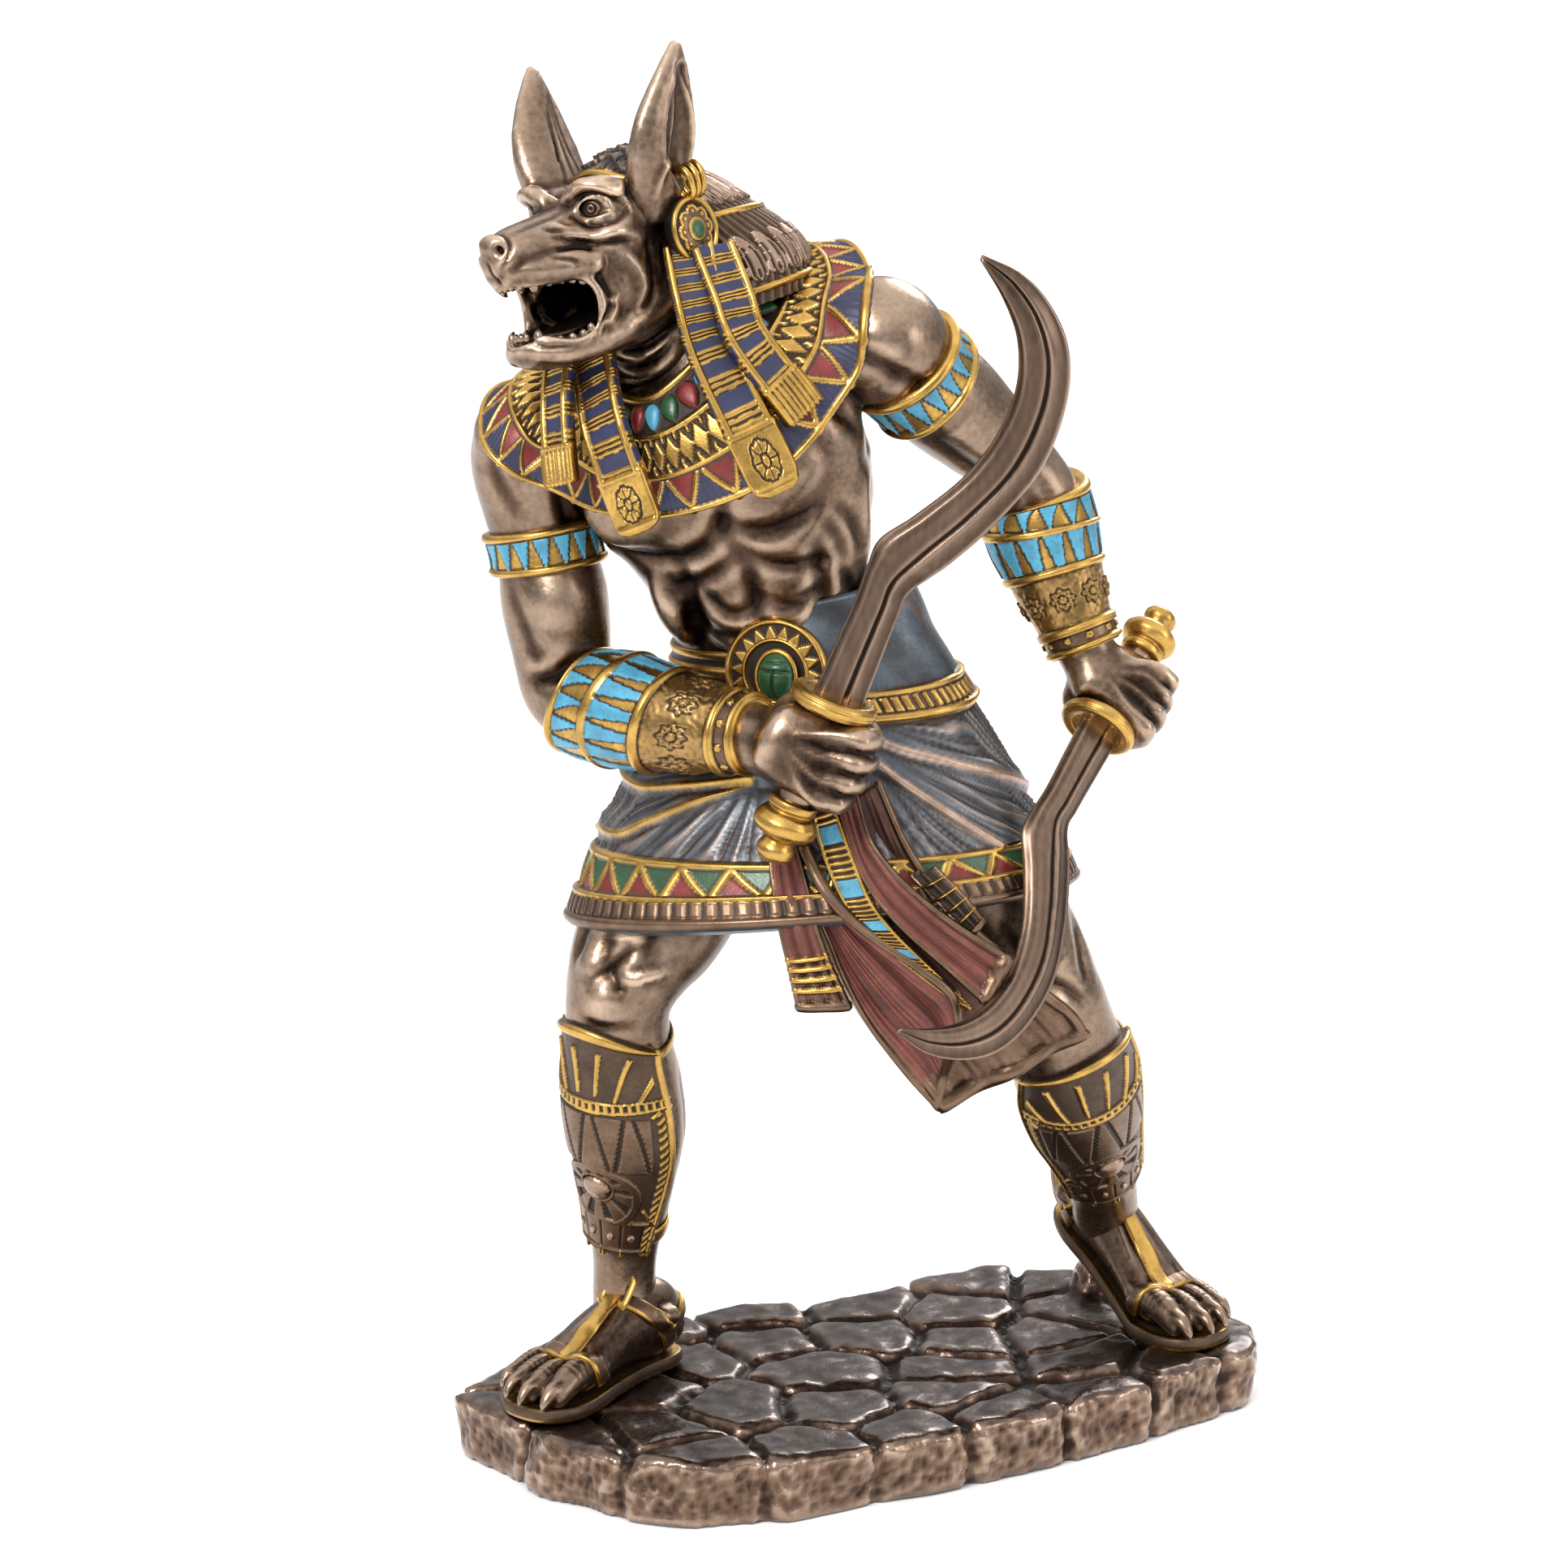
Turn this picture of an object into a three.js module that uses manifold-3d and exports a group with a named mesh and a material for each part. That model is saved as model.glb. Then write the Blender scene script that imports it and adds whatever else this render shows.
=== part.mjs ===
// A jackal-headed guardian striding over a cobbled base, with a sickle sword in each fist.
// Millimetres, +Z up. The origin is the centre of the base's underside and X runs along the base.
// The figure and the swords are shaped in a stance frame, where x is the figure's left and -y its front,
// and the whole stance is then turned about the base's centre.
import * as THREE from 'three';
import { mergeVertices } from 'three/addons/utils/BufferGeometryUtils.js';
import Module from 'manifold-3d';

const wasm = await Module();
wasm.setup();

// Driving dimensions
const STANCE_TURN = -27; // degrees from the base's frame to the stance frame
const GAP = 0.3; // clearance between pieces that touch
const BASE_TOP = 13.6;
const SLAB_TOP = 12.2;
const STONE_GROOVE = 0.9;
const STONE_BEVEL = 1.2;
const SHORTEST_EDGE = 6;
const SOLE_THICK = 2.6;
const GRIP_RADIUS = 3.2;
const BLADE_THICK = 3.4;

// Base outline, one point per bend, and the middle of each stone
const BASE_OUTLINE = [
  [-80, 23], [-78, 8], [-73, -12], [-66, -26], [-55, -37], [-38, -41], [-15, -41.5], [8, -41], [32, -38],
  [54, -33], [74, -27], [82, -14], [80, 3], [73, 22], [65, 35], [50, 43], [28, 40], [8, 40], [-8, 43],
  [-24, 41], [-46, 36], [-66, 31],
];
const STONE_CENTRES = [
  [-73, 14], [-70, -13], [-54, -33], [-29, -36], [-8, -37], [13, -36], [37, -34], [56, -29], [71, -17],
  [-53, -14], [-33, -8], [-15, -18], [8, -21], [-9, 2], [15, -9], [42, -17], [-11, 22], [10, 17],
  [32, 20], [41, 1], [46, 36], [60, 29], [17, 34], [-6, 37], [-29, 21], [26, 4], [-66, 26], [-45, 8],
  [-30, 36], [68, 9], [57, 10], [-50, 28],
];

// Torso rings from the hips up: place, half width, half depth, degrees of turn to the right and of roll
const TORSO = [
  [-10, 3, 128, 27, 18, 23, -6],
  [-11, 3, 140, 27, 18.5, 23, -6],
  [-15.5, 2, 154, 22, 16, 22, -4],
  [-19, 0, 164, 19.6, 14, 20, 0],
  [-21, -3, 172, 21.2, 14.6, 18, 5],
  [-22.5, -5, 180, 24.2, 15.8, 17, 10],
  [-25.5, -6, 189, 27.4, 17.2, 16, 14],
  [-29, -6, 198, 30.5, 18.4, 16, 18],
  [-32, -4, 207, 31.5, 17.6, 16, 20],
  [-34, -1, 215, 27, 15, 20, 20],
  [-36, 1, 222, 17, 13, 28, 17],
];
const ABDOMEN = [
  [
    [-17.5, -18.4, 192, 4.6, 4], [-16.4, -20.2, 187.4, 6.4, 4.4], [-16.2, -19, 184, 5.4, 3.2],
    [-15.4, -19.2, 179.8, 6.4, 4.4], [-15, -17.6, 176.4, 5.4, 3], [-14.2, -17, 171.6, 6.2, 4.4], [-12.6, -15, 165, 4.6, 4],
  ],
  [
    [-29.4, -16.6, 190, 4.6, 4], [-28.8, -18.2, 185.6, 6.4, 4.4], [-28, -17, 182.2, 5.4, 3.2],
    [-27, -17, 178, 6.4, 4.4], [-26.4, -15.4, 174.6, 5.4, 3], [-25.6, -14.8, 170, 6, 4.4], [-23, -13, 164, 4.6, 4],
  ],
];
const NECK = [[-37.5, -1, 214, 13.5, 13], [-38.8, -2.5, 222, 12.4, 12.6], [-40, -2.5, 231, 11.4, 12.4], [-41.5, -2, 240, 11, 13]];

// Limb stations from the trunk outwards: place, half width, half depth
const RIGHT_ARM = [
  [-62, 2, 205, 10, 10], [-65, 3, 198, 11.6, 12], [-63.6, 3, 188, 10.8, 11.2], [-62, 2, 179, 9.7, 10.4],
  [-60.6, 1, 170, 10.5, 11.2], [-59.4, 0, 161, 9.8, 10.4], [-58.2, -1.6, 153, 8.8, 9], [-53, -7, 150.6, 9.4, 9.4],
  [-46.5, -13.5, 151.2, 10.2, 10], [-37.5, -20.5, 150.8, 8.8, 8.6], [-27, -28.5, 151, 7, 6.6], [-20.5, -33.5, 151.4, 6, 5.6],
];
const RIGHT_ARM_BANDS = [[0.22, 0.28, 1], [0.66, 0.8, 1.2], [0.93, 0.985, 1.4]];
const LEFT_ARM = [
  [-4, -9, 222, 11, 10.6], [2.6, -9.5, 223, 12, 12], [8.6, -5.5, 216, 10.4, 10.6], [15.2, -0.5, 209.4, 10.8, 10.8],
  [22, 3.5, 202.5, 9.6, 9.6], [28.6, 7.4, 195.4, 8.2, 8.4], [32.6, 8.6, 188.4, 9.4, 9.2], [34.2, 7.4, 181.5, 10.2, 9.6],
  [37, 5.4, 173.4, 8.4, 8], [40.4, 3, 165, 6.6, 6.2], [43, 1.6, 158.5, 5.8, 5.4],
];
const LEFT_ARM_BANDS = [[0.17, 0.24, 1], [0.62, 0.78, 1.2], [0.9, 0.98, 1.4]];
const RIGHT_LEG = [
  [-28, 3, 128, 16, 16], [-34, -2, 119, 15, 16], [-41, -8.5, 108, 14.2, 15], [-45.6, -13, 101, 12.4, 13],
  [-48.2, -15.6, 93.5, 10.4, 10.6], [-48.2, -13.6, 85, 10.2, 10.8], [-47.2, -10.8, 75, 11.4, 12.4],
  [-46.4, -8.4, 65, 11.6, 12.2], [-46.4, -6.2, 55.5, 9.9, 10.4], [-47, -4, 45.5, 8, 8.4],
  [-47.6, -2.6, 36, 6.7, 7.2], [-47.6, -1.8, 24, 7.2, 8.4],
];
const LEFT_LEG = [
  [12, -4, 124, 15, 15.4], [20, -7, 115, 14.6, 15.4], [27, -9.4, 106, 13.6, 14.4], [32.6, -10.8, 98, 12, 12.6],
  [37, -10.6, 90, 10.4, 10.8], [39.6, -7, 82, 11, 11.2], [41, -1, 74.6, 12, 12.2], [43, 6.4, 66, 11.2, 11.8],
  [45.2, 14.4, 57.4, 9.4, 10.2], [47, 22, 49.2, 8, 8.8], [48.4, 29.4, 41.4, 7.4, 7.8], [49.6, 35.4, 33, 7.4, 8.4],
];
const GREAVE_BANDS = [[0.42, 0.46, 1.8], [0.465, 0.92, 0.9]];

// Rings of belt, kilt and hem from the waist down, as for the torso, with the share of the pleats they show
// and the degrees by which the front is lifted
const KILT = [
  [-15.6, 1, 170.6, 25.2, 16, 20, 10, 0, 0],
  [-13.6, 1, 163.8, 27.4, 17.2, 21, 6, 0, 0],
  [-13.4, 1, 163, 28.6, 18.2, 21, 5.6, 0, 0],
  [-10.6, 1, 155.4, 31.4, 20.4, 20, 3, 0, 0],
  [-10.2, 1, 154.6, 30.6, 19.6, 20, 3, 0.4, 0],
  [-8.8, 0, 141, 35.6, 25, 14, 1, 0.7, 0],
  [-8.6, -1.4, 131, 40, 28, 8, 1, 1, 2],
  [-8.6, -3, 120, 46, 30.6, 2, 3.4, 1, 6],
  [-8.6, -3.2, 118.8, 47.8, 32, 0, 4.2, 0, 7],
  [-8.6, -4, 110.4, 50.8, 34.4, -3, 4.2, 0, 8],
];
const KILT_PLEATS = 14;
const KILT_PLEAT_DEPTH = 0.026;

// Collar rims, one point per bend, from the front centre round by the figure's left
const COLLAR_INNER = [
  [-41.5, -20.5, 214.5], [-31, -17.5, 223], [-24, -7, 231], [-30, 7, 233], [-44, 8.5, 229], [-52, -1, 222.5],
  [-51, -13.5, 216],
];
const COLLAR_OUTER = [
  [-38, -31, 191], [-17, -30, 200.5], [-2.5, -22, 218], [-1.5, -7, 231.5], [-6, 7, 238], [-22, 18, 234.5],
  [-46, 18, 222.5], [-65, 8, 212], [-74.5, -5, 204.5], [-68, -18.5, 196.5], [-54, -27, 192],
];
const COLLAR_PROUD = 5.2;

// Lappets of the headdress on the chest: top, bend and end of the middle line, half width
const LAPPETS = [
  [[-29.5, -19.5, 239], [-22.5, -27, 226], [-12.4, -27.5, 212.6], 4.6],
  [[-35, -20.5, 238.5], [-28.5, -28, 222], [-17, -34, 199], 4.8],
  [[-57.5, -15, 222], [-58.6, -23.5, 212], [-57.6, -28, 199.4], 3.8],
  [[-52, -19, 222], [-49.4, -28.5, 209], [-42.8, -33, 191.5], 4.6],
];
const LAPPET_THICK = 2.4;

// Head frame: place, turn to the right, nod and roll in degrees; points in it are forward, left, up
const HEAD = { at: [-44, -5, 247], turn: 45, nod: 6, roll: 13 };
const MUZZLE = [
  [6, 0, -3, 12.4, 12.6], [13, 0, -2.4, 11.4, 9.6], [20, 0, -2, 9.6, 7], [27, 0, -2, 7.6, 6], [33, 0, -2, 6.6, 5.4],
  [36.6, 0, -1.2, 5.2, 4.2],
];
const JAW = [
  [4, 0, -16, 10.4, 8], [12, 0, -18.4, 11, 6.4], [20, 0, -20.4, 9.6, 4.4], [28, 0, -20.6, 7.4, 3.4],
  [33.6, 0, -19.2, 5.6, 3.4],
];
const CHEEK = [[9, 6, 4, 8, 6], [11.6, 7.2, -3, 9.6, 6.2], [12.4, 7.2, -11, 9.4, 6], [11.4, 6.4, -18, 8.4, 5.4]];
const EAR = [
  [4, 12, 3, 6.8, 4.6], [3, 14, 9.6, 8, 4], [1.8, 15.8, 15.6, 7.6, 3.4], [-0.2, 17.4, 22, 5.6, 2.6],
  [-2.4, 18.8, 29, 1.8, 1.4],
];
const EAR_HOLLOW = [[1.6, 18.4, 8.2, 5, 3], [0.4, 19.2, 14, 5.2, 2.8], [-1.2, 19.4, 20, 3.6, 2], [-2.4, 19.8, 25, 1.4, 1]];
const EAR_AHEAD = 3.4; // how much further forward the right ear stands
const EAR_DISC = { at: [2, 17.2, -4.8], radius: 5.5, thick: 2.4 };

// Headdress rings from the crown to the hem on the shoulders, as for the torso
const HEADDRESS = [
  [-45.5, -3.4, 256, 7, 7, 45, 12],
  [-42.6, -1, 252, 12, 10.8, 42, 12],
  [-38.8, 1, 246.6, 15.4, 13.4, 38, 14],
  [-35.5, 2.4, 240.6, 19.2, 15.8, 32, 17],
  [-33.5, 3, 234, 22.6, 17.6, 27, 19],
  [-33, 2.6, 227.5, 24.4, 19, 24, 20],
];

// Apron cloth rows down the front: left end and right end of each row
const APRON_ROWS = [
  [[-17, -27, 141], [-6, -28, 143]], [[-15, -31, 124], [2, -33, 126]], [[-9, -33, 106], [14, -35, 112]],
  [[0, -32, 90], [24, -34, 101]], [[9, -29, 77.5], [28, -30, 90]],
];
const APRON_THICK = 3;
const SASH_ROWS = [
  [[-18, -30, 132], [-11.5, -31, 132]], [[-16.5, -34.6, 114], [-9, -35.6, 114]], [[-13.6, -35, 97.6], [-4.6, -35.6, 96.8]],
];
const APRON_STRIP = [[-9.4, -33, 139], [-5.4, -36.6, 124], [3.4, -38.6, 110], [15, -38, 99]];
const BELT_BUCKLE = { at: [-16.6, -20.6, 160.6], radius: 9.8, thick: 3.4, turn: 21 };

// Feet: heel and toe on the ground, degrees of turn to the figure's right, lift of the heel
const RIGHT_FOOT = { heel: [-42.5, -0.5], turn: 38, lift: 0, mirror: 1 };
const LEFT_FOOT = { heel: [45.5, 41], turn: -37, lift: 12.6, mirror: -1 };
const FOOT_LENGTH = 41;
const HEEL_LUMP = { at: [47, 44], radius: 5.4, top: 22 };

// Sickle sword in its own plane: u to the outer side, v towards the tip, origin at the guard
const BLADE_OUTER = [
  [5.6, 0], [5.5, 19.8], [5.5, 24.3], [11.1, 32.8], [16.9, 44.7], [20.5, 56.7], [20, 69], [17, 78.4], [11, 85],
  [2.6, 89.2], [-5, 89.9],
];
const BLADE_INNER = [
  [1.1, 83.9], [6.9, 77.2], [10, 69], [10.1, 59.5], [7.2, 49.4], [1.4, 39.3], [-3.6, 32], [-3.2, 16.9], [-4.3, 0],
];
const POMMEL_PROFILE = [
  [0, -33.4], [2.8, -32.8], [3.8, -30.8], [2.7, -28.2], [5.2, -27.4], [6.2, -25.2], [5, -22.8], [4.5, -20.4],
];
const POMMEL_REACH = 6.6;
const GUARD = { radius: 8.6, thick: 3.2 };
const RIGHT_SWORD = { at: [-6.67, -40, 159.48], u: [0.9345, 0, -0.3558], v: [0.3558, 0, 0.9345], size: 1 };
const LEFT_SWORD = { at: [45, -4.4, 145.6], u: [0.739, 0.111, -0.665], v: [-0.459, -0.64, -0.617], size: 0.89 };

const rad = THREE.MathUtils.degToRad;
const vec = (p) => new THREE.Vector3(...p);

// A closed three.js geometry as a solid that can be joined and cut
function solid(geometry) {
  const bare = geometry.clone();
  Object.keys(bare.attributes).forEach((name) => name !== 'position' && bare.deleteAttribute(name));
  const merged = mergeVertices(bare, 1e-4);
  const corners = [...merged.index.array];
  const whole = (i) => new Set(corners.slice(i - (i % 3), i - (i % 3) + 3)).size === 3;
  const faces = new Uint32Array(corners.filter((corner, i) => whole(i)));
  const build = () => new wasm.Manifold(
    new wasm.Mesh({ numProp: 3, vertProperties: merged.attributes.position.array, triVerts: faces }),
  );
  const made = build();
  if (made.volume() >= 0) return made;
  for (let i = 0; i < faces.length; i += 3) {
    [faces[i], faces[i + 1]] = [faces[i + 1], faces[i]];
  }
  return build();
}

const join = (pieces) => pieces.reduce((whole, piece) => whole.add(piece));

// A named mesh for a finished solid
function mesh(name, made, color, roughness, metalness) {
  const { vertProperties, triVerts } = made.getMesh();
  const geometry = new THREE.BufferGeometry();
  geometry.setAttribute('position', new THREE.BufferAttribute(new Float32Array(vertProperties), 3));
  geometry.setIndex(new THREE.BufferAttribute(new Uint32Array(triVerts), 1));
  geometry.computeVertexNormals();
  const result = new THREE.Mesh(geometry, new THREE.MeshStandardMaterial({ color, roughness, metalness }));
  result.name = name;
  return result;
}

// A closed skin over a row of rings with rounded ends, bent from a sphere whose rows become the rings
function loft(rings, sides, bulge = 0.35, ripple = () => 1) {
  const geometry = new THREE.SphereGeometry(1, sides, rings.length + 1);
  const position = geometry.attributes.position;
  const pole = (end, next) => end.at.clone().addScaledVector(
    end.at.clone().sub(next.at).normalize(),
    bulge * Math.min(end.wide.length(), end.deep.length()),
  );
  const first = pole(rings[0], rings[1]);
  const last = pole(rings.at(-1), rings.at(-2));
  for (let i = 0; i < position.count; i++) {
    const row = Math.floor(i / (sides + 1)) - 1;
    const angle = (2 * Math.PI * (i % (sides + 1))) / sides;
    let point = row < 0 ? first : last;
    if (row >= 0 && row < rings.length) {
      const { at, wide, deep } = rings[row];
      const swell = ripple(angle, row);
      point = at.clone()
        .addScaledVector(wide, Math.cos(angle) * swell)
        .addScaledVector(deep, Math.sin(angle) * swell);
    }
    position.setXYZ(i, point.x, point.y, point.z);
  }
  return solid(geometry);
}

// A level ring that is turned to the figure's right and rolled, with deep pointing forward
function trunkRing([x, y, z, wide, deep, turn, roll, , lift = 0]) {
  const [t, r] = [rad(turn), rad(roll)];
  return {
    at: vec([x, y, z]),
    wide: vec([Math.cos(t) * Math.cos(r), -Math.sin(t) * Math.cos(r), Math.sin(r)]).multiplyScalar(wide),
    deep: vec([-Math.sin(t), -Math.cos(t), Math.sin(rad(lift))]).multiplyScalar(deep),
  };
}
const trunk = (rows, sides, ripple) => loft(rows.map((row) => trunkRing(row)), sides, 0.2, ripple);

// Rings square to a path of stations, with their width along the given direction
function limbRings(stations, across) {
  const points = stations.map((s) => vec(s.slice(0, 3)));
  return stations.map(([, , , wide, deep], i) => {
    const ahead = points[Math.min(i + 1, points.length - 1)];
    const tangent = ahead.clone().sub(points[Math.max(i - 1, 0)]).normalize();
    const side = vec(across);
    side.addScaledVector(tangent, -side.dot(tangent)).normalize();
    return {
      at: points[i],
      wide: side.clone().multiplyScalar(wide),
      deep: tangent.clone().cross(side).multiplyScalar(deep),
    };
  });
}
const limb = (stations, across, sides, bulge = 0.5) => loft(limbRings(stations, across), sides, bulge);

// Stations with a step at both ends of each band, whose stretch stands proud of the limb
function banded(stations, bands) {
  const last = stations.length - 1;
  const edge = 0.004;
  const shares = [...stations.keys()].map((i) => i / last);
  bands.forEach(([from, to]) => shares.push(from - edge, from, to, to + edge));
  return shares.sort((a, b) => a - b).map((share) => {
    const i = Math.min(Math.floor(share * last), last - 1);
    const mixed = stations[i].map((value, k) => THREE.MathUtils.lerp(value, stations[i + 1][k], share * last - i));
    const band = bands.find(([from, to]) => share >= from && share <= to);
    const proud = band ? band[2] : 0;
    return [...mixed.slice(0, 3), mixed[3] + proud, mixed[4] + proud];
  });
}

// An ellipsoid, level or in the axes given
function ball(at, radii, axes = [[1, 0, 0], [0, 1, 0], [0, 0, 1]], sides = 10, rows = 6) {
  const geometry = new THREE.SphereGeometry(1, sides, rows);
  const matrix = new THREE.Matrix4().makeBasis(...axes.map((axis, i) => vec(axis).multiplyScalar(radii[i])));
  geometry.applyMatrix4(matrix.setPosition(...at));
  return solid(geometry);
}

// A sheet of some thickness over a surface of (across, down), both from 0 to 1
function sheet(surface, columns, rows, thick, out = [0, -1, 0]) {
  const geometry = new THREE.BoxGeometry(1, 1, 1, columns, rows, 1);
  const position = geometry.attributes.position;
  for (let i = 0; i < position.count; i++) {
    const point = surface(position.getX(i) + 0.5, 0.5 - position.getY(i));
    point.addScaledVector(vec(out), position.getZ(i) * thick);
    position.setXYZ(i, point.x, point.y, point.z);
  }
  return solid(geometry);
}

// A surface spanned by rows that each run from a left end to a right end
function spanned(rows, wave = () => 0) {
  const left = new THREE.CatmullRomCurve3(rows.map((row) => vec(row[0])));
  const right = new THREE.CatmullRomCurve3(rows.map((row) => vec(row[1])));
  return (across, down) => {
    const point = left.getPoint(down).lerp(right.getPoint(down), across);
    point.y -= wave(across, down);
    return point;
  };
}

// A flat strap of half width along a middle line, its width level with the chest
function strap(line, half, thick, side = [0.93, -0.2, 0.3], rows = 4) {
  const curve = new THREE.CatmullRomCurve3(line.map(vec));
  const surface = (across, down) => curve.getPoint(down).addScaledVector(vec(side), (across * 2 - 1) * half);
  return sheet(surface, 1, rows, thick);
}

// A stone's cell: the part of the outline that is nearer to its middle than to any other's
function stoneCell(outline, centre, others) {
  let cell = outline;
  for (const other of others) {
    const away = new THREE.Vector2().subVectors(other, centre);
    const reach = away.length() / 2 - STONE_GROOVE / 2;
    away.normalize();
    const depth = (p) => new THREE.Vector2().subVectors(p, centre).dot(away) - reach;
    cell = cell.flatMap((p, i) => {
      const next = cell[(i + 1) % cell.length];
      const [a, b] = [depth(p), depth(next)];
      const crossing = p.clone().lerp(next, a / (a - b));
      if (a <= 0) return b > 0 ? [p, crossing] : [p];
      return b <= 0 ? [crossing] : [];
    });
  }
  return cell.filter((p, i) => p.distanceTo(cell[(i + 1) % cell.length]) > SHORTEST_EDGE);
}

function extruded(points, depth, bevel, at = 0) {
  const geometry = new THREE.ExtrudeGeometry(new THREE.Shape(points), {
    depth: depth - 2 * bevel,
    bevelEnabled: bevel > 0,
    bevelThickness: bevel,
    bevelSize: bevel,
    bevelOffset: -bevel,
    bevelSegments: 1,
  });
  return solid(geometry.translate(0, 0, at + bevel));
}

function makeBase() {
  const outline = BASE_OUTLINE.map((p) => new THREE.Vector2(...p));
  const inner = outline.map((p) => p.clone().multiplyScalar(1 - 2.4 / p.length()));
  const centres = STONE_CENTRES.map((p) => new THREE.Vector2(...p));
  const stones = centres.map((centre, i) => {
    const cell = stoneCell(outline, centre, centres.filter((other) => other !== centre));
    const settle = 0.35 * (1 + Math.sin(i * 2.4));
    return extruded(cell, BASE_TOP - settle - GAP, STONE_BEVEL, GAP);
  });
  const { at, radius, top } = HEEL_LUMP;
  const turned = new THREE.Vector2(...at).rotateAround(new THREE.Vector2(), rad(STANCE_TURN));
  const lump = ball([turned.x, turned.y, BASE_TOP - 2], [radius, radius, top + 2 - BASE_TOP]);
  return join([extruded(inner, SLAB_TOP, 0), ...stones, lump]);
}

// The head frame's matrix, with columns forward, left and up
function headMatrix() {
  const [t, n, r] = [HEAD.turn, HEAD.nod, HEAD.roll].map(rad);
  const turned = new THREE.Matrix4().makeBasis(
    vec([-Math.sin(t), -Math.cos(t), 0]),
    vec([Math.cos(t), -Math.sin(t), 0]),
    vec([0, 0, 1]),
  );
  const matrix = turned
    .multiply(new THREE.Matrix4().makeRotationY(n))
    .multiply(new THREE.Matrix4().makeRotationX(r));
  return matrix.setPosition(...HEAD.at);
}

function makeHead() {
  const level = [0, 1, 0];
  const skull = ball([1, 0, -1], [13.4, 12.2, 12.4], undefined, 9, 6);
  const earSide = [1, 0.1, 0.1];
  const muzzle = limb(MUZZLE, level, 8, 0.5);
  const jaw = limb(JAW, level, 8, 0.5);
  const nose = ball([36.6, 0, 0.6], [2.8, 4.2, 3], undefined, 7, 4);
  const pieces = [skull, muzzle, jaw, nose];
  for (const side of [1, -1]) {
    const flip = ([x, y, z, ...size]) => [x, side * y, z, ...size];
    const ear = limb(EAR.map(flip), earSide, 7).subtract(limb(EAR_HOLLOW.map(flip), earSide, 6));
    pieces.push(
      limb(CHEEK.map(flip), [1, 0, 0], 7, 0.3),
      ball([15.6, side * 6.6, 5.6], [5, 4.2, 2.6], undefined, 7, 4),
      ear.translate([side < 0 ? EAR_AHEAD : 0, 0, 0]),
      earDisc(side),
    );
  }
  const throat = limb([[12, 0, -12, 4.4, 3], [22, 0, -12.2, 7.6, 4.6], [32, 0, -12, 6, 5.4]], level, 8);
  const head = join(pieces).subtract(throat);
  return head.transform([...headMatrix().elements]);
}

function earDisc(side) {
  const { at: [x, y, z], radius, thick } = EAR_DISC;
  const disc = new THREE.CylinderGeometry(radius, radius, thick, 12).translate(x, side * y, z);
  const ring = new THREE.TorusGeometry(2.8, 1.3, 3, 7).rotateY(rad(20)).translate(x - 2, side * (y - 0.6), z + 7.2);
  return solid(disc).add(solid(ring));
}

function makeTorso() {
  const chest = [[0.914, -0.262, 0.309], [0.276, 0.961, 0], [-0.297, 0.085, 0.951]];
  const muscles = [
    ball([-20, -18.5, 199.5], [13.4, 7.4, 10], chest, 9, 5),
    ball([-43, -13.5, 192.5], [12.6, 7.4, 9.4], chest, 9, 5),
    ball([-6.4, -2.4, 202], [5.6, 12, 18], chest, 8, 5),
    ball([-48, 2, 191], [6.4, 12, 14], chest, 8, 5),
  ];
  for (const column of ABDOMEN) {
    muscles.push(limb(column, [0.95, -0.31, 0], 6, 0.3));
  }
  return join([trunk(TORSO, 12), limb(NECK, [0.93, -0.3, 0.2], 8), ...muscles]);
}

// Collar: rings between the neck rim and the shoulder rim, closed through the chest
function makeCollar() {
  const inner = new THREE.CatmullRomCurve3(COLLAR_INNER.map(vec), true);
  const outer = new THREE.CatmullRomCurve3(COLLAR_OUTER.map(vec), true);
  const shares = [0, 0.45, 1];
  const sides = 18;
  const heart = vec([-34, -5, 205]);
  const geometry = new THREE.SphereGeometry(1, sides, shares.length + 2);
  const position = geometry.attributes.position;
  for (let i = 0; i < position.count; i++) {
    const row = Math.floor(i / (sides + 1)) - 1;
    const turn = (i % (sides + 1)) % sides / sides;
    let point = row < 0 ? vec([-39, -5, 221]) : heart.clone();
    if (row >= 0 && row < shares.length) {
      const share = shares[row];
      point = inner.getPoint(turn).lerp(outer.getPoint(turn), share);
      const out = point.clone().sub(heart).normalize();
      point.addScaledVector(out, COLLAR_PROUD * Math.sin(Math.PI * share) * 0.8);
    } else if (row === shares.length) {
      point = outer.getPoint(turn).lerp(heart, 0.12);
    }
    position.setXYZ(i, point.x, point.y, point.z);
  }
  return solid(geometry);
}

function makeArms() {
  return join([
    limb(banded(RIGHT_ARM, RIGHT_ARM_BANDS), [0.7, 0.3, 0.7], 8),
    ball([-65.5, 2.5, 199], [10.6, 12, 13], undefined, 8, 5),
    limb(banded(LEFT_ARM, LEFT_ARM_BANDS), [0.9, 0, 0.5], 8),
    ball([3, -9.6, 221.5], [12, 11.6, 12.4], undefined, 8, 5),
  ]);
}

// A fist: fingers rolled round the grip from the first to the fourth, the back of the hand and the thumb
function makeFist(sword, palm, thumb) {
  const frame = swordMatrix(sword);
  const rolls = [[-2.4, 5.6], [-4.6, 8], [-7, 6.6], [-9.2, 7.9], [-11.6, 6.5], [-13.8, 7.6], [-16, 6.2], [-18, 7], [-19.6, 5]];
  const fingers = limb(rolls.map(([along, radius]) => [0.8, along, 0, radius, radius * 0.92]), [1, 0, 0], 8, 0);
  return join([
    fingers.transform([...frame.elements]),
    limb(palm, [0, 0, 1], 7, 0.6),
    limb(thumb, [0, 0, 1], 6, 0.6),
  ]);
}

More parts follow.
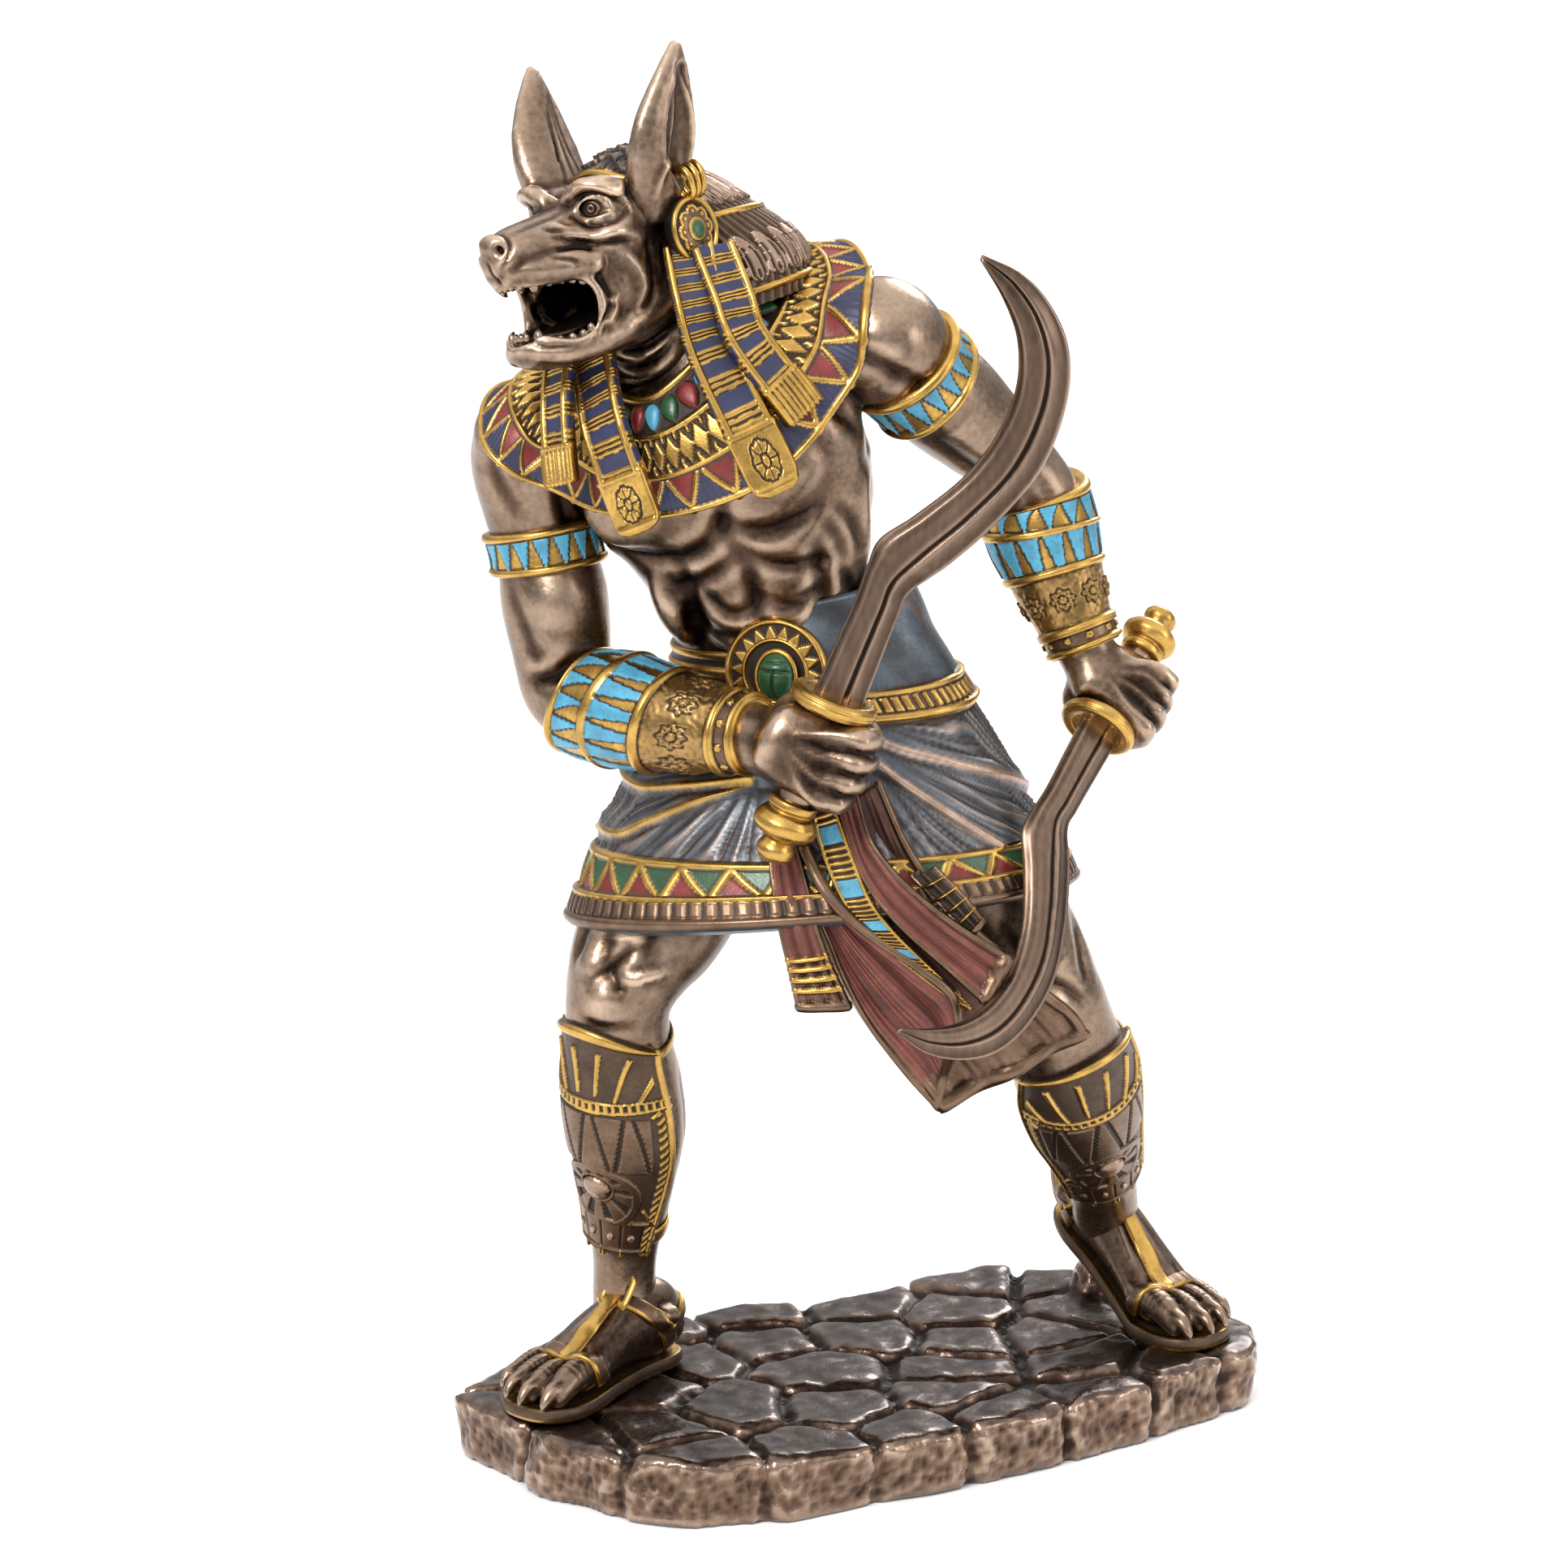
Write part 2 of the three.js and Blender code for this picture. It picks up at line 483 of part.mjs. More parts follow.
function makeLegs() {
  return join([
    limb(banded(RIGHT_LEG, GREAVE_BANDS), [1, 0, 0], 9),
    limb(banded(LEFT_LEG, GREAVE_BANDS), [1, 0, 0], 9),
    ball([-49.6, -20, 97.6], [7.6, 6, 7.4], undefined, 8, 5),
    ball([35.6, -16.4, 92.4], [7.8, 6, 7.4], undefined, 8, 5),
  ]);
}

// A sandalled foot, modelled with the heel at the origin and the toes ahead along -y
function makeFoot({ heel, turn, lift, mirror }) {
  const rise = (y) => lift * Math.max(0, 1 + y / (FOOT_LENGTH * 0.62)) ** 1.15;
  const sole = new THREE.Shape();
  sole.moveTo(-5.4, 2).quadraticCurveTo(0, 7.4, 5.4, 2).quadraticCurveTo(6, -14, 10, -28);
  sole.quadraticCurveTo(10.6, -41, 1, -41.5).quadraticCurveTo(-10.6, -40, -9.6, -30).quadraticCurveTo(-6, -14, -5.4, 2);
  const plate = new THREE.ExtrudeGeometry(sole, { depth: SOLE_THICK, bevelEnabled: false, curveSegments: 3 });
  const pieces = [plate];
  const foot = [
    [0, 3.4, 7, 5.4, 5.6], [0, -1, 9.6, 6.4, 9], [-0.4, -9, 9.2, 6.6, 7.6], [-1, -18, 7.6, 7.6, 5.6],
    [-0.6, -26, 5.8, 8.8, 4], [0, -31, 5, 8.8, 3.2],
  ];
  const lifted = pieces.map((geometry) => {
    const position = geometry.attributes.position;
    for (let i = 0; i < position.count; i++) position.setZ(i, position.getZ(i) + rise(position.getY(i)));
    return solid(geometry);
  });
  lifted.push(limb(foot.map(([x, y, z, ...size]) => [x, y, z + rise(y), ...size]), [1, 0, 0], 7, 0.4));
  const toes = [[6.4, -33, 3.2, 4.6], [1.2, -36, 2.5, 4.4], [-3.4, -35, 2.3, 4.1], [-7.2, -32, 2.1, 3.8]];
  for (const [x, y, radius, reach] of toes) {
    lifted.push(limb([
      [x * 0.9, y + 6, 5.6, radius, radius], [x, y, 5.8, radius, radius * 0.95],
      [x * 1.03, y - reach, 4, radius * 0.8, radius * 0.7],
    ], [1, 0, 0], 5, 1));
  }
  const matrix = new THREE.Matrix4().makeTranslation(heel[0], heel[1], BASE_TOP + GAP)
    .multiply(new THREE.Matrix4().makeRotationZ(rad(-turn)))
    .multiply(new THREE.Matrix4().makeScale(mirror, 1, 1));
  return join(lifted).transform([...matrix.elements]);
}

function makeKilt() {
  const pleat = (angle, row) => 1 + KILT_PLEAT_DEPTH * KILT[row][7] * Math.cos(KILT_PLEATS * angle);
  const pieces = [trunk(KILT, KILT_PLEATS * 2, pleat)];
  const wave = (across, down) => 2.2 * down * Math.cos(across * Math.PI * 5 + down * 2);
  pieces.push(
    sheet(spanned(APRON_ROWS, wave), 6, 5, APRON_THICK),
    sheet(spanned(SASH_ROWS, (across) => Math.cos(across * Math.PI * 3)), 3, 3, APRON_THICK),
    strap(APRON_STRIP, 3.8, 3.4, [0.94, -0.1, 0.33]),
  );
  const { at, radius, thick, turn } = BELT_BUCKLE;
  const buckle = new THREE.CylinderGeometry(radius, radius, thick, 18);
  const scarab = new THREE.SphereGeometry(1, 8, 6).scale(3.6, 2.6, 4.8).translate(0, -thick / 2, 0);
  const matrix = new THREE.Matrix4().makeRotationZ(rad(-turn)).setPosition(...at);
  pieces.push(solid(buckle.applyMatrix4(matrix)), solid(scarab.applyMatrix4(matrix)));
  return join(pieces);
}

// The room that a sword's guard, grip and pommel take up, with the clearance round them
function hiltRoom(sword) {
  const guard = new THREE.CylinderGeometry(GUARD.radius + GAP, GUARD.radius + GAP, GUARD.thick + 2 * GAP, 16);
  const grip = new THREE.CylinderGeometry(GRIP_RADIUS + GAP, GRIP_RADIUS + GAP, 24, 12).translate(0, -12, 0);
  const pommel = new THREE.CylinderGeometry(POMMEL_REACH, POMMEL_REACH, 14, 12).translate(0, -27.2, 0);
  return join([guard, grip, pommel].map(solid)).transform([...swordMatrix(sword).elements]);
}

function makeFigure() {
  const headdress = trunk(HEADDRESS, 12);
  const lappets = LAPPETS.map(([top, bend, end, half]) => strap([top, bend, end], half, LAPPET_THICK));
  const rightFist = makeFist(
    RIGHT_SWORD,
    [[-22, -34, 151.4, 6, 5.4], [-15, -39.5, 149.6, 9.2, 7], [-7, -43, 147.4, 10.2, 6], [-1.8, -43, 146.8, 7.8, 4.4]],
    [[-16, -34, 152, 3, 3], [-11, -30.6, 152, 2.8, 2.8], [-5, -31, 150.6, 2.4, 2.4]],
  );
  const leftFist = makeFist(
    LEFT_SWORD,
    [[43, 1.6, 158.5, 5.4, 5.6], [46, -2.6, 154.6, 7.6, 5.6], [50, -4, 151.4, 8.6, 5.2], [54, -2, 149.6, 7.6, 4]],
    [[43, 4, 155, 2.8, 2.8], [42.6, 5.6, 151, 2.6, 2.6], [45, 6, 147.6, 2.2, 2.2]],
  );
  return join([
    makeTorso(), makeArms(), makeLegs(), makeKilt(), makeFoot(RIGHT_FOOT), makeFoot(LEFT_FOOT), makeCollar(),
    headdress, ...lappets, makeHead(), rightFist, leftFist,
  ]).subtract(hiltRoom(RIGHT_SWORD)).subtract(hiltRoom(LEFT_SWORD));
}

// The matrix of a sword's frame: u, v and the normal of its plane
function swordMatrix({ at, u, v, size }) {
  const [across, along] = [vec(u).normalize(), vec(v).normalize()];
  const matrix = new THREE.Matrix4().makeBasis(across, along, across.clone().cross(along));
  return matrix.scale(vec([size, size, size])).setPosition(...at);
}

function makeSword(sword) {
  const rounded = (points) => new THREE.SplineCurve(points.map((p) => new THREE.Vector2(...p))).getPoints(10);
  const outer = [new THREE.Vector2(...BLADE_OUTER[0]), new THREE.Vector2(...BLADE_OUTER[1]), ...rounded(BLADE_OUTER.slice(2))];
  const inner = [...rounded(BLADE_INNER.slice(0, 7)), new THREE.Vector2(...BLADE_INNER[7]), new THREE.Vector2(...BLADE_INNER[8])];
  const blade = new THREE.ExtrudeGeometry(new THREE.Shape([...outer, ...inner]), {
    depth: 0.8,
    bevelThickness: (BLADE_THICK - 0.8) / 2,
    bevelSize: 1.7,
    bevelOffset: -1.7,
    bevelSegments: 1,
  }).translate(0, 0, -0.4);
  const guard = new THREE.CylinderGeometry(GUARD.radius, GUARD.radius, GUARD.thick, 16);
  const grip = new THREE.CylinderGeometry(GRIP_RADIUS, GRIP_RADIUS, 21, 12).translate(0, -10, 0);
  const pommel = new THREE.LatheGeometry(
    [...POMMEL_PROFILE, [0, -20]].map((p) => new THREE.Vector2(...p)),
    10,
  );
  return join([blade, guard, grip, pommel].map(solid)).transform([...swordMatrix(sword).elements]);
}

const stance = new THREE.Group();
stance.rotation.z = rad(STANCE_TURN);
stance.add(
  mesh('figure', makeFigure(), '#7d5f49', 0.42, 0.75),
  mesh('right_sword', makeSword(RIGHT_SWORD), '#8a6c55', 0.36, 0.85),
  mesh('left_sword', makeSword(LEFT_SWORD), '#8a6c55', 0.36, 0.85),
);

const group = new THREE.Group();
group.add(mesh('base', makeBase(), '#4a3a31', 0.35, 0.6), stance);

export default group;
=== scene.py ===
"""A jackal-headed guardian figurine: a striding figure in collar, kilt and greaves on a cobbled base.

Sizes are millimetres. The figure and its swords are shaped in a stance frame, where x is the figure's left,
-y its front and z up, and are turned onto the base when a piece is finished.
"""
from __future__ import annotations

import logging
import math
from dataclasses import dataclass
from enum import Enum
from typing import Callable, Iterable, Sequence

import bmesh
import bpy
import numpy as np
from mathutils import Matrix, Vector, noise
from mathutils.bvhtree import BVHTree


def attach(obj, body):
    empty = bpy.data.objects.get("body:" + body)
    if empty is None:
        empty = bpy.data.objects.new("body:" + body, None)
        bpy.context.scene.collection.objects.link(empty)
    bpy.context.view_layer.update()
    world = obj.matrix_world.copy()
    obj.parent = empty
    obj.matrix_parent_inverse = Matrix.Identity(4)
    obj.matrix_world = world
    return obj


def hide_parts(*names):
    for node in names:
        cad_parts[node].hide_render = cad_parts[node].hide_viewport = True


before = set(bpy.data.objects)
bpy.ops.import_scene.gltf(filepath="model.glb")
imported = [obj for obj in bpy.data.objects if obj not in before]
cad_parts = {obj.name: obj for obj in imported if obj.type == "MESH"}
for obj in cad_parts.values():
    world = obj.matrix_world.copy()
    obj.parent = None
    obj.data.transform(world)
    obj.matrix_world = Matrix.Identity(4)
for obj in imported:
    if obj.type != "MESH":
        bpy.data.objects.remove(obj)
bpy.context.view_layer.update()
log = logging.getLogger("figurine")

Array = np.ndarray
Triple = tuple[float, float, float]
Rows = Sequence[Sequence[float]]
Surface = Callable[[Array, Array], Array]

MM = 0.001
FAR_OFF = 9  # further than any rail reaches
STANCE_TURN = math.radians(-27)
BASE_TOP = 13.6
SOLE_THICK = 2.6
TAU = 2 * math.pi


# Numbers along curves

def between(a: Array, b: Array, c: Array, d: Array, t: Array) -> Array:
    """A smooth curve's value at share t of the way from b to c, with a before and d after them."""
    return 0.5 * (2 * b + (c - a) * t + (2 * a - 5 * b + 4 * c - d) * t**2 + (3 * b - a - 3 * c + d) * t**3)


def spline(rows: Rows, share: Array) -> Array:
    """Runs a smooth curve through rows of numbers.

    Args:
        rows: The rows to pass through, evenly spaced.
        share: Places along the curve, from 0 to 1.

    Returns:
        One row for each place.
    """
    table = np.asarray(rows, float)
    table = np.vstack([2 * table[0] - table[1], table, 2 * table[-1] - table[-2]])
    place = np.clip(share, 0, 1) * (len(rows) - 1)
    i = np.minimum(place.astype(int), len(rows) - 2)
    t = (place - i)[:, None]
    return between(*(table[i + k] for k in range(4)), t)


def ring_spline(rows: Rows, share: Array) -> Array:
    """The same for a closed ring of rows, where share 1 meets share 0."""
    count = len(rows)
    table = [rows[k % count] for k in range(-1, count + 2)]
    return spline(table, (np.mod(share, 1) * count + 1) / (count + 2))


def unit(vectors: Array) -> Array:
    """Scales each row to length one."""
    return vectors / np.maximum(np.linalg.norm(vectors, axis=-1, keepdims=True), 1e-9)


def moved(matrix: Matrix, local: Array) -> Array:
    """Points of a frame in the frame that its matrix places it in."""
    return local @ np.array(matrix.to_3x3()).T + np.array(matrix.translation)


def smooth(low: float, high: float, value: Array) -> Array:
    """Rises gently from 0 at low to 1 at high."""
    t = np.clip((value - low) / (high - low), 0, 1)
    return t * t * (3 - 2 * t)


def bump(centre: float, reach: float, value: Array) -> Array:
    """A rounded bump of height one."""
    return np.exp(-(((value - centre) / reach) ** 2))


def speckle(points: Array, size: float, seed: float = 0.0, octaves: int = 2) -> Array:
    """Soft noise from -1 to 1 with features of the given size."""
    scaled = points / size + seed
    return np.array([noise.fractal(Vector(p), 0.6, 2.1, octaves) for p in scaled])


# Meshes

def read_points(mesh: bpy.types.Mesh) -> Array:
    """The mesh's points, one row each."""
    flat = np.empty(len(mesh.vertices) * 3, np.float32)
    mesh.vertices.foreach_get("co", flat)
    return flat.reshape(-1, 3).astype(float)


def write_points(mesh: bpy.types.Mesh, points: Array) -> None:
    """Moves the mesh's points."""
    mesh.vertices.foreach_set("co", np.ascontiguousarray(points, np.float32).ravel())
    mesh.update()


def read_normals(mesh: bpy.types.Mesh) -> Array:
    """The outward direction at each point."""
    flat = np.empty(len(mesh.vertices) * 3, np.float32)
    mesh.vertices.foreach_get("normal", flat)
    return flat.reshape(-1, 3).astype(float)


def write_share(mesh: bpy.types.Mesh, name: str, values: Array) -> None:
    """Stores a number, or a colour of three, for each point."""
    if values.ndim == 1:
        layer = mesh.attributes.new(name, "FLOAT", "POINT")
        layer.data.foreach_set("value", values.astype(np.float32))
    else:
        layer = mesh.attributes.new(name, "FLOAT_COLOR", "POINT")
        rgba = np.hstack([values, np.ones((len(values), 1))])
        layer.data.foreach_set("color", rgba.astype(np.float32).ravel())


def read_share(mesh: bpy.types.Mesh, name: str) -> Array:
    """A number stored for each point."""
    flat = np.empty(len(mesh.vertices), np.float32)
    mesh.attributes[name].data.foreach_get("value", flat)
    return flat.astype(float)


def weld(mesh: bpy.types.Mesh, distance: float = 0.004) -> None:
    """Closes the seams and ends of a bent grid and turns its faces outwards."""
    bm = bmesh.new()
    bm.from_mesh(mesh)
    bmesh.ops.remove_doubles(bm, verts=bm.verts, dist=distance)
    bmesh.ops.dissolve_degenerate(bm, edges=bm.edges, dist=1e-5)
    bmesh.ops.delete(bm, geom=[edge for edge in bm.edges if edge.is_wire], context="EDGES")
    bmesh.ops.holes_fill(bm, edges=[edge for edge in bm.edges if edge.is_boundary], sides=0)
    bmesh.ops.recalc_face_normals(bm, faces=bm.faces)
    for face in bm.faces:
        face.smooth = len(face.verts) <= 4
    bm.to_mesh(mesh)
    bm.free()


def bent_grid(name: str, surface: Surface, columns: int, rows: int) -> bpy.types.Mesh:
    """A flat grid bent onto a surface, with its seams and ends closed.

    Args:
        name: The mesh's name.
        surface: Gives the point at (across, down), both from 0 to 1.
        columns: Steps across.
        rows: Steps down.

    Returns:
        The mesh.
    """
    bm = bmesh.new()
    bmesh.ops.create_grid(bm, x_segments=columns, y_segments=rows, size=0.5)
    mesh = bpy.data.meshes.new(name)
    bm.to_mesh(mesh)
    bm.free()
    flat = read_points(mesh) + 0.5
    write_share(mesh, "across", flat[:, 0])
    write_share(mesh, "down", flat[:, 1])
    write_points(mesh, surface(flat[:, 0], flat[:, 1]))
    weld(mesh)
    return mesh


def out_and_back(place: Array, out: int, back: int) -> tuple[Array, Array]:
    """Splits the way round a sheet into its face and its back.

    Args:
        place: Places on the way, from 0 to 1, in out + back + 2 equal steps.
        out: Steps over the face.
        back: Steps over the back.

    Returns:
        How far over the sheet each place is, and whether it is on the face.
    """
    step = np.rint(place * (out + back + 2))
    face = (step <= out) | (step > out + back + 1)
    home = np.clip((out + back + 1 - step) / back, 0, 1)
    return np.where(step <= out, step / out, home), face


class Neighbours:
    """The averages of each point's neighbours on a mesh."""

    def __init__(self, mesh: bpy.types.Mesh) -> None:
        """Reads the mesh's edges."""
        pairs = np.empty(len(mesh.edges) * 2, np.int32)
        mesh.edges.foreach_get("vertices", pairs)
        ends = pairs.reshape(-1, 2)
        self.here = np.concatenate([ends[:, 0], ends[:, 1]])
        self.there = np.concatenate([ends[:, 1], ends[:, 0]])
        self.count = len(mesh.vertices)
        self.degree = np.maximum(np.bincount(self.here, minlength=self.count), 1)

    def mean(self, values: Array) -> Array:
        """The neighbours' mean of values, one column or several."""
        if values.ndim == 1:
            return np.bincount(self.here, values[self.there], self.count) / self.degree
        return np.stack([self.mean(values[:, k]) for k in range(values.shape[1])], axis=1)

    def relaxed(self, values: Array, rounds: int, share: float = 0.5) -> Array:
        """Values smoothed over the mesh a number of times."""
        for _ in range(rounds):
            values = values + share * (self.mean(values) - values)
        return values


def proudness(mesh: bpy.types.Mesh, rounds: int, scale: float) -> Array:
    """How far each point stands above (+) or lies below (-) its surroundings, from -1 to 1.

    Args:
        mesh: The mesh.
        rounds: How wide the surroundings reach.
        scale: The height in millimetres that counts as one.

    Returns:
        One number for each point.
    """
    points = read_points(mesh)
    rest = Neighbours(mesh).relaxed(points, rounds)
    height = np.einsum("ij,ij->i", points - rest, read_normals(mesh))
    return np.clip(height / scale, -1, 1)


def wear_and_painted_light(mesh: bpy.types.Mesh, rounds: int, scale: float) -> Array:
    """How worn (+) or dark with patina (-) bare metal is by its fine relief, with painted shade in the hollows between
    broad forms and painted light on faces that turn up.
    """
    fine, broad = proudness(mesh, rounds, scale), proudness(mesh, rounds * 5, scale * 4)
    # Fine relief gives worn edges and patina; broad relief gives painted shade between forms; facing up gives painted
    # light from above.
    return np.clip(fine + 0.7 * broad + 0.2 * read_normals(mesh)[:, 2], -1, 1)


class Finisher:
    """Puts finished meshes into the scene as pieces of the part."""

    def __init__(self) -> None:
        """Starts with no piece."""
        self.turn = Matrix.Rotation(STANCE_TURN, 4, "Z")

    def piece(
        self, name: str, mesh: bpy.types.Mesh, material: bpy.types.Material, slot: str,
        node: str = "", stance: bool = True,
    ) -> None:
        """Turns a mesh onto the base and makes it a piece.

        Args:
            name: The piece's name.
            mesh: Its mesh in millimetres, in the stance frame or the base's.
            material: Its finish.
            slot: The record's material slot. Not used.
            node: The solid that the piece replaces, if it does.
            stance: Whether the mesh is in the stance frame.
        """
        mesh.transform(Matrix.Scale(MM, 4) @ (self.turn if stance else Matrix.Identity(4)))
        mesh.materials.clear()
        mesh.materials.append(material)
        mesh.name = name
        piece = bpy.data.objects.new(name, mesh)
        bpy.context.scene.collection.objects.link(piece)
        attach(piece, "root")
        if node:
            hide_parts(node)
        log.info("%s: %d faces", name, len(mesh.polygons))

    def bronze(
        self, mesh: bpy.types.Mesh, material: bpy.types.Material, rounds: int, scale: float, node: str = "",
        dim: Sequence[Triple] = (),
    ) -> None:
        """Makes bare bronze skin a piece, with worn edges, patina in its hollows, and painted light and shade.

        Args:
            mesh: The skin.
            material: Its finish.
            rounds: How far fine relief is looked at.
            scale: How much relief counts as fully proud.
            node: The part's node that it replaces, if any.
            dim: Middles of places, as large as a hand, where the metal is darker.
        """
        # The stored share mixes worn edges and patina with painted shade in broad hollows and painted light on upward
        # faces.
        shares, points = wear_and_painted_light(mesh, rounds, scale), read_points(mesh)
        for spot in dim:
            shares -= 0.34 * smooth(15, 8, np.linalg.norm(points - np.array(spot), axis=1))
        write_share(mesh, "proud", shares)
        self.piece(mesh.name, mesh, material, "bronze", node)


# Forms that the figure is built from

@dataclass(frozen=True)
class Limb:
    """A tapering round form along a path of stations: place, half width and half depth."""

    stations: Rows
    across: Triple

    def section(self, along: Array) -> tuple[Array, Array, Array, Array]:
        """The middle, half width, half depth and direction at places along the limb."""
        rows = spline(self.stations, along)
        step = 0.25 / len(self.stations)
        tangent = unit(spline(self.stations, along + step)[:, :3] - spline(self.stations, along - step)[:, :3])
        side = np.asarray(self.across, float) - tangent * (tangent @ np.asarray(self.across, float))[:, None]
        side = unit(side)
        return rows[:, :3], side * rows[:, 3:4], np.cross(tangent, side) * rows[:, 4:5], tangent

    def wrap(self, around: Array, along: Array, lift: Array | float = 0.0) -> Array:
        """Points round the limb, lifted off its skin."""
        middle, wide, deep, _ = self.section(along)
        angle = (TAU * around)[:, None]
        radial = wide * np.cos(angle) + deep * np.sin(angle)
        return middle + radial + unit(radial) * np.broadcast_to(lift, around.shape)[:, None]

    def closed(self, around: Array, along: Array, cap: float = 0.1, dome: float = 0.6) -> Array:
        """The whole skin with a domed cap at both ends."""
        body = np.clip((along - cap) / (1 - 2 * cap), 0, 1)
        beyond = np.maximum(cap - along, along - 1 + cap) / cap
        beyond = np.clip(beyond, 0, 1)
        middle, wide, deep, tangent = self.section(body)
        shrink = np.sqrt(1 - beyond**2)[:, None]
        angle = (TAU * around)[:, None]
        reach = np.linalg.norm(wide, axis=1, keepdims=True) * dome
        push = tangent * reach * beyond[:, None] * np.where(along > 0.5, 1, -1)[:, None]
        return middle + (wide * np.cos(angle) + deep * np.sin(angle)) * shrink + push


@dataclass(frozen=True)
class Trunk:
    """A form of level rings: place, half width, half depth, turn, roll and lift of the front in degrees."""

    rings: Rows

    def section(self, down: Array) -> tuple[Array, Array, Array]:
        """The middle and the sideways and forward half axes at places down the trunk."""
        rows = spline(self.rings, down)
        turn, roll = np.radians(rows[:, 5]), np.radians(rows[:, 6])
        lift = np.radians(rows[:, 7]) if rows.shape[1] > 7 else np.zeros(len(rows))
        wide = np.stack([np.cos(turn) * np.cos(roll), -np.sin(turn) * np.cos(roll), np.sin(roll)], 1)
        deep = np.stack([-np.sin(turn), -np.cos(turn), np.sin(lift)], 1)
        return rows[:, :3], wide * rows[:, 3:4], deep * rows[:, 4:5]

    def wrap(self, around: Array, down: Array, lift: Array | float = 0.0, square: float = 2.0) -> Array:
        """Points round the trunk: around 0 is the figure's left, 0.25 its front."""
        middle, wide, deep = self.section(down)
        cosine, sine = np.cos(TAU * around), np.sin(TAU * around)
        power = 2 / square
        radial = wide * (np.sign(cosine) * np.abs(cosine) ** power)[:, None]
        radial = radial + deep * (np.sign(sine) * np.abs(sine) ** power)[:, None]
        return middle + radial + unit(radial) * np.broadcast_to(lift, around.shape)[:, None]

    def closed(self, around: Array, down: Array, cap: float = 0.04) -> Array:
        """The whole skin, drawn in to the middle at both ends."""
        body = np.clip((down - cap) / (1 - 2 * cap), 0, 1)
        beyond = np.clip(np.maximum(cap - down, down - 1 + cap) / cap, 0, 1)
        middle = self.section(body)[0]
        return middle + (self.wrap(around, body) - middle) * np.sqrt(1 - beyond**2)[:, None]


@dataclass(frozen=True)
class Stroke:
    """A ridge, or with a negative height a groove, that a tool leaves along a path on the surface."""

    path: Rows
    reach: float
    height: float
    ends: float = 0.3

    def samples(self) -> tuple[Array, Array]:
        """Closely spaced points of the path, with the share of the height that each has."""
        rows = np.asarray(self.path, float)
        if len(rows) == 1:
            return rows, np.ones(1)
        length = np.linalg.norm(np.diff(rows, axis=0), axis=1).sum()
        share = np.linspace(0, 1, max(3, int(length / self.reach * 3)))
        taper = self.ends + (1 - self.ends) * np.sin(np.pi * share) ** 0.7
        return spline(rows, share), taper


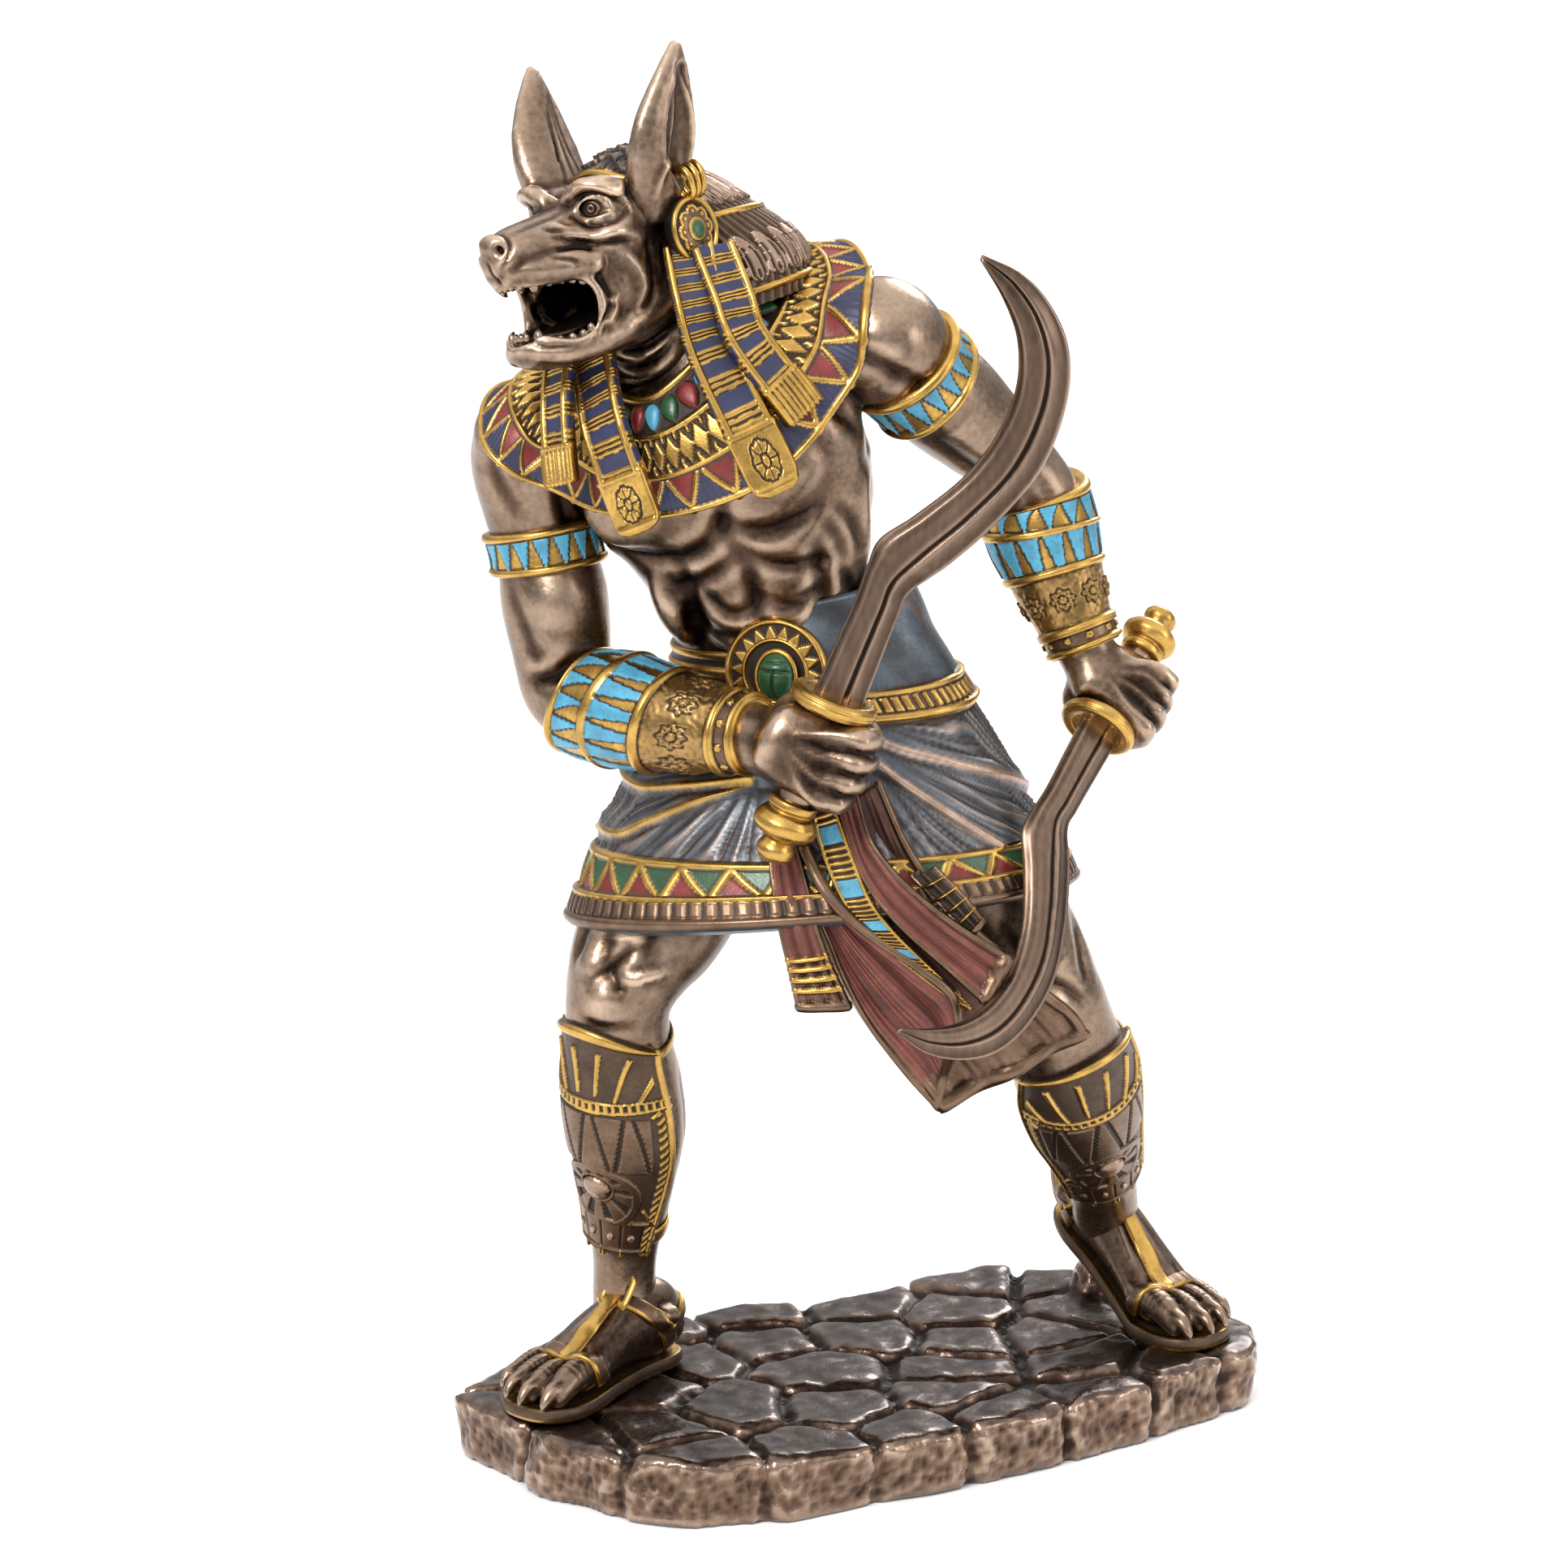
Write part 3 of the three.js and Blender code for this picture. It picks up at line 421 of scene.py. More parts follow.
class Sculpture:
    """A mass of overlapping closed forms that are fused into one skin and carved."""

    def __init__(self, name: str, voxel: float) -> None:
        """Starts an empty mass.

        Args:
            name: The mesh's name.
            voxel: The size of the skin's faces in millimetres.
        """
        self.name = name
        self.voxel = voxel
        self.bm = bmesh.new()
        self.room = bmesh.new()
        self.at = Matrix.Identity(4)
        self.bend: Callable[[Array], Array] | None = None
        self.mesh: bpy.types.Mesh | None = None

    def add(self, surface: Surface, columns: int = 28, rows: int = 28, hollow: bool = False) -> None:
        """Adds a closed form bent from a grid, or takes it away."""
        part = bent_grid(self.name, surface, columns, rows)
        if self.bend:
            write_points(part, self.bend(read_points(part)))
        part.transform(self.at)
        (self.room if hollow else self.bm).from_mesh(part)
        bpy.data.meshes.remove(part)

    def limb(
        self, stations: Rows, across: Triple = (1, 0, 0), cap: float = 0.1, dome: float = 0.6, hollow: bool = False,
    ) -> None:
        """Adds a tapering round form, or takes it away."""
        form = Limb(stations, across)
        self.add(lambda u, v: form.closed(u, v, cap, dome), 28, 8 * len(stations), hollow)

    def ball(self, at: Triple, radii: Triple, axes: Rows = ((1, 0, 0), (0, 1, 0), (0, 0, 1))) -> None:
        """Adds an ellipsoid in the axes given."""
        matrix = Matrix([[axes[c][r] * radii[c] for c in range(3)] + [at[r]] for r in range(3)] + [[0, 0, 0, 1]])
        bmesh.ops.create_uvsphere(self.bm, u_segments=28, v_segments=18, radius=1, matrix=self.at @ matrix)

    def holder(self, bm: bmesh.types.BMesh) -> bpy.types.Object:
        """Puts loose forms into an object that fuses them."""
        mesh = bpy.data.meshes.new(self.name)
        bmesh.ops.recalc_face_normals(bm, faces=bm.faces)
        bm.to_mesh(mesh)
        bm.free()
        made = bpy.data.objects.new(self.name, mesh)
        bpy.context.scene.collection.objects.link(made)
        self.skin(made)
        return made

    def skin(self, holder: bpy.types.Object) -> None:
        """Adds a step that makes one skin of an object's mesh."""
        remesh = holder.modifiers.new("skin", "REMESH")
        remesh.mode = "VOXEL"
        remesh.voxel_size = self.voxel
        remesh.use_smooth_shade = True

    def fuse(self, rounds: int = 4) -> None:
        """Makes one skin of all the forms and softens their joints.

        Args:
            rounds: How often the skin is softened.
        """
        hollow = bool(self.room.verts)
        holders = [self.holder(self.bm)]
        if hollow:
            holders.append(self.holder(self.room))
            cut = holders[0].modifiers.new("room", "BOOLEAN")
            cut.operation, cut.solver, cut.object = "DIFFERENCE", "EXACT", holders[1]
            self.skin(holders[0])
        else:
            self.room.free()
        bpy.context.view_layer.update()
        graph = bpy.context.evaluated_depsgraph_get()
        self.mesh = bpy.data.meshes.new_from_object(holders[0].evaluated_get(graph))
        for holder in holders:
            loose = holder.data
            bpy.data.objects.remove(holder)
            bpy.data.meshes.remove(loose)
        self.mesh.name = self.name
        self.soften(rounds)

    def soften(self, rounds: int, where: Callable[[Array], Array] | None = None) -> None:
        """Smooths the skin, or a share of it that is given for each place."""
        points = read_points(self.mesh)
        moved = Neighbours(self.mesh).relaxed(points, rounds)
        write_points(self.mesh, moved if where is None else points + (moved - points) * where(points)[:, None])

    def carve(self, strokes: Iterable[Stroke], frame_of_path: Matrix | None = None) -> None:
        """Works strokes into the skin, each along the line of the skin nearest to its path.

        Args:
            strokes: The strokes.
            frame_of_path: The frame that their paths are in, if it isn't the mesh's.
        """
        points, normals = read_points(self.mesh), read_normals(self.mesh)
        tree = skin_tree(self.mesh)
        for stroke in strokes:
            path, taper = stroke.samples()
            place = [frame_of_path @ Vector(p) if frame_of_path else Vector(p) for p in path]
            path = np.array([tree.find_nearest(p)[0] for p in place])
            margin = stroke.reach * 2.2
            near = np.flatnonzero(
                np.all((points > path.min(0) - margin) & (points < path.max(0) + margin), axis=1)
            )
            best, weight = np.full(len(near), 1e9), np.zeros(len(near))
            for spot, share in zip(path, taper):
                away = points[near] - spot
                along = np.einsum("ij,ij->i", away, normals[near])
                distance = np.einsum("ij,ij->i", away, away) - 0.7 * along**2
                closer = distance < best
                best[closer], weight[closer] = distance[closer], share
            shape = np.exp(-best / stroke.reach**2) * weight * stroke.height
            points[near] += normals[near] * shape[:, None]
        write_points(self.mesh, points)

    def grain(self, size: float, height: float, seed: float = 0.0) -> None:
        """Roughens the skin with soft noise."""
        points, normals = read_points(self.mesh), read_normals(self.mesh)
        write_points(self.mesh, points + normals * (speckle(points, size, seed) * height)[:, None])


def skin_tree(mesh: bpy.types.Mesh) -> BVHTree:
    """A search tree over a mesh's faces."""
    bm = bmesh.new()
    bm.from_mesh(mesh)
    tree = BVHTree.FromBMesh(bm)
    bm.free()
    return tree


def ribbon(name: str, tree: BVHTree, path: Rows, half: float, thick: float, lift: float = 0.1) -> bpy.types.Mesh:
    """A flat strap that follows the skin along a path.

    Args:
        name: The mesh's name.
        tree: The skin.
        path: Points near the skin.
        half: Half the strap's width.
        thick: Half its thickness.
        lift: How far its middle lies off the skin.

    Returns:
        The mesh.
    """
    raw = spline(path, np.linspace(0, 1, 14 * len(path)))
    found = [tree.find_nearest(Vector(p)) for p in raw]
    place = np.array([f[0] for f in found])
    facing = np.array([f[1] for f in found])
    for _ in range(4):
        place[1:-1] = (place[:-2] + 2 * place[1:-1] + place[2:]) / 4
        facing[1:-1] = (facing[:-2] + 2 * facing[1:-1] + facing[2:]) / 4
    facing = unit(facing)
    tangent = unit(np.gradient(place, axis=0))
    side = unit(np.cross(tangent, facing))
    table = np.hstack([place + facing * lift, side, facing])

    def surface(u: Array, v: Array) -> Array:
        """The strap's skin."""
        rows = spline(table, v)
        cosine, sine = np.cos(TAU * u), np.sin(TAU * u)
        shut = np.where((v <= 0) | (v >= 1), 0.0, 1.0)
        wide = np.sign(cosine) * np.abs(cosine) ** 0.5 * half * shut
        deep = np.sign(sine) * np.abs(sine) ** 0.8 * thick * shut
        return rows[:, :3] + rows[:, 3:6] * wide[:, None] + rows[:, 6:9] * deep[:, None]

    return bent_grid(name, surface, 24, 8 * len(path) + 12)


def laid_on(tree: BVHTree, starts: Array, aims: Array, lift: Array, margin: float = 14.0) -> Array:
    """Drops points onto a skin.

    Args:
        tree: The skin.
        starts: Points near the skin.
        aims: For each, the inner point that it is dropped towards.
        lift: The height over the skin that each comes to rest at.
        margin: How far outside its start each drop begins.

    Returns:
        The points at rest. One that misses the skin stays near its start.
    """
    inward = unit(aims - starts)
    result = starts - inward * lift[:, None]
    for k, (start, way) in enumerate(zip(starts, inward)):
        hit = tree.ray_cast(Vector(start - way * margin), Vector(way), margin * 2.5)[0]
        if hit is not None:
            result[k] = np.asarray(hit) - way * lift[k]
    return result


def off_skin(tree: BVHTree, points: Array, least: float, most: float) -> Array:
    """Moves points to between the least and the most distance outside a skin."""
    result = points.copy()
    for k, point in enumerate(points):
        foot, facing, *_ = tree.find_nearest(Vector(point))
        gap = (Vector(point) - foot).dot(facing)
        result[k] += np.asarray(facing) * (min(max(gap, least), most) - gap)
    return result


# Finishes

@dataclass(frozen=True)
class Coat:
    """A coat of paint or gilding: its colour, how metallic it is and how rough."""

    colour: Triple
    metal: float
    rough: float


class Hue(Enum):
    """The coats that the figure's ornament is painted in."""

    BRONZE = Coat((0.19, 0.120, 0.078), 1.0, 0.34)
    PALE = Coat((0.52, 0.36, 0.27), 1.0, 0.34)
    GOLD = Coat((0.54, 0.325, 0.085), 1.0, 0.28)
    DARK = Coat((0.022, 0.014, 0.011), 0.6, 0.45)
    BLUE = Coat((0.022, 0.030, 0.085), 0.15, 0.42)
    TEAL = Coat((0.070, 0.31, 0.46), 0.05, 0.38)
    RED = Coat((0.22, 0.020, 0.016), 0.15, 0.36)
    GREEN = Coat((0.020, 0.085, 0.032), 0.1, 0.26)
    SLATE = Coat((0.085, 0.105, 0.125), 0.6, 0.36)
    WINE = Coat((0.20, 0.050, 0.040), 0.4, 0.34)
    MAROON = Coat((0.105, 0.036, 0.030), 0.5, 0.38)


class Relief:
    """Height and paint over the places of a surface."""

    def __init__(self, count: int, ground: Hue) -> None:
        """Starts level, in one coat."""
        self.height = np.zeros(count)
        self.colour = np.tile(np.asarray(ground.value.colour), (count, 1))
        self.metal = np.full(count, ground.value.metal)
        self.rough = np.full(count, ground.value.rough)

    def paint(self, where: Array, hue: Hue, share: Array | float = 1.0) -> None:
        """Lays a coat where the mask is true, mixed in by a share."""
        mix = (np.broadcast_to(share, where.shape) * where)[:, None]
        self.colour += mix * (np.asarray(hue.value.colour) - self.colour)
        self.metal += mix[:, 0] * (hue.value.metal - self.metal)
        self.rough += mix[:, 0] * (hue.value.rough - self.rough)

    def inlay(self, where: Array, hue: Hue, height: float) -> None:
        """Sets a mask's places to a height and paints them."""
        self.height = np.where(where, height, self.height)
        self.paint(where, hue)

    def rail(self, distance: Array, half: float, height: float, hue: Hue = Hue.GOLD) -> None:
        """Raises a rounded rail along a line.

        Args:
            distance: How far each place is from the line.
            half: The rail's half width.
            height: How far it stands proud.
            hue: Its coat.
        """
        profile = np.sqrt(np.clip(1 - (distance / half) ** 2, 0, 1))
        self.height = np.maximum(self.height, np.where(profile > 0, height * profile, -FAR_OFF))
        self.paint(np.abs(distance) < half * 0.96, hue)


class Shader:
    """A material's node tree, put together one node at a time."""

    def __init__(self, name: str) -> None:
        """Starts a material with its surface shader."""
        self.material = bpy.data.materials.new(name)
        self.material.use_nodes = True
        self.tree = self.material.node_tree
        self.surface = self.tree.nodes["Principled BSDF"]

    def node(self, kind: str, settings: dict | None = None, **sockets: object) -> bpy.types.Node:
        """Adds a node.

        Args:
            kind: The node's type.
            settings: Its own properties.
            sockets: Values or links for its inputs, by name with _ for a space, or by i and a number.

        Returns:
            The node.
        """
        made = self.tree.nodes.new(kind)
        for key, value in (settings or {}).items():
            setattr(made, key, value)
        for key, value in sockets.items():
            numbered = key[0] == "i" and key[1:].isdigit()
            self.feed(made.inputs[int(key[1:]) if numbered else key.replace("_", " ")], value)
        return made

    def feed(self, socket: bpy.types.NodeSocket, value: object) -> None:
        """Links or sets an input."""
        if isinstance(value, bpy.types.NodeSocket):
            self.tree.links.new(value, socket)
        else:
            socket.default_value = value

    def share(self, name: str) -> bpy.types.NodeSocket:
        """A number stored on the mesh."""
        return self.node("ShaderNodeAttribute", {"attribute_name": name}).outputs["Fac"]

    def colour(self, name: str) -> bpy.types.NodeSocket:
        """A colour stored on the mesh."""
        return self.node("ShaderNodeAttribute", {"attribute_name": name}).outputs["Color"]

    def noise(self, size: float, detail: float = 3.0, stretch: Triple = (1, 1, 1)) -> bpy.types.NodeSocket:
        """Cloudy noise with features of a size in millimetres."""
        place = self.node("ShaderNodeTexCoord").outputs["Object"]
        mapped = self.node("ShaderNodeMapping", None, Vector=place, Scale=stretch).outputs[0]
        made = self.node("ShaderNodeTexNoise", None, Vector=mapped, Scale=1 / (size * MM), Detail=detail)
        return made.outputs["Fac"]

    def math(
        self, operation: str, a: object, b: object = 0.0, c: object = 0.0, clamp: bool = False,
    ) -> bpy.types.NodeSocket:
        """Arithmetic on two or three numbers."""
        settings = {"operation": operation, "use_clamp": clamp}
        return self.node("ShaderNodeMath", settings, i0=a, i1=b, i2=c).outputs[0]

    def varied(self, level: object, noise: object, share: float) -> bpy.types.NodeSocket:
        """A level with noise added to it, as much up as down."""
        return self.math("MULTIPLY_ADD", self.math("SUBTRACT", noise, 0.5), share, level)

    def relief(self, strength: float, distance: float, height: object) -> bpy.types.NodeSocket:
        """The surface's direction, with fine relief of a height in millimetres."""
        settings = {"Strength": strength, "Distance": distance * MM, "Height": height}
        return self.node("ShaderNodeBump", None, **settings).outputs[0]

    def ramp(self, value: object, stops: Sequence[tuple[float, Triple]]) -> bpy.types.NodeSocket:
        """Colours laid out over the range of a number."""
        made = self.node("ShaderNodeValToRGB", None, Fac=value)
        bar = made.color_ramp.elements
        bar[0].position, bar[1].position = stops[0][0], stops[-1][0]
        for place, _ in stops[1:-1]:
            bar.new(place)
        for element, (_, colour) in zip(bar, stops):
            element.color = (*colour, 1)
        return made.outputs["Color"]

    def blend(self, how: str, share: object, a: object, b: object) -> bpy.types.NodeSocket:
        """One colour mixed into another."""
        made = self.node("ShaderNodeMix", {"data_type": "RGBA", "blend_type": how})
        for socket, value in zip((made.inputs[0], made.inputs[6], made.inputs[7]), (share, a, b)):
            self.feed(socket, (*value, 1) if isinstance(value, tuple) and len(value) == 3 else value)
        return made.outputs[2]

    def finish(self, **sockets: object) -> bpy.types.Material:
        """Feeds the surface shader.

        Args:
            sockets: Values or links for its inputs, by name with _ for a space.

        Returns:
            The material.
        """
        for key, value in sockets.items():
            self.feed(self.surface.inputs[key.replace("_", " ")], value)
        return self.material


@dataclass(frozen=True)
class BronzeFinish:
    """Patinated bronze: dark in its recesses, worn pale where it stands proud, and lighter or darker by the painted
    light and shade stored with the proudness.
    """

    name: str
    # The darkest colour: patina in recesses, and painted shade.
    recess: Triple = (0.018, 0.011, 0.008)
    body: Triple = (0.112, 0.070, 0.047)
    # The palest colour: worn metal, and painted light on upward faces.
    worn: Triple = (0.62, 0.455, 0.33)
    metal: float = 0.95
    rough: float = 0.30
    grain: float = 0.35
    base: float = 0.42
    brushed: Triple = (1, 1, 1)

    def make(self) -> bpy.types.Material:
        """Builds the material."""
        shader = Shader(self.name)
        cloud = shader.noise(13.0, 4.0, self.brushed)
        streak = shader.noise(1.1, 3.0, self.brushed)
        fine = shader.noise(0.35, 2.0, self.brushed)
        proud = shader.share("proud")
        level = shader.math("MULTIPLY_ADD", proud, 0.5, self.base)
        level = shader.varied(shader.varied(level, cloud, 0.3), streak, 0.26)
        middle = tuple(0.5 * (a + b) for a, b in zip(self.body, self.worn))
        stops = [(0.10, self.recess), (0.42, self.body), (0.74, middle), (1.0, self.worn)]
        rough = shader.math("MULTIPLY_ADD", streak, 0.2, self.rough - 0.1)
        grain = shader.math("MULTIPLY_ADD", fine, 0.5, streak)
        relief = shader.relief(self.grain, 0.12, grain)
        return shader.finish(
            Base_Color=shader.ramp(level, stops), Metallic=self.metal, Roughness=rough, Normal=relief,
        )


@dataclass(frozen=True)
class InlaidFinish:
    """Gilding and enamel laid on in the coats stored on the mesh, toned down in the recesses."""

    name: str
    toned: float = 0.9
    grime: Triple = (0.045, 0.026, 0.016)
    grain: float = 0.35

    def make(self) -> bpy.types.Material:
        """Builds the material."""
        shader = Shader(self.name)
        cloud = shader.noise(4.0, 4.0)
        streak = shader.noise(0.8, 3.0)
        proud = shader.share("proud")
        coat = shader.colour("coat")
        varied = shader.blend("MULTIPLY", 0.55, coat, shader.ramp(cloud, [(0.3, (0.45,) * 3), (0.7, (1.25,) * 3)]))
        low = shader.math("MULTIPLY_ADD", proud, -1.5, shader.math("MULTIPLY_ADD", streak, 1.3, -0.55))
        low = shader.math("MULTIPLY", low, self.toned, clamp=True)
        colour = shader.blend("MIX", low, varied, self.grime)
        rough = shader.math("MULTIPLY_ADD", streak, 0.24, shader.math("SUBTRACT", shader.share("rough"), 0.1))
        relief = shader.relief(self.grain, 0.1, shader.noise(0.5, 3.0))
        return shader.finish(Base_Color=colour, Metallic=shader.share("metal"), Roughness=rough, Normal=relief)


# The cobbled base

@dataclass(frozen=True)
class CobbledBase:
    """A slab of irregular cobbles with deep joints, cast as one."""

    outline: Rows = (
        (-80, 23), (-78, 8), (-73, -12), (-66, -26), (-55, -37), (-38, -41), (-15, -41.5), (8, -41), (32, -38),
        (54, -33), (74, -27), (82, -14), (80, 3), (73, 22), (65, 35), (50, 43), (28, 40), (8, 40), (-8, 43),
        (-24, 41), (-46, 36), (-66, 31),
    )
    centres: Rows = (
        (-73, 14), (-70, -13), (-54, -33), (-29, -36), (-8, -37), (13, -36), (37, -34), (56, -29), (71, -17),
        (-53, -14), (-33, -8), (-15, -18), (8, -21), (-9, 2), (15, -9), (42, -17), (-11, 22), (10, 17),
        (32, 20), (41, 1), (46, 36), (60, 29), (17, 34), (-6, 37), (-29, 21), (26, 4), (-66, 26), (-45, 8),
        (-30, 36), (68, 9), (57, 10), (-50, 28),
    )
    slab_top: float = 10.6
    joint: float = 1.2
    bevel: float = 2.0
    voxel: float = 0.8
    lump: tuple[float, float, float, float] = (61.9, 17.9, 5.4, 22.0)

    def cell(self, centre: Array) -> list[Array]:
        """The part of the outline that is nearer to a stone's middle than to any other's."""
        cell = [np.asarray(p, float) for p in self.outline]
        for other in np.asarray(self.centres, float):
            away = other - centre
            length = float(np.linalg.norm(away))
            if length < 1e-6:
                continue
            away = away / length
            reach = length / 2 - self.joint / 2
            clipped = []
            for p, q in zip(cell, cell[1:] + cell[:1]):
                a, b = float((p - centre) @ away) - reach, float((q - centre) @ away) - reach
                if a <= 0:
                    clipped.append(p)
                if (a <= 0) != (b <= 0):
                    clipped.append(p + (q - p) * (a / (a - b)))
            cell = clipped
        return [p for p, q in zip(cell, cell[1:] + cell[:1]) if np.linalg.norm(p - q) > 2.4]

    def block(self, bm: bmesh.types.BMesh, corners: Sequence[Array], top: float, bevel: float) -> None:
        """Adds a block with bevelled edges, extruded from a face with the given corners."""
        face = bm.faces.new([bm.verts.new((*p, 0.05)) for p in corners])
        grown = bmesh.ops.extrude_face_region(bm, geom=[face])["geom"]
        bmesh.ops.translate(bm, verts=[v for v in grown if isinstance(v, bmesh.types.BMVert)], vec=(0, 0, top))
        if bevel:
            corners = {v for item in grown if isinstance(item, bmesh.types.BMFace) for v in item.verts}
            edges = {e for v in corners for e in v.link_edges}
            bmesh.ops.bevel(
                bm, geom=list(edges), offset=bevel, segments=3, profile=0.5, affect="EDGES", material=-1,
            )

    def build(self, finisher: Finisher) -> None:
        """Makes the base."""
        mass = Sculpture("base", self.voxel)
        inner = [np.asarray(p) * (1 - 2.2 / math.hypot(*p)) for p in self.outline]
        self.block(mass.bm, inner, self.slab_top, 0)
        for k, centre in enumerate(np.asarray(self.centres, float)):
            settle = 0.35 * (1 + math.sin(k * 2.4))
            self.block(mass.bm, self.cell(centre), BASE_TOP - settle, self.bevel)
        x, y, radius, top = self.lump
        mass.ball((x, y, BASE_TOP - 2), (radius, radius, top + 2 - BASE_TOP))
        mass.fuse(2)
        self.weather(mass)
        write_share(mass.mesh, "proud", proudness(mass.mesh, 10, 0.42))
        side = smooth(0.85, 0.2, np.abs(read_normals(mass.mesh)[:, 2]))
        write_share(mass.mesh, "side", side)
        finisher.piece("cobbled_base", mass.mesh, self.finish(), "cobbles", "base", stance=False)

    def weather(self, mass: Sculpture) -> None:
        """Chips and hollows the stones, the outer ones most."""
        points, normals = read_points(mass.mesh), read_normals(mass.mesh)
        side = smooth(0.8, 0.3, np.abs(normals[:, 2]))
        dents = speckle(points, 8.0, 3.1, 2)
        chips = np.array([noise.voronoi(Vector(p / 6.4))[0][0] for p in points])
        nicks = np.array([noise.voronoi(Vector(p / 1.9) + Vector((7, 3, 1)))[0][0] for p in points])
        height = 0.55 * dents + (0.8 * side + 0.1) * (chips - 0.45) + (0.6 * side + 0.1) * (nicks - 0.45)
        floor = smooth(0.6, 3.0, points[:, 2])
        sway = np.column_stack([speckle(points, 15.0, 21.3, 1), speckle(points, 15.0, 33.9, 1)])
        points += normals * (height * floor - 0.3)[:, None]
        points[:, :2] += 1.9 * sway
        points[:, 2] = np.where(points[:, 2] < 0.7, 0.0, points[:, 2])
        write_points(mass.mesh, points)

    def finish(self) -> bpy.types.Material:
        """Dark glossy bronze, worn to copper on the outer faces and the upper edges."""
        shader = Shader("cobbles")
        cloud, streak = shader.noise(9.0, 5.0), shader.noise(1.5, 4.0, (1, 1, 0.4))
        proud, side = shader.share("proud"), shader.share("side")
        level = shader.math("MULTIPLY_ADD", proud, 0.27, 0.21)
        level = shader.math("MULTIPLY_ADD", side, 0.25, level)
        level = shader.varied(shader.varied(level, cloud, 0.3), streak, 0.22)
        stops = [(0.06, (0.014, 0.008, 0.006)), (0.3, (0.048, 0.026, 0.018)), (0.52, (0.20, 0.125, 0.084)),
                 (0.8, (0.52, 0.375, 0.27))]
        rough = shader.math("MULTIPLY_ADD", streak, 0.26, shader.math("MULTIPLY_ADD", proud, -0.25, 0.21))
        coat = shader.math("MULTIPLY_ADD", proud, 0.9, 0.05, clamp=True)
        relief = shader.relief(0.6, 0.35, shader.noise(1.8, 5.0))
        return shader.finish(
            Base_Color=shader.ramp(level, stops), Metallic=0.85, Roughness=rough, Normal=relief, Coat_Weight=coat,
            Coat_Roughness=0.18,
        )


# The sickle swords

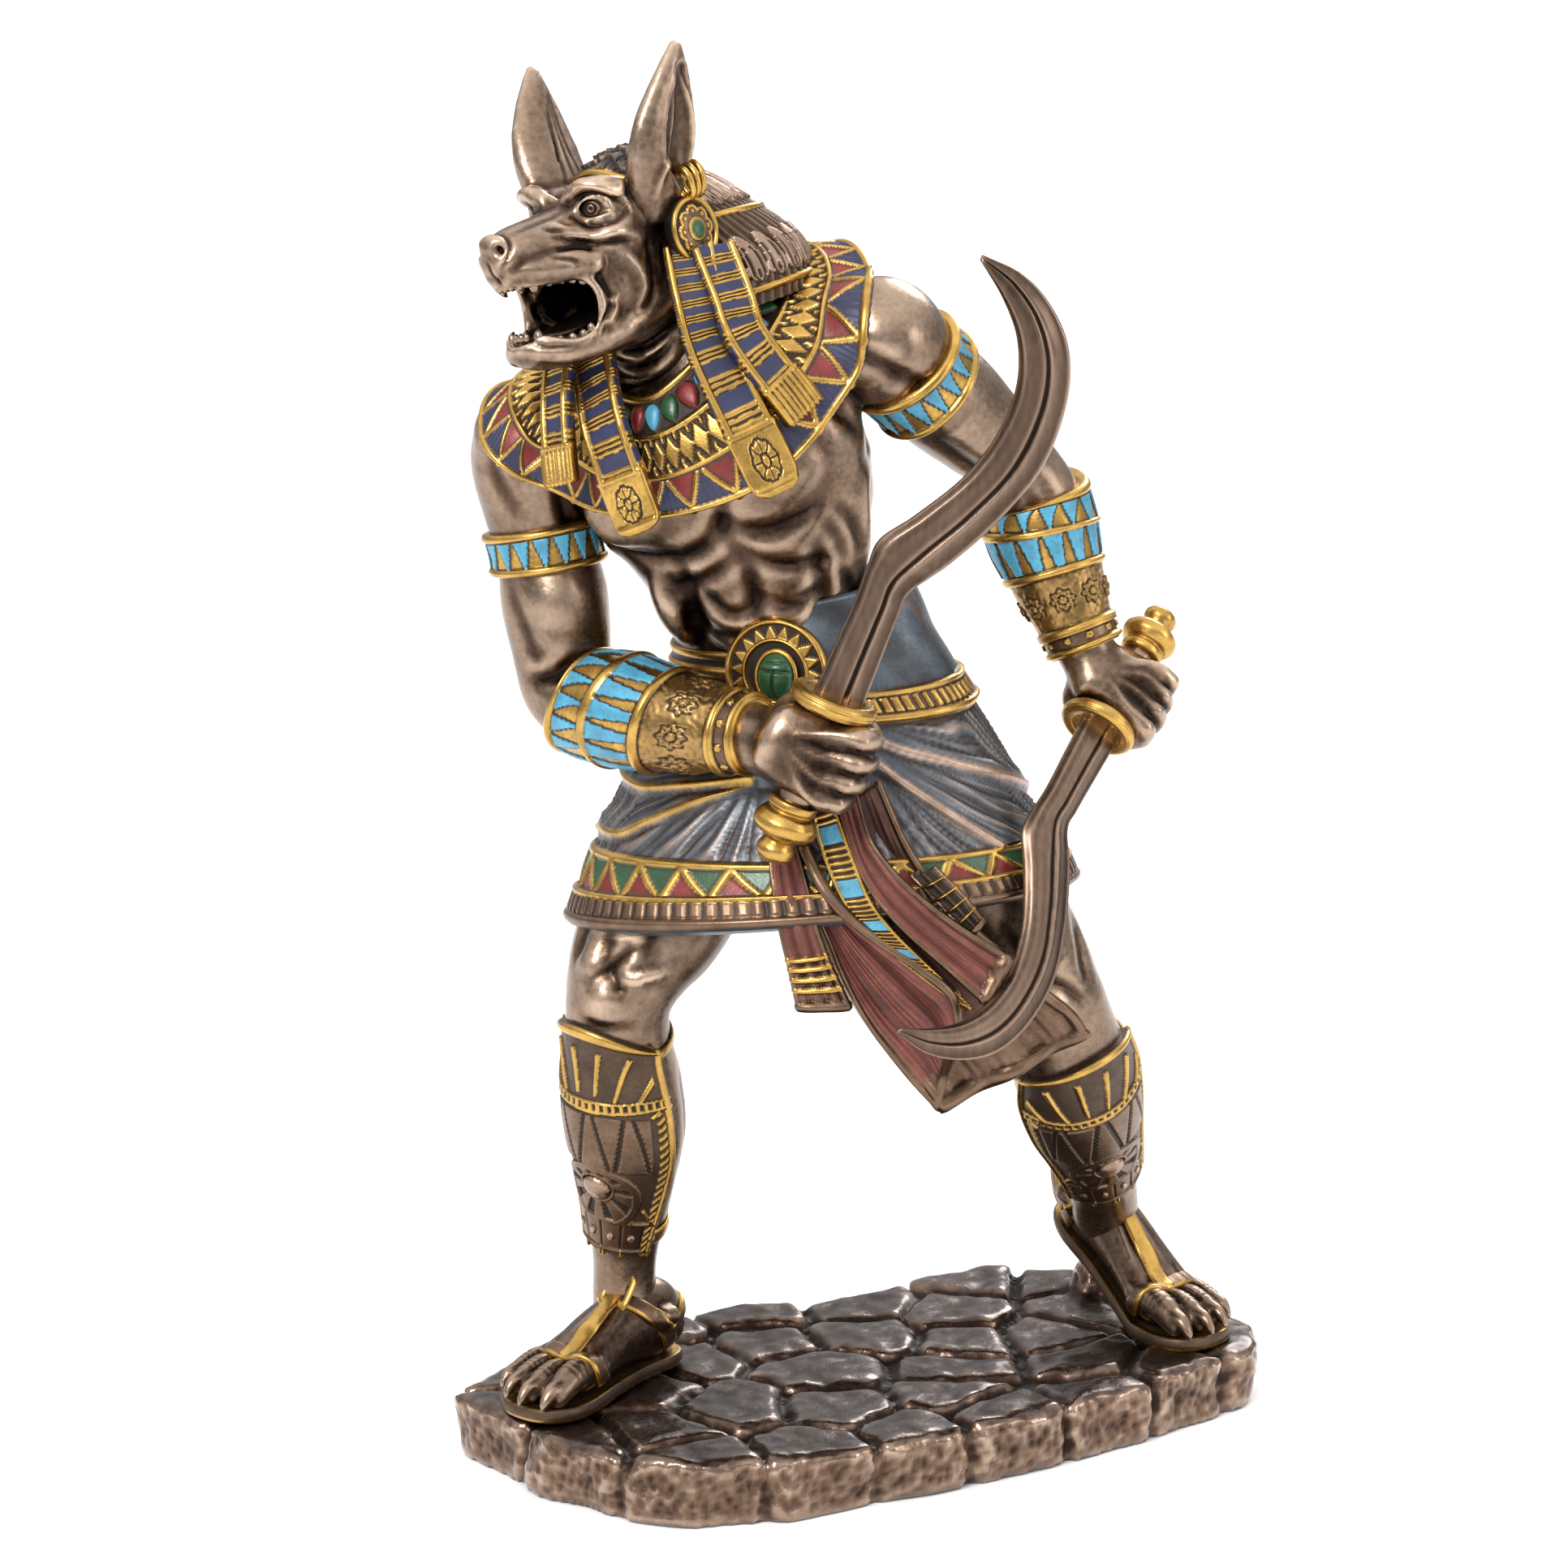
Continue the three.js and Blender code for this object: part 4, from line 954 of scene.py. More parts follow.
@dataclass(frozen=True)
class SickleSword:
    """A sickle sword in its own plane: u to the outer side, v towards the tip, the origin at the guard."""

    name: str
    at: Triple
    u: Triple
    v: Triple
    size: float = 1.0
    outer: Rows = (
        (5.6, 0), (5.5, 10), (5.5, 20), (5.9, 25), (11.1, 32.8), (16.9, 44.7), (20.5, 56.7), (20.2, 69), (17, 78.4),
        (11, 85), (3.4, 89), (-4.9, 89.7),
    )
    inner: Rows = (
        (-4.3, 0), (-3.9, 10), (-3.4, 20), (-3.6, 27), (-3.2, 32.6), (1.4, 39.3), (7.2, 49.4), (10.1, 59.5), (10, 69),
        (6.9, 77.2), (1.6, 83.4), (-4.9, 88.6),
    )
    thick: float = 3.4
    pommel: Rows = (
        (0.01, -33.4), (2.0, -33.1), (3.5, -31.9), (3.7, -30.4), (2.9, -28.8), (2.7, -28.2), (4.7, -27.7), (6.1, -26.4),
        (6.2, -24.8), (5.3, -23.3), (4.4, -22.6), (4.8, -21.8), (4.6, -20.6), (3.4, -20.2), (0.01, -20.1),
    )
    guard: Rows = (
        (0.01, -1.7), (6.2, -1.7), (7.6, -1.6), (8.5, -0.8), (8.7, 0.2), (8.4, 1.1), (7.4, 1.7), (6.0, 1.5), (5.2, 1.2),
        (0.01, 1.2),
    )

    def matrix(self) -> Matrix:
        """The sword's frame in the stance frame."""
        along = Vector(self.v).normalized()
        across = (Vector(self.u) - along * along.dot(Vector(self.u))).normalized()
        turned = Matrix((across, along, across.cross(along))).transposed().to_4x4()
        return Matrix.Translation(self.at) @ turned @ Matrix.Scale(self.size, 4)

    def section(self, share: Array) -> Array:
        """The blade's half thickness from its inner edge (0) to its outer edge (1)."""
        half = self.thick / 2
        inner_bevel = 0.25 + 0.75 * smooth(0.0, 0.16, share)
        outer_bevel = 1 - 0.82 * smooth(0.66, 0.98, share)
        groove = 0.34 * bump(0.60, 0.045, share)
        spine = 0.1 * bump(0.3, 0.14, share)
        return half * (np.minimum(inner_bevel, outer_bevel) + spine - groove)

    def blade(self, around: Array, along: Array) -> Array:
        """The blade's skin: around 0 to 0.5 is one face, 0.5 to 1 the other."""
        share = 1 - np.abs(2 * around - 1)
        run = 1 - (1 - along) ** 1.15
        outer, inner = spline(self.outer, run), spline(self.inner, run)
        flat = inner + (outer - inner) * share[:, None]
        fade = np.sqrt(np.clip(1 - along, 0, 1)) ** 0.7
        side = np.where(around < 0.5, 1.0, -1.0)
        edge = (along <= 0) | (along >= 1) | (around <= 0) | (around >= 1)
        height = self.section(share) * np.where(edge, 0.0, np.minimum(1, fade * 1.6))
        facet = 0.16 * smooth(0.30, 0.27, along) * np.abs(share - 0.45)
        return np.column_stack([flat, side * np.maximum(height - facet * 2.2, 0)])

    def turned(self, profile: Rows, ridges: float = 0.0) -> Surface:
        """A form turned on the sword's axis.

        Args:
            profile: Radius and height along the axis, from end to end.
            ridges: How deep the fine turning marks are.

        Returns:
            The form's surface.
        """
        def surface(around: Array, down: Array) -> Array:
            """The turned form's skin."""
            rows = spline(profile, down)
            radius = np.maximum(rows[:, 0], 0) * (1 + ridges * np.sin(down * 90))
            radius = np.where((down <= 0) | (down >= 1), 0.0, radius)
            angle = TAU * around
            return np.column_stack([radius * np.cos(angle), rows[:, 1], radius * np.sin(angle)])
        return surface

    def build(self, finisher: Finisher, blade: bpy.types.Material, gilt: bpy.types.Material) -> None:
        """Makes the blade and grip, and the gilded guard and pommel."""
        matrix = self.matrix()
        steel = bent_grid(self.name, self.blade, 80, 170)
        bm = bmesh.new()
        bm.from_mesh(steel)
        grip = Matrix.Translation((0, -10, 0)) @ Matrix.Rotation(math.pi / 2, 4, "X")
        bmesh.ops.create_cone(
            bm, cap_ends=True, segments=32, radius1=3.2, radius2=3.2, depth=21.5, matrix=grip,
        )
        bm.to_mesh(steel)
        bm.free()
        steel.transform(matrix)
        write_share(steel, "proud", proudness(steel, 8, 0.12))
        finisher.piece(f"{self.name}_blade", steel, blade, "blade", self.name)
        for part, profile in (("guard", self.guard), ("pommel", self.pommel)):
            mesh = bent_grid(part, self.turned(profile, 0.004), 72, 80)
            mesh.transform(matrix)
            plain_piece(finisher, f"{self.name}_{part}", mesh, Hue.GOLD, gilt, 10, 0.5)


class Overlay:
    """A sheet with thickness laid over the figure, with relief and paint on its face."""

    def __init__(
        self, name: str, surface: Surface, columns: int, rows: int, ground: Hue, depth: float,
        ring: bool = False, heart: Triple = (-30, -3, 190),
    ) -> None:
        """Bends a grid over the surface and back under it.

        Args:
            name: The piece's name.
            surface: Gives the point of the face at (across, down), both from 0 to 1.
            columns: Steps across.
            rows: Steps down.
            ground: The first coat.
            depth: The sheet's thickness.
            ring: Whether it closes on itself across.
            heart: A point that the sheet faces away from.
        """
        self.name = name
        under = 12

        def split(u: Array, v: Array) -> tuple[Array, Array, Array]:
            """Where on the face each place of the grid lies, and whether it is on the face."""
            if ring:
                v, face = out_and_back(v, rows, under)
            else:
                u, face = out_and_back(u, columns, under)
            return u, v, face

        def facing(u: Array, v: Array) -> Array:
            """The face's own direction."""
            step, v = 1e-3, np.clip(v, 0.01, 0.99)
            before, after = (u - step, u + step) if ring else (np.clip(u - step, 0, 1), np.clip(u + step, 0, 1))
            way = unit(np.cross(surface(after, v) - surface(before, v), surface(u, v + step) - surface(u, v - step)))
            return way * np.sign(np.einsum("ij,ij->", surface(u, v) - heart, way))

        def skin(u: Array, v: Array) -> Array:
            """The sheet's face and back."""
            u, v, face = split(u, v)
            return surface(u, v) - facing(u, v) * np.where(face, 0, depth)[:, None]

        around = (columns, rows + under + 2) if ring else (columns + under + 2, rows)
        self.mesh = bent_grid(name, skin, *around)
        self.u, self.v, self.face = split(read_share(self.mesh, "across"), read_share(self.mesh, "down"))
        self.relief = Relief(len(self.u), ground)

    def trace(self, path: Rows) -> tuple[Array, Array]:
        """How far each place is from a path, and how far above its nearest point."""
        points = read_points(self.mesh)
        front = points[self.face]
        line = spline(path, np.linspace(0, 1, 8 * len(path)))
        line = np.array([front[np.argmin(((front - spot) ** 2).sum(1))] for spot in line])
        for _ in range(14):
            line[1:-1] = (line[:-2] + 2 * line[1:-1] + line[2:]) / 4
        far, above = np.full(len(points), 1e9), np.zeros(len(points))
        for spot in spline(line, np.linspace(0, 1, 5 * len(line))):
            distance = np.linalg.norm(points - spot, axis=1)
            closer = distance < far
            far[closer], above[closer] = distance[closer], points[closer, 2] - spot[2]
        return far, above

    def finish(
        self, finisher: Finisher, material: bpy.types.Material, slot: str, rounds: int = 6, scale: float = 0.22,
    ) -> None:
        """Raises the relief and makes the sheet a piece."""
        points, normals = read_points(self.mesh), read_normals(self.mesh)
        write_points(self.mesh, points + normals * (self.relief.height * self.face)[:, None])
        dress(self.mesh, self.relief, rounds, scale)
        finisher.piece(self.name, self.mesh, material, slot)


def saw(value: Array) -> Array:
    """Where each value lies within its step of one, from -0.5 to 0.5."""
    return value - np.round(value)


def dress(mesh: bpy.types.Mesh, coat: Relief, rounds: int, scale: float) -> None:
    """Stores a relief's paint and the mesh's own proudness."""
    write_share(mesh, "proud", proudness(mesh, rounds, scale))
    write_share(mesh, "coat", coat.colour)
    write_share(mesh, "metal", coat.metal)
    write_share(mesh, "rough", coat.rough)


def plain_piece(
    finisher: Finisher, name: str, mesh: bpy.types.Mesh, hue: Hue, material: bpy.types.Material, rounds: int,
    scale: float,
) -> None:
    """Makes a mesh a gilded piece in one coat.

    Args:
        finisher: Takes the piece.
        name: The piece's name.
        mesh: Its mesh in the stance frame.
        hue: Its coat.
        material: Its finish.
        rounds: How far its relief is looked at.
        scale: How much relief counts as fully proud.
    """
    dress(mesh, Relief(len(mesh.vertices), hue), rounds, scale)
    finisher.piece(name, mesh, material, "gold")


# The body

CHEST_AXES = ((0.914, -0.262, 0.309), (0.276, 0.961, 0.0), (-0.297, 0.085, 0.951))
TORSO = Trunk((
    (-10, 3, 128, 27, 18, 23, -6), (-11, 3, 140, 27, 18.5, 23, -6), (-15.5, 2, 154, 22, 16, 22, -4),
    (-19, 0, 164, 19.6, 14, 20, 0), (-21, -3, 172, 20.8, 14.4, 18, 5), (-22.5, -5, 180, 23.6, 15.4, 17, 10),
    (-25.5, -6, 189, 27.0, 16.8, 16, 14), (-29, -6, 198, 30.2, 18, 16, 18), (-32, -4, 207, 31, 17.2, 16, 20),
    (-34, -1, 215, 26.5, 15, 20, 20), (-36, 1, 222, 17, 13, 28, 17),
))
RIGHT_ARM = Limb((
    (-62, 2, 205, 10, 10), (-65, 3, 198, 11.6, 12), (-63.6, 3, 188, 10.8, 11.2), (-62, 2, 179, 9.7, 10.4),
    (-60.6, 1, 170, 10.5, 11.2), (-59.4, 0, 161, 9.8, 10.4), (-58.2, -1.6, 153, 8.8, 9), (-53, -7, 150.6, 9.4, 9.4),
    (-46.5, -13.5, 151.2, 10, 9.8), (-37.5, -20.5, 150.8, 8.8, 8.6), (-27, -28.5, 151, 7, 6.6),
    (-20.5, -33.5, 151.4, 6, 5.6),
), (0.7, 0.3, 0.7))
LEFT_ARM = Limb((
    (-4, -9, 222, 11, 10.6), (2.6, -9.5, 223, 12, 12), (8.6, -5.5, 216, 10.4, 10.6), (15.2, -0.5, 209.4, 10.8, 10.8),
    (22, 3.5, 202.5, 9.6, 9.6), (28.6, 7.4, 195.4, 8.2, 8.4), (32.6, 8.6, 188.4, 9.2, 9), (34.2, 7.4, 181.5, 9.8, 9.4),
    (37, 5.4, 173.4, 8.2, 7.8), (40.4, 3, 165, 6.4, 6), (43, 1.6, 158.5, 5.8, 5.4),
), (0.9, 0, 0.5))
RIGHT_LEG = Limb((
    (-28, 3, 128, 16, 16), (-34, -2, 119, 15, 16), (-41, -8.5, 108, 14.2, 15), (-45.6, -13, 101, 12.4, 13),
    (-48.2, -15.6, 93.5, 10.4, 10.6), (-48.2, -13.6, 85, 10.2, 10.8), (-47.2, -10.8, 75, 11.4, 12.2),
    (-46.4, -8.4, 65, 11.4, 12), (-46.4, -6.2, 55.5, 9.7, 10.2), (-47, -4, 45.5, 7.8, 8.2), (-47.6, -2.6, 36, 6.4, 6.9),
    (-47.6, -1.8, 24, 6.6, 8),
), (1, 0, 0))
LEFT_LEG = Limb((
    (12, -4, 124, 15, 15.4), (20, -7, 115, 14.6, 15.4), (27, -9.4, 106, 13.6, 14.4), (32.6, -10.8, 98, 12, 12.6),
    (37, -10.6, 90, 10.4, 10.8), (39.6, -7, 82, 10.8, 11), (41, -1, 74.6, 11.8, 12), (43, 6.4, 66, 11, 11.6),
    (45.2, 14.4, 57.4, 9.2, 10), (47, 22, 49.2, 7.8, 8.6), (48.4, 29.4, 41.4, 7, 7.4), (49.6, 35.4, 33, 6.8, 7.8),
), (1, 0, 0))


@dataclass(frozen=True)
class Fist:
    """A hand closed round a sword's grip, in the sword's frame: u to the knuckles, n to the back of the hand."""

    sword: SickleSword
    back: float
    wrist: Rows

    def add_to(self, mass: Sculpture) -> None:
        """Adds the wrist, palm, fingers and thumb."""
        matrix = self.sword.matrix()
        size = self.sword.size

        def placed(u: float, along: float, n: float) -> Vector:
            """A point of the sword's frame in the stance frame."""
            return matrix @ Vector((u, along, n * self.back))

        across = tuple(matrix.to_3x3() @ Vector((0, 1, 0)) / size)
        knuckles = []
        for k in range(4):
            along = -3.9 - 4.35 * k
            girth = (2.55, 2.7, 2.6, 2.25)[k] * size
            out = (0.0, 0.5, 0.2, -0.7)[k]
            path = [
                (5.4 + out, along, 5.6), (8.0 + out, along, 4.4), (9.0 + out, along, 0.2), (7.6 + out, along, -4.4),
                (3.4, along, -6.6), (-1.4, along, -6.2), (-4.4, along, -4.2),
            ]
            stations = [(*placed(*p), girth * w, girth * w) for p, w in zip(path, (1, 1.1, 1, 1.05, 0.95, 0.95, 0.8))]
            mass.limb(stations, across, 0.06, 0.8)
            knuckles.append(placed(6.0 + out, along, 5.4))
        wrist = [Vector(row[:3]) for row in self.wrist]
        for k, knuckle in enumerate(knuckles):
            start = wrist[-1].lerp(placed(-6, -5 - 4 * k, 4.0), 0.5)
            middle = start.lerp(knuckle, 0.5)
            mass.limb(
                [(*start, 3.4, 3.2), (*middle, 3.0 * size, 2.9 * size), (*knuckle, 2.7 * size, 2.8 * size)], across,
            )
        mass.limb(self.wrist, across, 0.05, 0.4)
        palm = ((-7.5, -10, 1.0, 7.4, 5.2), (-1, -10.4, 2.6, 8.6, 4.2), (4.6, -10.6, 3.4, 8.2, 3.4))
        mass.limb([(*placed(u, v, n), wide * size, deep * size) for u, v, n, wide, deep in palm], across, 0.15, 0.5)
        thumb = [placed(-8, -8, -1.5), placed(-6.5, -4.6, -4.6), placed(-2.5, -3.6, -6.6), placed(1.8, -3.8, -6.4)]
        mass.limb([(*p, 3.0 * size, 3.0 * size) for p in thumb], across, 0.1, 0.9)

    def creases(self) -> list[Stroke]:
        """Grooves between the fingers, finger joints and the sinews on the back of the hand."""
        strokes = []
        for k in range(4):
            along = -3.9 - 4.35 * k
            for u, n, high in ((7.2, 5.8, 0.7), (11.4, 1.0, 0.35), (8.4, -5.4, 0.3)):
                strokes.append(Stroke(((u, along, n * self.back),), 1.5, high))
            back = ((-5, -7 - 1.6 * k, 6.4 * self.back), (1, along - 0.6, 6.8 * self.back), (6, along, 6.6 * self.back))
            strokes.append(Stroke(back, 0.8, 0.45))
            if k:
                gap = along + 2.17
                path = ((5.4, 7.2), (9, 6), (11.6, 1), (9.6, -5.6), (4, -8.4), (-1, -8.4))
                strokes.append(Stroke([(u, gap, n * self.back) for u, n in path], 0.7, -0.9))
        return strokes


@dataclass(frozen=True)
class Body:
    """The bare skin of trunk, arms and hands, and of the legs."""

    voxel: float = 0.72
    swords: tuple[SickleSword, SickleSword] = (
        SickleSword("right_sword", (-6.67, -40, 159.48), (0.9345, 0, -0.3558), (0.3558, 0, 0.9345)),
        SickleSword("left_sword", (45, -4.4, 145.6), (0.739, 0.111, -0.665), (-0.459, -0.64, -0.617), 0.89),
    )
    muscles: Rows = (
        (-20, -17.8, 199.5, 13, 7, 10), (-43, -13.2, 192.5, 12.2, 7, 9.4), (-6.6, -2.4, 202, 5.4, 12, 18),
        (-48, 2, 191, 6.2, 12, 14), (-65.5, 2.5, 199, 10.6, 11.6, 12.6), (3, -9.6, 221.5, 11.6, 11.2, 12),
        (-27, 7, 203, 21, 8, 20), (-9, 1, 227, 12, 9, 9.5), (-28, -2, 219, 18, 10, 7),
        (-22.6, -11.4, 178, 13.4, 7.4, 19), (-7.4, -9, 178, 4.4, 7.4, 11), (-37, -6, 173, 4.6, 7.4, 11),
    )
    knees: Rows = ((-49.4, -19.4, 97.4, 7.2, 6, 7), (35.6, -16, 92.4, 7.2, 6, 7))
    hands: tuple[Triple, Triple] = ((-7, -44, 148), (48.5, -5, 148))
    creases: tuple[Stroke, ...] = (
        Stroke(((-27.5, -22.7, 189.4), (-23.7, -22.9, 188.3), (-18.8, -23, 188.5), (-14, -22.8, 190.6),
                (-10.3, -22.2, 193)), 1.9, -1.7),
        Stroke(((-28, -22.7, 189.7), (-30.5, -20.8, 185.2), (-34.8, -18.1, 182), (-39.7, -15.7, 180.8),
                (-44.7, -12.6, 180.8)), 1.9, -1.7),
        Stroke(((-27.7, -23.3, 200), (-27.7, -23.3, 191.7), (-27.5, -22.3, 188), (-25, -21.4, 183.7)), 1.7, -1.4),
        Stroke(((-24.6, -22, 185.4), (-20.1, -21.4, 182.2), (-14.6, -21.9, 181), (-9.7, -19.6, 181.1),
                (-6, -18.5, 183.4)), 1.5, -1.2),
        Stroke(((-25.6, -21, 182.7), (-29.9, -19.2, 178.5), (-36.1, -13.6, 175.3), (-39.7, -16.3, 176.6)), 1.5, -1.2),
        Stroke(((-25, -21.4, 183.7), (-22.8, -20.5, 180.1), (-21.6, -18.6, 174.6), (-20.6, -17.9, 170),
                (-21, -17.4, 163)), 1.7, -1.5),
        Stroke(((-20.7, -18.7, 174.6), (-16.4, -19.7, 173), (-11.5, -19, 174.1), (-8.4, -17.3, 175.5)), 1.4, -1.2),
        Stroke(((-31.8, -16.2, 174.7), (-27.5, -17.5, 170.6), (-22.6, -17.6, 171.8), (-21.3, -18.6, 174.6)), 1.4, -1.2),
        Stroke(((-32.4, -11.7, 169.2), (-30, -12.9, 166.8), (-25, -17.6, 165.7), (-21, -18, 167)), 1.4, -1.0),
        Stroke(((-20.6, -17.7, 167.6), (-15.6, -18, 166.6), (-10.6, -16.6, 168.6)), 1.4, -1.0),
        Stroke(((-9.7, -19.6, 186), (-9.2, -19.2, 181.1), (-8.2, -17.4, 175), (-8.4, -14.8, 167)), 1.8, -1.5),
        Stroke(((-37.6, -16.7, 182), (-35, -14.9, 176), (-33.4, -12.1, 169), (-33, -10, 163)), 1.8, -1.5),
        Stroke(((-8.5, -21.1, 190.2), (-5.4, -18.7, 185.9), (-4.2, -16.7, 181.7)), 1.3, -1.0),
        Stroke(((-6, -19.9, 193.2), (-2.4, -16.8, 188.7), (-1.2, -13.1, 183.4)), 1.3, -1.0),
        Stroke(((-5, -17, 180.2), (-3.4, -14, 176.4), (-2.6, -10.4, 172.8)), 1.3, -0.9),
        Stroke(((0.3, 1.7, 199.6), (-1.1, -13.1, 195.9), (-0.1, -11.5, 185.5), (-1.8, -4, 176)), 2.0, 1.0),
        Stroke(((-24.4, -16.8, 164.5),), 1.2, -1.4),
        Stroke(((-69, -5, 173.9), (-66.5, -7.8, 166.9), (-64.7, -8.6, 162), (-62.1, -9.9, 160.9)), 1.9, -1.1),
        Stroke(((-72.4, -6.4, 201.4), (-71.2, -6.6, 194.5), (-66.9, -7.6, 188.4)), 1.8, -1.0),
        Stroke(((-58.9, -9.1, 194), (-56.9, -7.2, 186.6), (-55.8, -5.7, 181.5)), 1.8, -1.1),
        Stroke(((-64.8, -7.5, 155.5), (-60.7, -10.8, 157.2), (-55.8, -9.5, 160.3)), 1.4, -1.1),
        Stroke(((-60, -10, 178), (-59.6, -10.6, 171), (-60, -10.6, 165)), 5.4, 1.2),
        Stroke(((-3.1, -20.6, 222.4), (0.6, -21.2, 221.3), (6.6, -17.3, 217.9), (11, -12, 215)), 1.9, -1.3),
        Stroke(((-8, -21, 216), (-4, -19.6, 211), (-0.6, -15, 206)), 1.9, -1.3),
        Stroke(((13, -10.6, 203), (18, -6.6, 199), (23, -2.6, 193.4), (28, 0.4, 188)), 1.7, -1.2),
        Stroke(((16, -10, 207), (21, -6, 202), (25.4, -2.6, 197)), 4.6, 1.0),
        Stroke(((31, -0.4, 191), (34, 0, 185), (35.6, -1, 178)), 1.5, -0.9),
        Stroke(((-34, 16, 214), (-29, 16, 200), (-23, 15.5, 186), (-18, 15, 173)), 2.6, -1.5),
        Stroke(((-46, 13, 208), (-43, 15, 198), (-38, 15, 189)), 5.0, 1.3),
        Stroke(((-13, 12, 214), (-11, 13, 203), (-14, 14, 192)), 5.0, 1.3),
        Stroke(((-36, -14.2, 157.6), (-29, -22, 157)), 1.5, -0.5),
    )
    leg_creases: tuple[Stroke, ...] = (
        Stroke(((-44.6, -26, 107.5), (-47.4, -26, 105), (-50.1, -26, 102.9), (-53.2, -26, 100.8)), 1.5, -1.3),
        Stroke(((-50.1, -26, 102.9), (-48.4, -26, 100), (-47.4, -26, 97.6)), 1.4, -1.0),
        Stroke(((-54.9, -25, 103.7),), 3.4, 0.9),
        Stroke(((-42.7, -25, 98.8), (-43.5, -25, 103)), 4.0, 1.1),
        Stroke(((-51.5, -26, 96.2),), 3.4, 1.0),
        Stroke(((-55, -24, 92), (-51, -25, 91), (-46, -24, 91.6)), 1.2, -0.7),
        Stroke(((-50, -25, 112), (-51, -25, 107), (-51, -25, 103.6)), 1.8, -0.9),
        Stroke(((-42, -22, 118), (-41.4, -23, 111), (-43, -23, 104)), 1.8, -1.2),
        Stroke(((-55, -18, 116), (-57.4, -19, 109), (-57, -19, 103)), 1.8, -1.0),
        Stroke(((-45.6, -23.4, 112), (-46.4, -24.4, 107)), 3.8, 0.9),
        Stroke(((30.6, -19, 98), (34, -22, 99.4), (38.4, -22, 98), (41.4, -19, 94.6)), 1.3, -1.0),
        Stroke(((31, -19, 89), (35, -21, 87.4), (39, -20.4, 89)), 1.3, -1.0),
        Stroke(((35.6, -22, 93),), 4.1, 1.1),
        Stroke(((27, -22, 110), (29.6, -22.4, 104), (33, -22.6, 100.4)), 1.8, -1.0),
        Stroke(((39, -13, 108), (41, -16, 102), (42, -17, 97)), 1.8, -1.0),
        Stroke(((33.4, -23, 107), (36.4, -22.4, 102)), 3.6, 0.8),
        Stroke(((-36.6, -12, 78), (-36, -10, 68), (-38.6, -8, 58), (-41, -5, 50)), 1.8, -1.1),
        Stroke(((50, 0, 78), (53, 8, 69), (53.6, 15, 60)), 1.8, -1.0),
    )

    @staticmethod
    def belly(points: Array) -> Array:
        """How far each point belongs to the chest and belly, where the carving is softened."""
        height = points[:, 2]
        return smooth(-3, -8, points[:, 1]) * smooth(159, 165, height) * smooth(206, 198, height)

    @staticmethod
    def shoulder_blades(points: Array) -> Array:
        """How far each point belongs to the back, where the muscles' joints are smoothed away."""
        return smooth(3, 8, points[:, 1]) * smooth(168, 176, points[:, 2])

    def build_trunk(self) -> Sculpture:
        """Makes the trunk with arms and hands."""
        mass = Sculpture("torso", self.voxel)
        mass.add(TORSO.closed, 72, 72)
        for *at, wide, deep, high in self.muscles:
            mass.ball(at, (wide, deep, high), CHEST_AXES)
        for arm in (RIGHT_ARM, LEFT_ARM):
            mass.add(lambda u, v, arm=arm: arm.closed(u, v, 0.03, 0.5), 40, 110)
        right, left = self.swords
        right_wrist = ((-24, -31, 151.2, 6.2, 5.6), (-19, -36, 150.4, 6.6, 5.6), (-14, -40.6, 149.6, 7.4, 5))
        left_wrist = ((42.2, 2.4, 160, 5.4, 5.4), (44, 0.6, 156.6, 5.8, 5.2), (46, -1.6, 153.6, 6.4, 4.6))
        fists = Fist(right, 1, right_wrist), Fist(left, -1, left_wrist)
        for fist in fists:
            fist.add_to(mass)
        mass.fuse(4)
        mass.soften(45, self.shoulder_blades)
        mass.carve(self.creases)
        mass.soften(2)
        mass.soften(4, self.belly)
        for fist in fists:
            mass.carve(fist.creases(), fist.sword.matrix())
        mass.grain(9.0, 0.16)
        return mass

    def build_legs(self) -> Sculpture:
        """Makes thighs and calves."""
        mass = Sculpture("legs", self.voxel)
        for leg in (RIGHT_LEG, LEFT_LEG):
            mass.add(lambda u, v, leg=leg: leg.closed(u, v, 0.03, 0.3), 44, 120)
        for *at, wide, deep, high in self.knees:
            mass.ball(at, (wide, deep, high))
        mass.fuse(4)
        mass.carve(self.leg_creases)
        mass.soften(1)
        mass.grain(9.0, 0.16, 4.0)
        return mass


# The jackal's head

